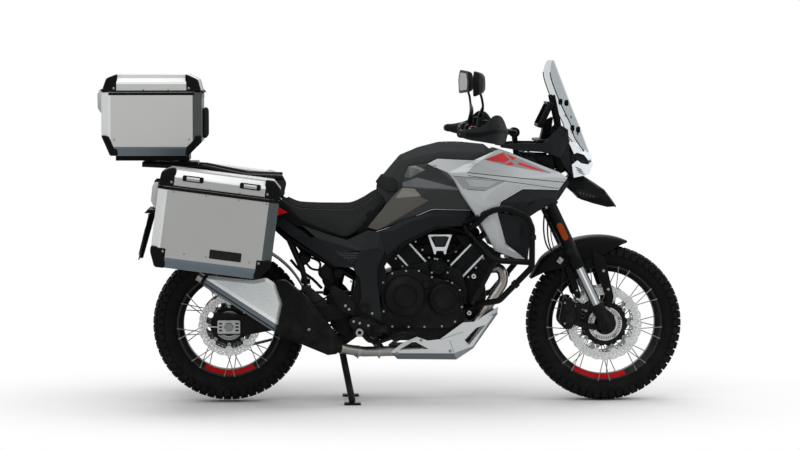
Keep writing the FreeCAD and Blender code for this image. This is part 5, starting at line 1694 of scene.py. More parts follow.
@dataclass
class Fork:
    """Fork legs and tubes, clamps, calipers and front mudguard; all of it steers.

    Attributes:
        stanchion: distances up the leg of the bright tube's ends, and its radius.
        caliper: y of the outer faces of the right caliper's outer half.
        reflector: distance up the leg and y of the reflector.
        skin: thickness of the mudguard.
        hose: radius of the brake hose.
        lead: radius of the sensor lead.
    """

    stanchion: tuple[float, float, float] = (70.0, 268.0, 21.5)
    caliper: tuple[float, float] = (-97.0, -75.5)
    reflector: tuple[float, float] = (432.0, -134.0)
    skin: float = 3.0
    hose: float = 3.4
    lead: float = 2.2

    def build(self) -> None:
        """Make every piece of the fork."""
        self.legs()
        self.clamps()
        self.calipers()
        self.mudguard()
        self.hoses()

    def legs(self) -> None:
        """Bright stanchions with painted reflection bands, black outer tubes and cast feet."""
        low, high, radius = self.stanchion
        stanchion = fork_sleeve([(low, radius), (high, radius)]).both_sides()
        # Painted reflections on the stanchions' chrome: a bright strip, a dark band and a grey band along
        # each tube.
        stripes = []
        for colour, a, b in (("e4e6e8", -3, 4), ("3c3e41", -24, -15), ("5a5d60", 14, 24)):
            corners = (on_fork(60, 0, a), on_fork(280, 0, a), on_fork(280, 0, b), on_fork(60, 0, b))
            stripes.append(Zone(colour, tuple((p[0], p[2]) for p in corners)))
        chrome = Finish("fork chrome with painted reflections", "8f9294", metallic=0.6, roughness=0.2, grain=Grain.METALLIC,
            relief=0.05, tone=0.03, wear=0.0, dust=0.0, zones=tuple(stripes))
        piece("fork_stanchions", stanchion, chrome, "fork_legs")
        outer = fork_sleeve([(262, 22.2), (262, 25.5), (266, 28.5), (300, 28.5), (304, 30), (312, 30),
            (316, 28.5), (520, 28), (620, 28), (640, 26.8), (783, 26.8), (786, 25), (786, 4)])
        piece("fork_outer_tubes", outer.both_sides(), BLACK_PAINT, "fork_tubes")
        foot = fork_sleeve([(-30, 4), (-33, 20), (-24, 28), (20, 29.5), (34, 26), (60, 26), (64, 29),
            (90, 29), (94, 26), (94, 21.6)])
        cap = lathe([(4, -134), (16, -134), (18, -131), (18, -128), (31, -126), (33, -123), (33, -88),
            (4, -88)], FRONT_AXLE, 36)
        lug = plate(eased([(905, 318), (932, 330), (926, 368), (880, 400), (872, 372)], 10), -124, -88, 4)
        piece("fork_feet", merge([foot, cap, lug]).both_sides(), BLACK_CAST, "fork_legs")
        axle = lathe([(4, -128), (12.5, -128), (12.5, 128), (4, 128)], FRONT_AXLE, 24)
        recess = bolts([(893, -134, 326)], 12, 3)
        piece("front_axle", axle + recess.both_sides(), BLACK_CAST, "fork_legs")
        clip = fork_sleeve([(336, 28.2), (336, 29.2), (356, 29.2), (356, 28.2)])
        piece("fork_band", clip.both_sides(), BLACK_CAST, "fork_tubes")
        oval = np.insert(circle(13.0, 20), 1, 0.0, axis=1)
        oval[:, 2] += np.where(oval[:, 2] > 0, 26, -26)
        shape = np.array([oval * (s, 1, s) + (0, y, 0) for s, y in ((1, 3), (1, -3), (0.85, -4.5))])
        shape[-1, :, 2] = np.sign(shape[-1, :, 2]) * (np.abs(shape[-1, :, 2]) + 3)
        reflector = capped(shape).turned(-25.5).moved(*on_fork(*self.reflector))
        piece("fork_reflectors", reflector.both_sides(), REFLECTOR, "fork_tubes")

    def clamps(self) -> None:
        """Triple clamps softened from their own shape, with bolts and top caps."""
        refined("triple_clamps", BLACK_CAST, 2.0)
        spots = on_fork([552, 568, 743, 758], -137, -18)
        cap = fork_sleeve([(786, 4), (786, 20), (795, 19), (797, 17), (797, 4)], 24)
        piece("clamp_bolts", (bolts(spots, 6, 5) + cap).both_sides(), STEEL, "triple_clamps")

    def calipers(self) -> None:
        """Radial calipers: two bevelled halves, a bridge, an arm to the foot, bolts and a pad pin."""
        outline = eased([(702, 330), (722, 432), (752, 438), (766, 410), (770, 352), (752, 306),
            (722, 304)], 9)
        outer = plate(outline, *self.caliper, 5, 3)
        lobe = [lathe([(0.1, -103), (17, -103), (20, -100), (20, -94), (0.1, -94)], spot, 24)
            for spot in ((737, 398), (740, 346))]
        inner = plate(outline, -58, -50, 3)
        bridge = plate(eased([(700, 340), (716, 430), (730, 434), (716, 332)], 4), -80, -52, 3)
        arm = plate(eased([(752, 392), (800, 388), (866, 372), (872, 392), (806, 410), (760, 418)],
            8), -92, -80, 4)
        low = plate(eased([(742, 330), (790, 312), (850, 300), (884, 304), (880, 322), (800, 334),
            (756, 352)], 8), -92, -80, 4)
        web = plate(eased([(768, 392), (770, 344), (790, 340), (796, 388)], 5), -89, -82, 2)
        shape = merge([outer, *lobe, inner, bridge, arm, low, web]).both_sides()
        piece("front_caliper_bodies", shape, BLACK_CAST, "front_brake_calipers")
        spots = [(722, -97, 330), (722, -97, 416), (756, -97, 428), (764, -92, 402), (760, -97, 318)]
        pins = rods([(714, -92, 372)], [(766, -92, 372)], 3.4)
        piece("front_caliper_bolts", (bolts(spots, 5.5, 4) + pins).both_sides(), BRIGHT_STEEL,
            "front_brake_calipers")

    def mudguard(self) -> None:
        """Front mudguard: a curved skin with a crowned top, a guard before each leg and a brace behind it.

        The skin runs from a lower edge up its side, over the crown and down, through the stations below.
        """
        stations = np.array([            # x and z of the top, x and z of the lower edge, half width
            (584, 516, 586, 511, 34), (612, 566, 618, 530, 56), (640, 606, 650, 545, 66),
            (699, 647, 706, 558, 73), (757, 675, 770, 574, 75), (815, 688, 820, 590, 75),
            (869, 692, 865, 607, 73), (915, 689, 915, 632, 65), (955, 680, 955, 652, 51),
            (989, 667, 986, 662, 22)])
        share = np.array([(1.0, 0.0), (1.0, 0.45), (0.96, 0.78), (0.72, 0.94), (0.36, 0.985), (0.0, 1.0)])
        share = np.vstack([share * (-1, 1), share[-2::-1]])
        low, top, half = stations[:, 2:4], stations[:, 0:2], stations[:, 4]
        side = low[:, None] + share[None, :, 1:] * (top - low)[:, None]
        grid = np.stack([side[..., 0], half[:, None] * share[None, :, 0], side[..., 1]], -1)
        piece("front_mudguard_skin", skin(patch(grid, 5, 3)[::-1], self.skin), BLACK_PLASTIC,
            "front_mudguard", crease=50)
        guard = plate(eased([(834, 634), (886, 606), (898, 556), (924, 441), (910, 392), (894, 400),
            (890, 440), (862, 520), (838, 598)], 7), -119, -113, 2.5)
        rib = plate(eased([(846, 612), (876, 596), (888, 552), (908, 452), (898, 440), (872, 520)], 6),
            -121, -116, 2)
        brace = plate(eased([(722, 566), (752, 566), (790, 448), (786, 432), (764, 440)], 6), -98, -92, 2.5)
        tabs = plate(eased([(800, 592), (840, 600), (836, 560), (806, 556)], 5), -96, -70, 2)
        piece("front_mudguard_stays", merge([guard, rib, brace, tabs]).both_sides(), BLACK_PLASTIC,
            "front_mudguard")
        spots = bolts([(880, -121, 551), (900, -121, 474)], 6, 4) + bolts([(772, -98, 468)], 5, 4)
        piece("front_mudguard_bolts", spots.both_sides(), STEEL, "front_mudguard")

    def hoses(self) -> None:
        """Brake hose and sensor lead, held at the lower clamp, the mudguard's clip and the caliper."""
        hose = smooth([(666, -70, 860), (652, -84, 780), (650, -88, 700), (664, -86, 640), (700, -84, 590),
            (716, -84, 540), (708, -86, 480), (716, -88, 436)], 8)
        lead = smooth([(672, -64, 850), (664, -80, 770), (664, -84, 700), (676, -84, 646), (704, -82, 596),
            (722, -82, 530), (760, -84, 440), (800, -86, 404)], 8)
        piece("front_brake_hoses", tube(hose, self.hose, 8).both_sides(), GRIP_RUBBER, "front_mudguard",
            slot="black_rubber")
        piece("front_sensor_lead", tube(lead, self.lead, 8), GRIP_RUBBER, "front_mudguard",
            slot="black_rubber")
        clip = rounded_block((-11, -4, -13), (11, 3, 13), 2).turned(38).moved(703, -83, 592)
        piece("front_hose_clips", clip.both_sides(), STEEL, "front_mudguard")


@dataclass
class Cockpit:
    """Handlebar, grips, controls, hand guards and mirrors; all of it steers.

    Attributes:
        end: y of the bar's left tip.
        grip: distances in from the tip at which the grip's ribs start and end.
        rib: pitch of the ribs.
        shell: thickness of the hand guards.
        mirror_turn: degrees that the mirrors turn towards the rider.
    """

    end: float = 465.0
    grip: tuple[float, float] = (8.0, 120.0)
    rib: float = 5.0
    shell: float = 4.0
    mirror_turn: float = -13.0

    def build(self) -> None:
        """Make every piece on the handlebar."""
        refined("handlebar", BLACK_PAINT, 0.8)
        self.grips()
        self.controls()
        self.guards()
        self.mirrors()

    def on_bar(self, distance: Sequence[float] | float, up: float = 0.0, ahead: float = 0.0) -> Array:
        """Point on the bar's straight end, at a distance in from its tip.

        Args:
            distance: in from the tip, one or more.
            up: above the bar.
            ahead: of the bar.

        Returns:
            (3,) or (n, 3) points.
        """
        tip = np.array((266.0, -self.end, 1131.0))
        run = unit(np.array((372.0, -215.0, 1133.0)) - tip)
        return tip + np.multiply.outer(distance, run) + (ahead, 0, up)

    def bar_sleeve(self, profile: Sequence[Sequence[float]], sides: int = 28) -> Form:
        """Turned piece about the bar's end, from (distance in, radius) rows."""
        rows = np.asarray(profile, float)
        return sweep(self.on_bar(rows[:, 0]), circle(1.0, sides), rows[:, 1], (0, 0, 1))

    def grips(self) -> None:
        """Rubber grips: radius 15.4 + 0.9 of a rounded wave every 5 mm, between two collars."""
        run = np.linspace(*self.grip, 169)
        wave = 15.4 + 0.9 * np.clip(2.2 * np.cos(2 * math.pi * run / self.rib), -1, 1)
        rows = np.vstack([[(4, 11), (4, 15.5), (6, 17), (8, 17)], np.stack([run, wave], 1),
            [(121, 17.5), (126, 18), (129, 17), (129, 11)]])
        piece("grips_rubber", self.bar_sleeve(rows).both_sides(), GRIP_RUBBER, "handlebar_grips")

    def controls(self) -> None:
        """Switch blocks with buttons, lever perches with reservoirs, and the levers."""
        block = sweep(self.on_bar([134, 136, 150, 168, 177, 179]), eased([(-20, -22), (22, -22), (24, 12),
            (12, 24), (-14, 24), (-24, 10)], 8), np.array([0.82, 0.98, 1.0, 1.0, 0.95, 0.8]), (0, 0, 1))
        perch = self.bar_sleeve([(182, 12), (182, 17), (184, 18.5), (206, 18.5), (208, 17), (208, 12)])
        middle = self.on_bar(196)
        pot = sweep(middle + np.array([(38, 0, 8), (38, 0, 10), (38, 0, 40), (38, 0, 42), (38, 0, 48),
            (38, 0, 49)]), circle(18, 28), np.array([0.5, 0.95, 0.97, 1.08, 1.08, 1.0]), (0, 1, 0))
        arm = sweep(bend(middle + np.array([(14, 0, -2), (34, 0, 6), (40, 0, 16)]), 8), circle(7, 12),
            None, (0, 1, 0))
        shape = merge([block, perch, pot, arm]).both_sides()
        piece("control_housings", shape, BLACK_PLASTIC, "bar_controls", bevel=0.8)
        run = unit(self.on_bar(1) - self.on_bar(0))
        line = bend([middle + (17, 0, -8), middle - run * 32 + (46, 0, -8), middle - run * 110 + (50, 0, -12),
            middle - run * 172 + (42, 0, -10)], 24, 8)
        grow = np.interp(np.linspace(0, 1, len(line)), [0, 0.15, 0.9, 0.97, 1], [1.1, 1.0, 0.7, 1.1, 0.5])
        lever = sweep(line, circle(1.0, 12) * (4.0, 7.0), grow, (0, 0, 1))
        piece("levers", lever.both_sides(), BLACK_CAST, "bar_controls")
        red = rounded_block((-6, -5, 0), (6, 5, 7), 2).moved(*self.on_bar(150, 20, -4))
        piece("stop_switch", red, RED_PAINT, "bar_controls")
        keys = [rounded_block((-4, -7, 0), (5, 7, 4), 1.5).moved(*self.on_bar(d, u, -14))
            for d, u in ((168, 20), (144, 15))]
        strip = rounded_block((-2, -16, -2), (2, 16, 3), 1).moved(*self.on_bar(158, 8, -22))
        piece("switch_keys", merge(keys + [strip]).both_sides(), ALUMINIUM, "bar_controls")

    def guards(self) -> None:
        """Hand guards: a deep curved band round the levers with a folded deflector over it."""
        e = self.end
        rows = np.array([            # x, y, z of the lower edge, z of the fold, z of the upper edge
            (258, -e - 21, 1118, 1131, 1145), (300, -e - 18, 1106, 1128, 1150),
            (350, -e - 16, 1098, 1130, 1164), (396, -e - 6, 1090, 1140, 1202),
            (430, -e + 30, 1086, 1138, 1200), (453, -e + 88, 1094, 1132, 1168),
            (456, -e + 150, 1110, 1132, 1152), (446, -e + 176, 1120, 1132, 1146)])
        x, y, low, fold, high = rows.T
        out = unit(np.stack([np.gradient(y), -np.gradient(x)], 1)) * -1
        lift = np.array([-2.0, 2.5, 7.0, 3.0, -3.0])
        level = np.stack([low, (low + fold) / 2, fold, (fold + high) / 2, high], 1)
        grid = np.stack([x[:, None] - out[:, :1] * lift, y[:, None] - out[:, 1:] * lift, level], -1)
        dense = smooth(grid.reshape(len(rows), -1), 5).reshape(-1, 5, 3)
        dense[..., 1] = np.maximum(dense[..., 1], -489.0)
        shape = skin(dense, self.shell)
        arm = tube(bend([(446, -e + 150, 1140), (430, -e + 190, 1136), (404, -e + 206, 1131)], 14), 6)
        cap = self.bar_sleeve([(-17, 3), (-17, 12), (-14, 15.5), (2, 16.5), (4, 12)])
        piece("hand_guard_shells", merge([shape, arm, cap]).both_sides(), DARK_PLASTIC,
            "hand_guards", crease=28)
        spine = dense[3:-2, 1:4].mean(1)
        bar = sweep(spine - np.array((0, 3.0, 0)) * (spine[:, :1] < 420), circle(1, 8) * (3.5, 9.0),
            None, (0, 0, 1))
        bar.points[:, 1] = np.maximum(bar.points[:, 1], -489.8)
        piece("hand_guard_spines", bar.both_sides(), BLACK_PLASTIC, "hand_guards")
        ends = bolts([(262, -e - 17, 1131)], 7, 5, (0.3, -1, 0)) + bolts([(356, -e - 24, 1132)], 5,
            3, (0.1, -1, 0))
        ends.points[:, 1] = np.maximum(ends.points[:, 1], -489.5)
        piece("hand_guard_bolts", ends.both_sides(), BRIGHT_STEEL, "hand_guards")

    def mirrors(self) -> None:
        """Mirrors: six-sided domed backs, glass set into them, curved stems and tapered boots."""
        rim = np.array([(-322, 1288), (-462, 1280), (-474, 1340), (-448, 1382), (-334, 1376), (-314, 1330)])
        rim = eased(rim, 12, 4)
        middle = rim.mean(0)
        levels = ((1.0, 320), (1.0, 326), (0.97, 332), (0.86, 343), (0.6, 352), (0.25, 355))
        rings = []
        for share, x in levels:
            edge = middle + (rim - middle) * share
            rings.append(np.insert(edge, 0, x, axis=1))
        back = capped(rings)
        foot, top = self.on_bar(196) + (4, 4, 22), np.array((346.0, -388.0, 1296.0))
        line = smooth([foot, foot + (9, 8, 50), (358, -376, 1236), (354, -382, 1268), top], 7)
        boot = np.interp(np.linspace(0, 1, len(line)), [0, 0.1, 0.42, 0.5, 1], [2.2, 2.1, 1.45, 1.0, 1.0])
        stem = tube(line, 5.0, 14, boot)
        pivot = (336, -394, 1330)
        back = back.turned(self.mirror_turn, pivot, (0, 0, 1)).moved(8)
        piece("mirror_backs", (back + stem).both_sides(), BLACK_PLASTIC, "mirrors", crease=22)
        edge = middle + (rim - middle) * 0.78
        glass = capped([np.insert(edge, 0, x, axis=1) for x in (321, 318.5)])
        glass = glass.turned(self.mirror_turn, pivot, (0, 0, 1)).moved(8)
        piece("mirror_glasses", glass.both_sides(), MIRROR_GLASS, "mirrors")


# ---------------------------------------------------------------- nose
@dataclass
class Nose:
    """Cowl, headlight, screen, display and beak, all fixed to the frame.

    Attributes:
        beak_wall: thickness of the beak.
        screen_wall: thickness of the windscreen.
        screen_top: highest z of the windscreen's middle surface.
        display_at: middle of the display.
    """

    beak_wall: float = 4.0
    screen_wall: float = 3.5
    screen_top: float = 1423.1
    display_at: tuple[float, float, float] = (640.0, 0.0, 1198.0)

    def build(self) -> None:
        """Make every piece of the nose."""
        self.beak()
        self.headlight()
        self.cowl()
        self.screen()
        self.display()

    def beak(self) -> None:
        """Beak: two facets a side that meet at a ridge, a lighter upper face and a set-in panel."""
        rows = [                     # x, z, y
            (712, 915, -56), (743, 944, -50), (804, 940, -46), (895, 880, -30), (944, 813, -10),
            (906, 811, -24), (845, 827, -40), (788, 846, -53), (764, 871, -59), (800, 884, -61),
            (880, 848, -42)]
        side = faceted(rows, 9, ((0, 9), (9, 10), (10, 4), (9, 2)), (), self.beak_wall)
        top = np.array([[(x, y, z + rise) for y, rise in ((-w, 0), (-0.5 * w, 3), (0, 5), (0.5 * w, 3),
            (w, 0))] for x, z, w in ((712, 915, 56), (743, 943, 50), (804, 939, 46), (850, 910, 39),
            (895, 879, 30), (925, 840, 20), (944, 813, 10))])
        piece("beak_sides", side.both_sides(), BLACK_PLASTIC, "front_beak", bevel=1.5, crease=8)
        piece("beak_top", skin(top, self.beak_wall), DARK_PLASTIC, "front_beak", crease=25)
        under = np.array([[(x, y, z) for y in (-w, 0, w)] for x, z, w in ((766, 872, 57), (790, 848, 51),
            (845, 829, 38), (906, 813, 22), (942, 812, 8))])
        piece("beak_under", skin(under, -3), BLACK_PLASTIC, "front_beak")
        panel = [(768, 886, -62), (796, 888, -62.5), (852, 862, -52), (868, 850, -46), (802, 850, -57),
            (776, 868, -61)]
        edge = tube([(741, -52, 926), (832, -43, 918), (909, -27, 857), (943, -11, 810)], 1.4, 6)
        dots = merge(lathe([(0.1, -1.5), (3, -1.5), (3.5, 0.5), (0.1, 0.5)], (0, 0), 12).moved(x, y, z)
            for x, y, z in ((788, -63, 872), (802, -61.5, 869), (816, -59.5, 865), (830, -57, 861),
            (844, -54, 857)))
        piece("beak_panels", faceted(panel, 6, (), (), 2).both_sides(), BLACK_GLOSS, "front_beak", bevel=0.5)
        piece("beak_lines", (edge + dots).both_sides(), CHAIN_STEEL, "front_beak")

    def headlight(self) -> None:
        """Headlight: a deep housing, an upper blade lamp and a lower reflector behind faceted lenses."""
        shell_rows = [               # x, z, y
            (708, 1128, -92), (735, 1083, -104), (746, 946, -90), (700, 1010, -106), (690, 1060, -108),
            (720, 1060, -108)]
        side = faceted(shell_rows, 5, ((4, 5), (5, 1), (5, 2)), (), 5)
        piece("headlight_housing", side.both_sides(), DARK_PLASTIC, "headlight", bevel=1.5, crease=8)
        bowl = plate(eased([(700, 1120), (733, 1080), (760, 1056), (800, 1040), (824, 1000), (822, 965),
            (798, 944), (750, 938), (700, 1000)], 5), -84, 84, 8)
        piece("headlight_bowl", bowl, BLACK_GLOSS, "headlight")
        wing = [(733, 1088, -106), (752, 1086, -103), (781, 1077, -94), (808, 1050, -84), (836, 1016, -76),
            (818, 1010, -88), (800, 1032, -95), (770, 1042, -100), (757, 1036, -104), (772, 1060, -100)]
        chin = [(748, 992, -106), (771, 1010, -102), (788, 998, -97), (818, 992, -87), (836, 1008, -78),
            (839, 988, -77), (823, 951, -80), (757, 937, -96), (790, 972, -92)]
        flank = merge([faceted(wing, 9, ((0, 9), (9, 3), (9, 6)), (), 4),
            faceted(chin, 8, ((0, 8), (8, 5)), (), 4)])
        piece("headlight_side_lamps", flank.both_sides(), LAMP_WHITE, "headlight", bevel=1.0, crease=3)
        rods_in = merge(rods([(x, -101, z)], [(x + 26, -94, z - 12)], 1.6, 6) for x, z in ((752, 1030),
            (760, 1022), (768, 1014), (764, 982), (770, 972), (776, 962)))
        piece("headlight_side_bars", rods_in.both_sides(), DARK_PLASTIC, "headlight")
        upper = np.array([           # rows down the face; columns from the right edge to the left one
            [(742, -88, 1080), (770, -48, 1068), (778, 0, 1064)],
            [(786, -84, 1057), (808, -46, 1052), (815, 0, 1050)],
            [(825, -72, 1036), (840, -38, 1028), (845, 0, 1026)],
            [(838, -66, 1008), (847, -34, 1003), (850, 0, 1001)]], float)
        lower = np.array([[(832, -62, 998), (845, -32, 994), (849, 0, 992)],
            [(826, -60, 968), (838, -30, 964), (841, 0, 962)],
            [(806, -56, 946), (820, -28, 943), (823, 0, 942)],
            [(768, -52, 938), (784, -26, 936), (788, 0, 936)]], float)
        for name, half in (("headlight_upper_lamp", upper), ("headlight_lower_lamp", lower)):
            grid = np.concatenate([half, half[:, -2::-1] * (1, -1, 1)], axis=1)
            grid[..., 0] -= 13.0
            piece(name, skin(grid, 5), LAMP_WHITE, "headlight", bevel=1.2, crease=6)
            cover = grid + (5.0, 0, 1.0)
            piece(name + "_glass", skin(cover, 2.5), LAMP_GLASS, "headlight", bevel=0.6, crease=6)
        line = np.array([(741, -90, 1004), (800, -82, 1004), (828, -66, 1003), (838, -34, 998),
            (841, 0, 996)])
        bar = tube(np.vstack([line, line[-2::-1] * (1, -1, 1)]), 4.0, 8)
        piece("headlight_bar", bar, BLACK_GLOSS, "headlight")

    def cowl(self) -> None:
        """Cowl arms: folded plates from the tank to the screen's foot, and a strut."""
        rows = [                     # x, z, y
            (447, 1080, -160), (500, 1081, -164), (534, 1084, -165), (622, 1083, -163), (664, 1122, -156),
            (701, 1156, -142), (730, 1138, -122), (736, 1084, -110), (700, 1020, -128), (664, 1034, -150),
            (622, 1046, -160), (534, 1052, -165), (447, 1066, -160), (664, 1078, -158), (700, 1090, -142)]
        arm = faceted(rows, 13, ((3, 13), (13, 10), (13, 14), (14, 7), (14, 5), (14, 8)), (), 6)
        piece("cowl_arms", arm.both_sides(), DARK_PLASTIC, "front_cowl", bevel=1.5, crease=6)
        bridge = rounded_block((602, -152, 1086), (662, 152, 1098), 5)
        strut = sweep(bend([(690, -60, 1060), (700, -64, 1150), (672, -62, 1280)], 20),
            eased([(-9, -3), (9, -3), (9, 3), (-9, 3)], 2), None, (0, 1, 0))
        inner = plate(eased([(664, 1040), (740, 1100), (748, 1010), (700, 960), (676, 1000)], 6), -92, -84, 3)
        piece("cowl_bridge", merge([bridge, (strut + inner).both_sides()]), BLACK_PLASTIC, "front_cowl")
        cheek = plate(eased([(520, 1050), (604, 1036), (664, 1034), (676, 968), (640, 972), (566, 1006)], 6),
            -128, -118, 3)
        piece("cowl_cheeks", cheek.both_sides(), BLACK_PLASTIC, "front_cowl")

    def screen(self) -> None:
        """Windscreen: a swept sheet whose edge folds back, and its two knobs and screws."""
        rows = np.array([            # z, x in the middle, x of the fold, x at the edge, half width
            (1040, 828, 822, 806, 80), (1076, 814, 802, 776, 122), (1111, 801, 788, 752, 150),
            (1160, 783, 770, 736, 166), (1200, 766, 754, 716, 172), (1260, 742, 730, 688, 172),
            (1321, 719, 707, 664, 166), (1365, 702, 691, 652, 156), (1400, 688, 679, 655, 138),
            (1425, 678, 672, 664, 100)], float)
        z, middle, fold, edge, half = rows.T
        x = np.stack([edge, (edge + fold) / 2 + 3, fold, (fold + middle) / 2 + 1, middle], 1)
        y = np.stack([-half, -0.84 * half, -0.62 * half, -0.3 * half, 0 * half], 1)
        right = np.stack([x, y, np.broadcast_to(z[:, None], x.shape)], -1)
        control = np.concatenate([right, right[:, -2::-1] * (1, -1, 1)], axis=1)
        tall = smooth(control.reshape(len(rows), -1), 4).reshape(-1, 9, 3)
        tall[..., 2] = np.minimum(tall[..., 2], self.screen_top)
        piece("windscreen_sheet", skin(tall, self.screen_wall), SMOKE, "windscreen", crease=9)
        trim = tube(tall[:30, 0], 2.2, 8)
        piece("windscreen_edges", trim.both_sides(), BLACK_PLASTIC, "windscreen")
        knobs = merge([lathe([(0.1, -8), (11, -8), (13, -5), (13, 4), (8, 8), (0.1, 8)], (0, 0), 20)
            .turned(90, axis=(0, 0, 1)).moved(*spot) for spot in ((772, -116, 1138), (722, -128, 1249))])
        piece("windscreen_knobs", knobs.both_sides(), BLACK_PLASTIC, "windscreen")
        piece("windscreen_screws", bolts([(770, -100, 1120), (742, -110, 1190)], 6, 4, (0.8, -0.5, 0.3))
            .both_sides(), STEEL, "windscreen")

    def display(self) -> None:
        """Upright display: a case with rounded corners, a glass face towards the rider and a stalk."""
        tilt = math.degrees(math.atan2(51, 104))
        case = rounded_block((-12, -90, -58), (12, 90, 58), 8).turned(tilt).moved(*self.display_at)
        hood = rounded_block((-17, -86, 46), (6, 86, 55), 4).turned(tilt).moved(*self.display_at)
        stalk = plate(eased([(622, 1092), (664, 1092), (676, 1190), (640, 1170)], 6), -38, 38, 3)
        piece("display_case", merge([case, hood, stalk]), BLACK_PLASTIC, "instrument_display")
        glass = rounded_block((-14, -80, -46), (-10, 80, 44), 1.5).turned(tilt).moved(*self.display_at)
        piece("display_glass", glass, DISPLAY_GLASS, "instrument_display")


# ---------------------------------------------------------------- bodywork
# Painted light and shade on the facets of the tank's side panels: each facet in its own grey, with a thin
# dark line (2b2d2f) across them.
SIDE_PANEL_LIGHT_ZONES = (
    Zone("3d3e3e", ((90, 996), (150, 1004), (300, 960), (290, 890), (243, 931))),
    Zone("46453f", ((38, 899), (148, 848), (-63, 722), (-110, 730), (0, 861))),
    Zone("6f6e69", ((44, 900), (92, 897), (118, 867), (13, 857))),
    Zone("55585a", ((42, 921), (101, 943), (268, 900), (281, 889), (44, 903))),
    Zone("2b2d2f", ((44, 906), (281, 892), (281, 887), (44, 900))),
    Zone("6a6b6a", ((67, 988), (95, 992), (243, 931), (268, 904), (73, 941), (38, 922))),
    Zone("474949", ((67, 988), (110, 976), (150, 930), (73, 941), (38, 922))),
)
# Painted shade on the silver fairings: facets in darker silvers (8a8e90, 999d9f, 909496, 7e8385, 94999b);
# then thin dark pinstripes, a darker grey band and the red marks on it.
SILVER_SHADE_AND_STRIPE_ZONES = (Zone("8a8e90", ((140, 1002), (185, 1024), (335, 1016), (440, 1062), (452, 1052), (335, 1000),
    (160, 1000))),
    Zone("999d9f", ((150, 1001), (334, 1001), (420, 1040), (330, 985), (200, 980))),
    Zone("909496", ((436, 1060), (508, 1040), (724, 950), (689, 964), (506, 1024))),
    Zone("7e8385", ((252, 947), (470, 932), (384, 892), (290, 897))),
    Zone("94999b", ((300, 938), (430, 928), (392, 906), (318, 908))),
    Zone("1b1c1d", ((305, 966.5), (722, 922.5), (722, 919.5), (305, 963))),
    Zone("2e3031", ((310, 954), (684, 898.5), (684, 896), (310, 951))),
    Zone("2e3031", ((248, 951), (404, 940.5), (404, 938), (248, 948))),
    Zone("2e3031", ((305, 896), (380, 892), (380, 889.5), (305, 893.5))),
    Zone("7c7f81", ((366, 1013), (459, 1049), (656, 962), (640, 955), (500, 984), (455, 996))),
    Zone("b80f14", ((378, 1016), (455, 1045), (484, 1017), (462, 1003))),
    Zone("b80f14", ((463, 997), (488, 1008), (502, 996), (483, 993))),
    Zone("b80f14", ((469, 1041), (512, 1021), (493, 1014))),
    Zone("b80f14", ((524, 1007), (643, 964), (571, 978), (514, 997))))


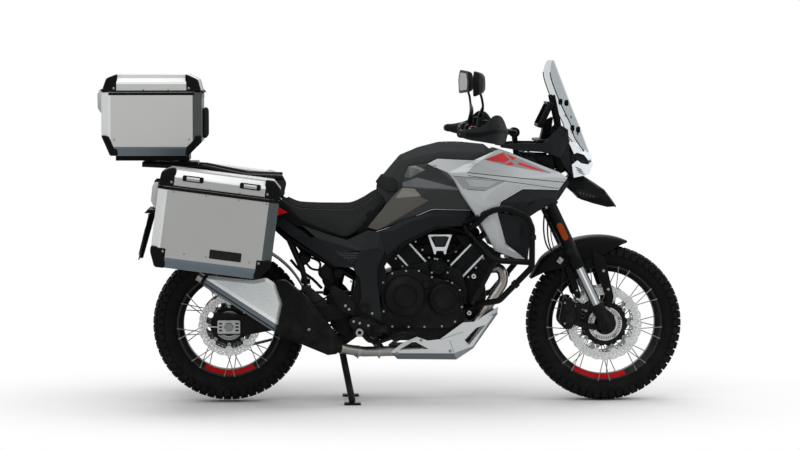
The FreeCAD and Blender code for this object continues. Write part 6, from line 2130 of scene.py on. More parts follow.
@dataclass
class Bodywork:
    """Tank, side fairings, radiator shrouds and the covers of the frame.

    Attributes:
        wall: thickness of the dark panels.
        fairing_wall: thickness of the silver fairings.
        cap: (x, z) of the tank's cap.
        cell: pitch of the openings in the frame covers' mesh.
    """

    wall: float = 5.0
    fairing_wall: float = 6.0
    cap: tuple[float, float] = (250.0, 1080.0)
    cell: float = 9.0

    def build(self) -> None:
        """Make every panel."""
        self.tank()
        self.tank_sides()
        self.fairings()
        self.shrouds()
        self.frame_covers()

    def tank(self) -> None:
        """Tank: flat facets between sections of (x, then half width and z at five heights)."""
        table = np.array([(-58, 60, 800, 80, 850, 92, 896, 62, 906, 0, 910),
            (-31, 76, 780, 96, 868, 116, 918, 70, 946, 0, 951),
            (39, 116, 760, 134, 900, 132, 1012, 88, 1027, 0, 1032),
            (112, 138, 780, 152, 932, 142, 1032, 96, 1057, 0, 1063),
            (200, 150, 815, 162, 950, 148, 1050, 102, 1081, 0, 1085),
            (295, 146, 815, 164, 950, 147, 1049, 102, 1081, 0, 1085),
            (387, 122, 815, 160, 940, 138, 1043, 93, 1072, 0, 1076),
            (422, 102, 850, 146, 930, 121, 1021, 79, 1044, 0, 1048)])
        half, z = table[:, 1::2], table[:, 2::2]
        x = np.broadcast_to(table[:, :1], half.shape)
        right = np.stack([x, -half, z], -1)
        grid = np.concatenate([right, right[:, -2::-1] * (1, -1, 1)], axis=1)
        piece("tank_shell", capped(grid), TANK_PAINT, "fuel_tank", bevel=5.0, crease=5)
        ring = lathe([(0.1, -6), (34, -6), (36, -3), (36, 2), (30, 6), (26, 4), (0.1, 4)], (0, 0), 40)
        cap = ring.turned(-90, axis=(1, 0, 0)).moved(self.cap[0], 0, self.cap[1])
        pad = plate(eased([(-62, 912), (-34, 948), (34, 924), (22, 884), (-18, 882)], 8), -128, 128, 6)
        piece("tank_cap", cap, BLACK_CAST, "fuel_tank", bevel=0.8)
        piece("tank_rear_pad", pad, SEAT_COVER, "fuel_tank")
        ring = circle(44.0, 6)
        spots = [(self.cap[0] + x, y, self.cap[1] + 3) for x, y in ring]
        piece("tank_cap_bolts", bolts(spots, 4, 3, (0, 0, 1)), STEEL, "fuel_tank")

    def tank_sides(self) -> None:
        """Lower side panels of the tank, their facets in lighter and darker greys as painted light and shade,
        with a thin dark line across them and a thin pale line along their lower edge.
        """
        rows = [                     # x, z, y
            (67, 988, -148), (100, 994, -158), (150, 1001, -168), (236, 966, -182), (262, 930, -186),
            (284, 886, -184), (322, 810, -168), (164, 814, -172), (-31, 735, -150), (-63, 724, -142),
            (-101, 736, -130), (0, 861, -148), (38, 899, -152), (38, 921, -150), (148, 848, -177),
            (73, 940, -162), (117, 868, -176), (241, 930, -181)]
        panel = faceted(rows, 14, ((14, 16), (14, 8), (15, 13), (15, 17), (17, 4), (17, 5), (12, 16)),
            (), self.wall)
        paint = Finish("side panel paint", "17191a", metallic=0.1, roughness=0.36, coat=0.2,
            grain=Grain.METALLIC, relief=0.1, wear=0.05, dust=0.0, zones=SIDE_PANEL_LIGHT_ZONES, sheen=0.3)
        piece("tank_side_panels", panel.both_sides(), paint, "fuel_tank", bevel=1.5, crease=3)
        line = np.array([(-80, -146, 719), (-63, -150, 718), (-31, -152, 729), (164, -173, 812),
            (322, -169, 808)])
        piece("tank_edge_lines", tube(bend(line, 14), 1.5, 6).both_sides(), STEEL, "fuel_tank")

    def fairings(self) -> None:
        """Silver side fairings: an upper band, a blade that runs down and forward, and a ridge between."""
        rows = [(144, 999, -176), (185, 1020, -172), (332, 1013, -178), (437, 1058, -166), (506, 1036, -170),
            (689, 964, -170), (724, 941, -172), (688, 893, -182), (533, 897, -214), (442, 845, -226),
            (430, 799, -228), (467, 669, -222), (550, 617, -208), (550, 593, -206), (423, 642, -218),
            (358, 765, -216), (283, 877, -204), (252, 935, -196), (228, 963, -188), (305, 966, -212),
            (520, 943, -220), (374, 853, -232), (426, 902, -230), (515, 916, -222), (383, 818, -236),
            (426, 714, -236), (474, 649, -228), (340, 1000, -200)]
        creases = ((18, 19), (19, 20), (20, 6), (19, 27), (27, 2), (16, 21), (21, 22), (22, 23), (23, 8),
            (21, 24), (24, 25), (25, 26), (26, 12), (24, 10), (25, 11))
        panel = faceted(rows, 19, creases, (), self.fairing_wall)
        # Its zones paint shade on the facets as well as the stripes and red marks.
        paint = Finish("silver paint with stripes and painted shade", SILVER.colour, metallic=0.25, roughness=0.36, coat=0.25,
            grain=Grain.METALLIC, relief=0.1, tone=0.05, wear=0.08, worn="c9cccf", dust=0.0,
            zones=SILVER_SHADE_AND_STRIPE_ZONES)
        piece("side_fairing_panels", panel.both_sides(), paint, "side_fairings", bevel=2.5, crease=3)
        dark = plate(eased([(150, 990), (330, 1000), (430, 1040), (500, 1020), (690, 950), (690, 905),
            (540, 905), (440, 860), (420, 700), (370, 770), (290, 880), (250, 940)], 8), -168, -150, 3)
        piece("side_fairing_backs", dark.both_sides(), BLACK_PLASTIC, "side_fairings")
        screws = bolts([(174, -182, 991)], 7, 2, (-0.3, -1, 0))
        edge = tube([(228, -190, 963), (252, -198, 935), (283, -206, 877), (358, -218, 765),
            (423, -220, 642)], 2.2, 6)
        piece("side_fairing_trim", (screws + edge).both_sides(), STEEL, "side_fairings")

    def shrouds(self) -> None:
        """Dark wings under the fairings and side panels of the radiator, each with a slot."""
        wing = [(442, 843, -224), (531, 896, -214), (686, 891, -184), (722, 937, -168), (730, 915, -166),
            (683, 851, -196), (617, 818, -218), (557, 780, -232), (500, 790, -236), (441, 818, -230),
            (560, 845, -238), (640, 862, -214)]
        side = [(430, 800, -226), (500, 790, -234), (550, 780, -236), (567, 739, -232), (556, 600, -212),
            (468, 672, -226), (520, 740, -238), (520, 660, -228), (470, 760, -232)]
        shapes = [faceted(wing, 10, ((0, 10), (10, 11), (11, 5), (10, 7)), (), self.wall), faceted(side, 6,
            ((0, 8), (8, 6), (6, 3), (6, 7), (7, 4), (8, 5)), (), self.wall)]
        piece("radiator_shroud_panels", merge(shapes).both_sides(), DARK_PLASTIC, "radiator_shrouds",
            bevel=1.5, crease=4)
        lips = [sweep([(556, -240, 828), (584, -236, 852)], circle(1, 6) * (2, 7), None, (0, 1, 0)),
            sweep([(527, -240, 700), (531, -238, 752)], circle(1, 6) * (2, 6), None, (0, 1, 0))]
        grille = rods([(500 + 12 * k, -238 + k, 818 + 3 * k) for k in range(4)],
            [(508 + 12 * k, -238 + k, 842 + 3 * k) for k in range(4)], 1.8, 6)
        piece("radiator_shroud_slots", merge([*lips, grille]).both_sides(), BLACK_GLOSS, "radiator_shrouds")
        edge = tube(bend([(430, -229, 806), (442, -228, 846), (533, -216, 898), (686, -186, 893)], 8), 1.6, 6)
        piece("radiator_shroud_edges", edge.both_sides(), PALE_ALUMINIUM, "radiator_shrouds")

    def frame_covers(self) -> None:
        """Frame covers: a long folded panel with a meshed window, a leg down to the pivot, and the arch."""
        rows = [(-471, 788, -138), (-416, 751, -146), (-374, 746, -148), (-246, 702, -156), (-187, 685, -158),
            (-101, 725, -160), (-50, 718, -168), (-31, 640, -176), (-63, 570, -178), (-63, 508, -178),
            (-51, 419, -178), (-44, 345, -174), (-100, 378, -178), (-139, 413, -178), (-128, 451, -182),
            (-134, 527, -184), (-164, 571, -184), (-237, 578, -170), (-416, 699, -150), (-476, 745, -138),
            (-315, 697, -174), (-133, 641, -186), (-60, 655, -184), (-246, 640, -178), (-133, 629, -184),
            (-161, 578, -182)]
        creases = ((0, 20), (20, 21), (21, 22), (22, 6), (21, 15), (21, 24))
        cover = faceted(rows, 20, creases, ((23, 24, 25),), self.wall)
        piece("frame_cover_panels", cover.both_sides(), DARK_PLASTIC, "frame_side_covers",
            bevel=2.0, crease=3)
        x, z = np.meshgrid(np.arange(-250, -128, self.cell), np.arange(572, 648, self.cell), indexing="ij")
        x = x + np.where(np.arange(x.shape[1]) % 2, self.cell / 2, 0.0)
        spots = np.stack([x.ravel(), z.ravel()], 1)
        spots = spots[inside(spots, np.array([(-250, 643), (-128, 632), (-160, 572)]))]
        six = np.roll(circle(1.0, 6), 1, 0)
        loops = [np.array([(-254, 647), (-122, 633), (-158, 566)], float)] + [spot + six * 3.4
            for spot in spots]
        mesh = holed(loops, -176, -173)
        back = plate(loops[0][::-1], -171, -168, 1, 1)
        plug = lathe([(0.1, -187), (20, -187), (22, -185), (22, -178), (0.1, -178)], (-114, 404), 28)
        piece("frame_cover_mesh", mesh.both_sides(), MESH_PLASTIC, "frame_side_covers")
        piece("frame_cover_plugs", (plug + back).both_sides(), BLACK_PLASTIC, "frame_side_covers")
        arch = [(-50, 718, -166), (32, 763, -166), (177, 812, -168), (323, 806, -164), (345, 775, -160),
            (316, 741, -160), (177, 741, -162), (38, 674, -166), (-25, 621, -170), (-31, 640, -174),
            (13, 727, -180), (63, 757, -180), (152, 782, -180), (240, 782, -178), (310, 759, -170)]
        upper = faceted(arch, 10, ((9, 10), (10, 11), (11, 12), (12, 13), (13, 14), (14, 4)), (), self.wall)
        piece("frame_arch_covers", upper.both_sides(), DARK_PLASTIC, "frame_side_covers", bevel=1.5, crease=3)
        spots = bolts([(-84, -179, 382), (-171, -186, 516)], 5, 3)
        piece("frame_cover_bolts", spots.both_sides(), STEEL, "frame_side_covers")


# ---------------------------------------------------------------- luggage
def trough(outline: Array, y0: float, y1: float, edge: float, depth: float) -> Form:
    """Half of a case: a band along an outline that is open at the seam, with chamfered sides.

    Args:
        outline: (x, z) from one end of the seam round to the other.
        y0: one side.
        y1: the other side.
        edge: width of the chamfers, seen from the side.
        depth: of the chamfers, across.

    Returns:
        The outer skin, open at the seam.
    """
    outline = np.asarray(outline, float)
    inner = inset(outline, edge)
    along = unit(outline[-1] - outline[0])
    inner[0], inner[-1] = outline[0] + along * edge, outline[-1] - along * edge
    loops = [(inner, y0), (outline, y0 + depth), (outline, y1 - depth), (inner, y1)]
    grid = np.stack([np.insert(loop, 1, y, axis=1) for loop, y in loops])
    count = len(outline)
    band = net(grid)
    flat = np.arange(count)
    rim = np.array([[0, count, 2 * count, 3 * count, 4 * count - 1, 3 * count - 1, 2 * count - 1, count - 1]])
    closed = outward(Form(band.points, [*band.faces, np.stack([flat, 3 * count + flat[::-1]]), rim]))
    return Form(closed.points, closed.faces[:-1])


@dataclass
class Case:
    """Aluminium case with its lid, corner caps, rivets and seal.

    Attributes:
        name: of the case.
        box: (x, z) outline of the box from the front of the seam round to the back.
        lid: likewise of the lid.
        sides: y of its two sides.
        nodes: names of the box's and the lid's nodes.
        tilt: degrees that it leans, about the front of its seam.
        origin: (x, z) of the front of its seam.
        painted_light_zones: zones of painted light and shade on the bevels, in the outline's own plane.
        shade: colour of the panels, lighter on the top case than on the panniers as painted light.
    """

    name: str
    box: Array
    lid: Array
    sides: tuple[float, float]
    nodes: tuple[str, str]
    tilt: float = 0.0
    origin: tuple[float, float] = (0.0, 0.0)
    painted_light_zones: tuple[tuple[str, tuple[tuple[float, float], ...]], ...] = ()
    shade: str = "9c9d9b"

    def placed(self, form: Form) -> Form:
        """A form of the case's own plane, in its place on the motorcycle."""
        return form.turned(self.tilt).moved(self.origin[0], 0, self.origin[1])

    def spot(self, x: float, z: float) -> tuple[float, float]:
        """A point of the case's own plane, in its place on the motorcycle."""
        c, s = math.cos(math.radians(self.tilt)), math.sin(math.radians(self.tilt))
        return self.origin[0] + x * c + z * s, self.origin[1] - x * s + z * c

    def build(self) -> None:
        """Make the case."""
        zones = tuple(Zone(colour, tuple(self.spot(*p) for p in outline)) for colour, outline in self.painted_light_zones)
        metal = Finish(self.name + " aluminium", self.shade, metallic=0.4, roughness=0.45,
            grain=Grain.BRUSHED, relief=0.2, tone=0.04, wear=0.0, stretch=(0.12, 1.0, 3.0),
            dust=0.0, zones=zones)
        for outline, node_name, word in ((self.box, self.nodes[0], "box"), (self.lid, self.nodes[1], "lid")):
            made = piece(f"{self.name}_{word}", self.placed(trough(outline, *self.sides, 30, 15)),
                metal, node_name)
            wall = made.modifiers.new("walls", "SOLIDIFY")
            wall.thickness, wall.offset = 2.5 * MM, -1.0
            soften(made, 1.2, 20)
            caps, screws, rivets = self.fittings(np.asarray(outline, float), word == "lid")
            piece(f"{self.name}_{word}_caps", self.placed(caps), BLACK_PLASTIC, node_name, bevel=1.0)
            piece(f"{self.name}_{word}_screws", self.placed(screws + rivets), BRIGHT_STEEL, node_name)
            piece(f"{self.name}_{word}_seal", self.placed(self.seal(word == "lid")), BLACK_PLASTIC, node_name)

    def fittings(self, outline: Array, lid: bool) -> tuple[Form, Form, Form]:
        """Corner caps with their screws, and rows of rivets.

        Args:
            outline: (x, z) outline of the box or the lid.
            lid: whether it is the lid's.

        Returns:
            Caps, screws and rivets.
        """
        low, high = outline.min(0), outline.max(0)
        far, seam = (high[1] if lid else low[1]), outline[0, 1]
        inward = -1.0 if lid else 1.0
        height = abs(far - seam) - 1.0 if lid else 82.0
        caps, screws = [], []
        for end, way, bend_a, bend_b in ((high[0], -1.0, outline[1], outline[2]),
                (low[0], 1.0, outline[4], outline[3])):
            corner = np.array([(end - way, far + inward * height), bend_a - (way, 0), bend_b - (0, inward),
                (end + way * 64, far - inward), (end + way * 64, far + inward * height)])
            if signed_area(corner) < 0:
                corner = corner[::-1]
            for side in (0, 1):
                face, back = self.sides[side] + (-1.5, 1.5)[side], self.sides[side] + (44, -44)[side]
                caps.append(plate(eased(corner, 5, 2), min(face, back), max(face, back), 5, 1))
                toward, place = (0, (-1, 1)[side], 0), far + inward * (height - 16 if not lid else 56)
                screws.append(bolts([(end + way * 50, face, place)], 5, 1.5, toward))
        drop = far - seam
        rows = (((0.42, 0.14), (0.67, 0.14)) if lid else ((0.13, 18 / abs(drop)), (0.4, 18 / abs(drop)),
            (0.67, 18 / abs(drop)), (0.9, 18 / abs(drop)), (0.28, 0.8), (0.46, 0.8),
            (0.64, 0.8), (0.82, 0.8)))
        spots = [(low[0] + a * (high[0] - low[0]), seam + b * drop) for a, b in rows]
        rivets = merge(bolts([(x, self.sides[s], z) for x, z in spots], 3.2, 1.5, (0, (-1, 1)[s], 0))
            for s in (0, 1))
        return merge(caps), merge(screws), rivets

    def seal(self, lid: bool) -> Form:
        """Black strip round the case beside its seam.

        Args:
            lid: whether it is the lid's.

        Returns:
            A closed form.
        """
        high = 3.0 if lid else 5.5
        z = self.box[0][1] + (5 if lid else -6)
        y0, y1, cut = self.sides[0] - 0.5, self.sides[1] + 0.5, 16
        front, back = self.box[0][0] + 0.5, self.box[-1][0] - 0.5
        ring = [(front, y0 + cut), (front, y1 - cut), (front - 30, y1), (back + 30, y1), (back, y1 - cut),
            (back, y0 + cut), (back + 30, y0), (front - 30, y0)]
        path = np.array([(x, y, z) for x, y in ring], float)
        profile = np.array([(-2.0, -high), (2.0, -high), (2.0, high), (-2.0, high)])
        return outward(sweep(path, profile, None, (0, 0, 1), True))


# Painted light and shade on the top case's bevels: a pale rear edge, a dark front edge, a blue-grey lower
# bevel and a light band on the lid. Its panels are lighter than the panniers' as painted light.
TOP_CASE = Case("top_case", ((-784, 1294), (-784, 1091), (-839, 1036), (-1157, 1036), (-1190, 1113),
    (-1190, 1294)), ((-784, 1294), (-798, 1347), (-844, 1367), (-1130, 1367), (-1170, 1352), (-1190, 1294)),
    (-197, 197), ("top_case_box", "top_case_lid"), shade="b2b3b0",
    painted_light_zones=(("cfd1d1", ((-1191, 1295), (-1154, 1295), (-1154, 1036), (-1191, 1036))),
    ("3b3c3d", ((-819, 1295), (-780, 1295), (-780, 1036), (-819, 1036))),
    ("58636a", ((-1154, 1072), (-819, 1072), (-819, 1034), (-1154, 1034))),
    ("e2e4e4", ((-1130, 1352), (-840, 1352), (-840, 1328), (-1130, 1328)))))
# The same painted light and shade on each pannier's bevels.
PANNIER_PAINTED_LIGHT = (("cbcdcd", ((-487, 1), (-448, 1), (-448, -330), (-487, -330))),
    ("3e4547", ((-40, 1), (1, 1), (1, -330), (-40, -330))),
    ("58636a", ((-448, -283), (-36, -283), (-36, -327), (-448, -327))),
    ("e2e4e4", ((-430, 70), (-60, 70), (-60, 40), (-430, 40))))
RIGHT_PANNIER = Case("pannier_right", ((0, 0), (0, -267), (-46.4, -325), (-462.8, -325), (-486, -267),
    (-486, 0)), ((0, 0), (0, 46), (-30, 76), (-446, 76), (-480, 56), (-486, 0)), (-487, -265),
    ("pannier_box_right", "pannier_lid_right"), 7.5, (-465, 864), PANNIER_PAINTED_LIGHT)
LEFT_PANNIER = Case("pannier_left", RIGHT_PANNIER.box, RIGHT_PANNIER.lid, (265, 487),
    ("pannier_box_left", "pannier_lid_left"), 7.5, (-465, 864), PANNIER_PAINTED_LIGHT)


@dataclass
class Luggage:
    """Top case and panniers with what carries them.

    Attributes:
        hinge: distance of the top case's hinges from the middle plane.
        pannier: distance of a pannier's middle from the middle plane.
        face: distance of a pannier's outer face from it.
    """

    hinge: float = 130.0
    pannier: float = 376.0
    face: float = 487.0

    def build(self) -> None:
        """Make the cases, their latches and the racks."""
        for case in (TOP_CASE, RIGHT_PANNIER, LEFT_PANNIER):
            case.build()
        self.top_details()
        for side, case, word in ((-1, RIGHT_PANNIER, "right"), (1, LEFT_PANNIER, "left")):
            self.pannier_details(side, case, word)
        refined("pannier_racks", BLACK_PAINT, 0.8)
        refined("rear_rack", BLACK_PAINT, 1.2)
        refined("top_case_plate", BLACK_PLASTIC, 2.0)
        catch = plate([(-862, 1010), (-842, 1010), (-836, 1028), (-858, 1032)], -30, 30, 3)
        piece("top_case_catch", catch, RED_PAINT, "top_case_plate")

    def latch(self, height: float, half: float) -> tuple[Form, Form]:
        """Over-centre latch on a rear face at x 0, z 0 being the seam.

        Args:
            height: of the whole latch.
            half: half its width.

        Returns:
            The lever with its plate, and the dark hook over the seam.
        """
        outline = [(0, -height), (-9, -height), (-27, -height + 26), (-28, -16), (-19, 0), (0, 0)]
        lever = plate(eased(outline, 3, 2), -half, half, 2)
        hook = plate(eased([(0, -30), (-20, -30), (-22, 6), (-14, 16), (0, 16)], 3, 2), -half * 0.55,
            half * 0.55, 2)
        return lever, hook

    def top_details(self) -> None:
        """Latch, hinges and back pad of the top case."""
        lever, hook = self.latch(100, 32)
        piece("top_case_latch", lever.moved(-1190, 0, 1300), ALUMINIUM, "top_case_box")
        piece("top_case_latch_hook", hook.moved(-1191, 0, 1290), BLACK_PLASTIC, "top_case_box")
        knuckles = merge(rods([(-778.5, y - 26, 1294)], [(-778.5, y + 26, 1294)], 5, 14)
            + plate(eased([(-786, 1292), (-780, 1292), (-780, 1268), (-786, 1268)], 1, 1), y - 24, y + 24, 1)
            for y in (-self.hinge, self.hinge))
        piece("top_case_hinges", knuckles, BLACK_PAINT, "top_case_box")
        pad = swollen(rounded_block((-783, -92, 1100), (-761, 92, 1231), 9, 3), 4.0, 4.0, 2.0)
        piece("top_case_back_pad", pad, SEAT_COVER, "top_case_box", crease=60,
            subdivide=1)

    def pannier_details(self, side: int, case: Case, word: str) -> None:
        """Latch, hinge, tie loops and blank plate of one pannier.

        Args:
            side: -1 for the right, 1 for the left.
            case: the pannier.
            word: its side in the names of nodes.
        """
        box, lid, mid = f"pannier_box_{word}", f"pannier_lid_{word}", side * self.pannier
        lever, hook = self.latch(104, 30)
        piece(f"pannier_latch_{word}", case.placed(lever.moved(-485, mid, 8)), ALUMINIUM, box)
        piece(f"pannier_latch_hook_{word}", case.placed(hook.moved(-486, mid, 6)), BLACK_PLASTIC, box)
        pin = rods([(5.5, side * 300, 0.25)], [(5.5, side * 452, 0.25)], 4.6, 14)
        leaf = plate(eased([(0.5, -3), (6, -3), (6, -26), (0.5, -26)], 1, 1), mid - 70, mid + 70, 1)
        piece(f"pannier_hinge_{word}", case.placed(pin + leaf), BLACK_PAINT, box)
        blacks, bars = [], []
        low, high = sorted((side * self.face, side * (self.face + 2.8)))
        for x in (-122, -352):
            ends = [plate(eased([(x + a, 30), (x + b, 30), (x + b, 54), (x + a, 54)], 4, 2), low, high, 1, 1)
                for a, b in ((-42, -26), (26, 42))]
            rims = [plate([(x - 28, z - 2), (x + 28, z - 2), (x + 28, z + 2), (x - 28, z + 2)], low, high,
                0.8, 1) for z in (32, 52)]
            blacks.append(merge(ends + rims))
            bars.append(rods([(x - 26, side * 488, 42)], [(x + 26, side * 488, 42)], 1.8, 8))
        piece(f"pannier_loops_{word}", case.placed(merge(blacks)), BLACK_PLASTIC, lid)
        piece(f"pannier_loop_bars_{word}", case.placed(merge(bars)), STEEL, lid)
        badge = [(-250, -228), (-122, -228), (-122, -264), (-250, -264)]
        low, high = sorted((side * (self.face - 1.4), side * (self.face + 2.6)))
        piece(f"pannier_plate_{word}", case.placed(plate(eased(badge, 3, 2), low, high, 0.8, 1)),
            BLACK_GLOSS, box)


# ---------------------------------------------------------------- engine, exhaust, skid plate
@dataclass
class PowerUnit:
    """Engine with its covers, radiator, exhaust, silencer and skid plate.

    Attributes:
        clutch: (x, z) of the clutch's dome.
        crank: (x, z) of the right dome over the crankshaft.
        alternator: (x, z) of the left one.
        fin_pitch: of the cylinders' fins.
        core_pitch: of the radiator's fins.
        skid_wall: thickness of the skid plate.
    """

    clutch: tuple[float, float] = (50.0, 452.0)
    crank: tuple[float, float] = (214.0, 441.0)
    alternator: tuple[float, float] = (216.0, 432.0)
    fin_pitch: float = 7.2
    core_pitch: float = 7.0
    skid_wall: float = 3.2

    def build(self) -> None:
        """Make every part."""
        refined("engine", BLACK_CAST, 2.0)
        self.fins()
        self.right_covers()
        self.left_covers()
        self.vee_frame()
        self.front_bolts()
        self.radiator()
        self.exhaust()
        self.silencer()
        self.skid_plate()

    def fins(self) -> None:
        """Fins and bright edge strips of the two cylinders, and the bolts of their heads."""
        fins, strips, screws = [], [], []
        for low, high, lean in (((122, 562), (52, 645), -43.0), ((270, 548), (349, 645), 43.0)):
            low, high = np.array(low, float), np.array(high, float)
            run = high - low
            length = float(np.hypot(*run))
            upright = plate([(-1.6, 4), (1.6, 4), (1.6, length - 4), (-1.6, length - 4)], -88, -68, 0.8, 1)
            for across in np.arange(-25.0, 26.0, self.fin_pitch):
                fins.append(upright.moved(across).turned(lean).moved(low[0], 0, low[1]))
            bar = plate(eased([(-5, 0), (5, 0), (5, length), (-5, length)], 2, 1), -93, -72, 1.2, 1)
            for across in (-34, 34):
                strips.append(bar.moved(across).turned(lean).moved(low[0], 0, low[1]))
            side = np.array([run[1], -run[0]]) / length
            for along, across in ((0.1, -54), (0.5, -54), (0.9, -54), (0.1, 54), (0.5, 54), (0.9, 54)):
                x, z = low + run * along + side * across
                screws.append((x, -77, z))
        piece("cylinder_fins", merge(fins).both_sides(), FIN_CAST, "engine")
        piece("cylinder_strips", merge(strips).both_sides(), PALE_ALUMINIUM, "engine")
        piece("cylinder_bolts", bolts(screws, 5, 4).both_sides(), STEEL, "engine")

    def right_covers(self) -> None:
        """Cover of the right side with its clutch and alternator domes, the water pump and their bolts."""
        outline = [(-46, 513), (-4, 555), (49, 564), (101, 564), (154, 533), (249, 514), (286, 491),
            (299, 406), (281, 360), (249, 320), (207, 315), (-25, 316), (-51, 391)]
        cover = plate(eased(outline, 14, 3), -156, -118, 7, 2)
        clutch = lathe([(0.1, -192), (42, -192), (45, -189), (50, -189), (52, -193), (57, -192), (78, -184),
            (85, -177), (87, -160), (87, -150), (0.1, -150)], self.clutch, 72)
        crank = lathe([(0.1, -183), (40, -183), (43, -180), (50, -180), (53, -185), (58, -183), (66, -173),
            (69, -150), (0.1, -150)], self.crank, 60)
        pump = lathe([(0.1, -150), (13, -150), (15, -146), (23, -146), (29, -151), (34, -146), (38, -132),
            (38, -60), (0.1, -60)], (190, 571), 44)
        small = lathe([(0.1, -173), (14, -173), (17, -169), (18, -150), (0.1, -150)], (140, 500), 28)
        spokes = merge(plate(eased([(-3, 18), (3, 18), (2, 40), (-2, 40)], 1, 1), -191, -184, 0.8, 1)
            .turned(60.0 * k).moved(self.clutch[0], -1.5, self.clutch[1]) for k in range(6))
        ribs = merge(plate(eased([(-2.5, 70), (2.5, 70), (2.5, 100), (-2.5, 100)], 1, 1), -166, -154, 1, 1)
            .turned(45.0 * k + 12).moved(self.crank[0], 0, self.crank[1]) for k in (0, 1, 2, 6, 7))
        piece("engine_cover_right", merge([cover, clutch, crank, pump, small, spokes, ribs]), BLACK_CAST,
            "engine_covers", bevel=0.6, crease=24)
        rim = ((-38, 508), (0, 546), (57, 556), (110, 556), (164, 530), (229, 514), (248, 506), (279, 476),
            (288, 406), (260, 345), (205, 326), (133, 324), (68, 324), (0, 326), (-36, 389))
        spots = [(x, -155, z) for x, z in rim]
        spots += [(x, -147, z) for x, z in ((164, 548), (176, 606), (186, 604), (229, 548))]
        piece("engine_cover_right_bolts", bolts(spots, 4.6, 4), STEEL, "engine_covers")

    def left_covers(self) -> None:
        """Alternator cover and the sprocket cover of the left side, with their bolts."""
        case = plate(eased([(-70, 470), (30, 500), (120, 480), (120, 370), (30, 340), (-70, 360)], 12, 3),
            118, 142, 6, 2)
        crank = lathe([(0.1, 182), (44, 182), (48, 178), (58, 178), (62, 183), (82, 174), (90, 160),
            (92, 118), (0.1, 118)], self.alternator, 64)
        ribs = merge(plate(eased([(-2.5, 50), (2.5, 50), (2.5, 78), (-2.5, 78)], 1, 1), 172, 182, 1, 1)
            .turned(60.0 * k).moved(self.alternator[0], -1, self.alternator[1]) for k in range(6))
        piece("engine_cover_left", merge([case, crank, ribs]), BLACK_CAST, "engine_covers",
            bevel=0.6, crease=24)
        spots = [tuple(p) for p in ring_spots(self.alternator, 86, 168, 9, 0.2)]
        spots += [(x, 141, z) for x, z in ((-60, 460), (25, 488), (-60, 370), (25, 352), (108, 380))]
        piece("engine_cover_left_bolts", bolts(spots, 5, 4, (0, 1, 0)), STEEL, "engine_covers")

    def vee_frame(self) -> None:
        """Bright frame between the cylinders, with a dark panel behind it."""
        outer = ((148, 704), (250, 704), (226, 636), (172, 636))
        inner = ((160, 694), (238, 694), (220, 652), (180, 652))
        frame = holed([eased(outer, 4, 2), eased(inner, 3, 2)], -118, -108)
        feet = merge(plate(eased([(x - 8, 640), (x + 8, 640), (x + 5, 622), (x - 3, 620)], 2, 2), -116, -108,
            1, 1) for x in (178, 220))
        piece("vee_frame", frame + feet, PALE_ALUMINIUM, "engine_covers", bevel=0.8)
        back = plate(eased(outer, 5, 2), -113, -62, 3, 1)
        window = plate(eased([(166, 698), (232, 698), (217, 656), (183, 656)], 4, 2), -119, -112, 3, 2)
        piece("vee_window", window, FIN_CAST, "engine_covers", bevel=0.6)
        sump = plate(eased([(-66, 313), (4, 322), (55, 300), (40, 262), (-60, 258)], 8, 2), -44, 44, 5)
        strip = plate(eased([(100, 640), (340, 640), (340, 658), (100, 658)], 4, 2), -71, -64, 2, 1)
        throat = lathe([(0.1, -74), (22, -74), (26, -70), (26, -40), (0.1, -40)], (0, 0), 24)
        throats = merge(throat.moved(x, 0, z) for x, z in ((150, 640), (254, 640), (196, 612)))
        box = plate(eased([(64, 640), (108, 700), (136, 742), (330, 742), (372, 716), (356, 664), (300, 604),
            (258, 566), (206, 548), (150, 560), (112, 600)], 8, 2), -58, 58, 8)
        front = plate(eased([(292, 548), (345, 562), (388, 520), (396, 440), (376, 366), (320, 338),
            (286, 400)], 10), -70, 70, 6)
        side = plate(eased([(262, 700), (318, 700), (334, 668), (300, 648)], 6, 2), -98, -64, 4)
        runs = [tube(smooth(points, 8), radius, 12) for radius, points in ((9, ((120, -86, 690),
            (150, -92, 724), (250, -92, 728), (330, -84, 700))), (5, ((86, -84, 640), (110, -94, 668),
            (132, -92, 700), (120, -80, 730))), (6, ((196, -84, 604), (232, -96, 620), (276, -94, 648),
            (310, -80, 690))))]
        piece("vee_panel", merge([back, strip, throats, box, front, side, sump, *runs]), BLACK_PLASTIC,
            "engine_covers")

    def front_bolts(self) -> None:
        """Hollow dowel bolts on the crankcase ahead of the covers."""
        rings = merge(lathe([(4, -92), (9, -92), (10, -90), (10, -68), (4, -68)], spot, 20)
            for spot in ((342, 527), (323, 374)))
        piece("crankcase_dowels", rings.both_sides(), PALE_ALUMINIUM, "engine")

    def radiator(self) -> None:
        """Radiator core in its frame, with rows of fins, and the hoses to the engine."""
        refined("radiator", BLACK_PLASTIC, 2.0)
        z = np.arange(606, 826, self.core_pitch)
        y0, y1 = np.full(len(z), -132.0), np.full(len(z), 132.0)
        for word, x in (("front", 531.0), ("rear", 485.0)):
            fins = rods(np.stack([np.full(len(z), x), y0, z], 1), np.stack([np.full(len(z), x), y1, z], 1),
                1.3, 6)
            piece(f"radiator_fins_{word}", fins, ALUMINIUM, "radiator")
        upper = tube(bend([(488, -100, 770), (430, -112, 768), (400, -104, 716), (352, -70, 676)], 30), 13,
            16)
        lower = tube(bend([(488, 96, 640), (436, 112, 610), (360, 124, 560), (236, 118, 520)], 30), 13, 16)
        piece("radiator_hoses", upper + lower, GRIP_RUBBER, "radiator")

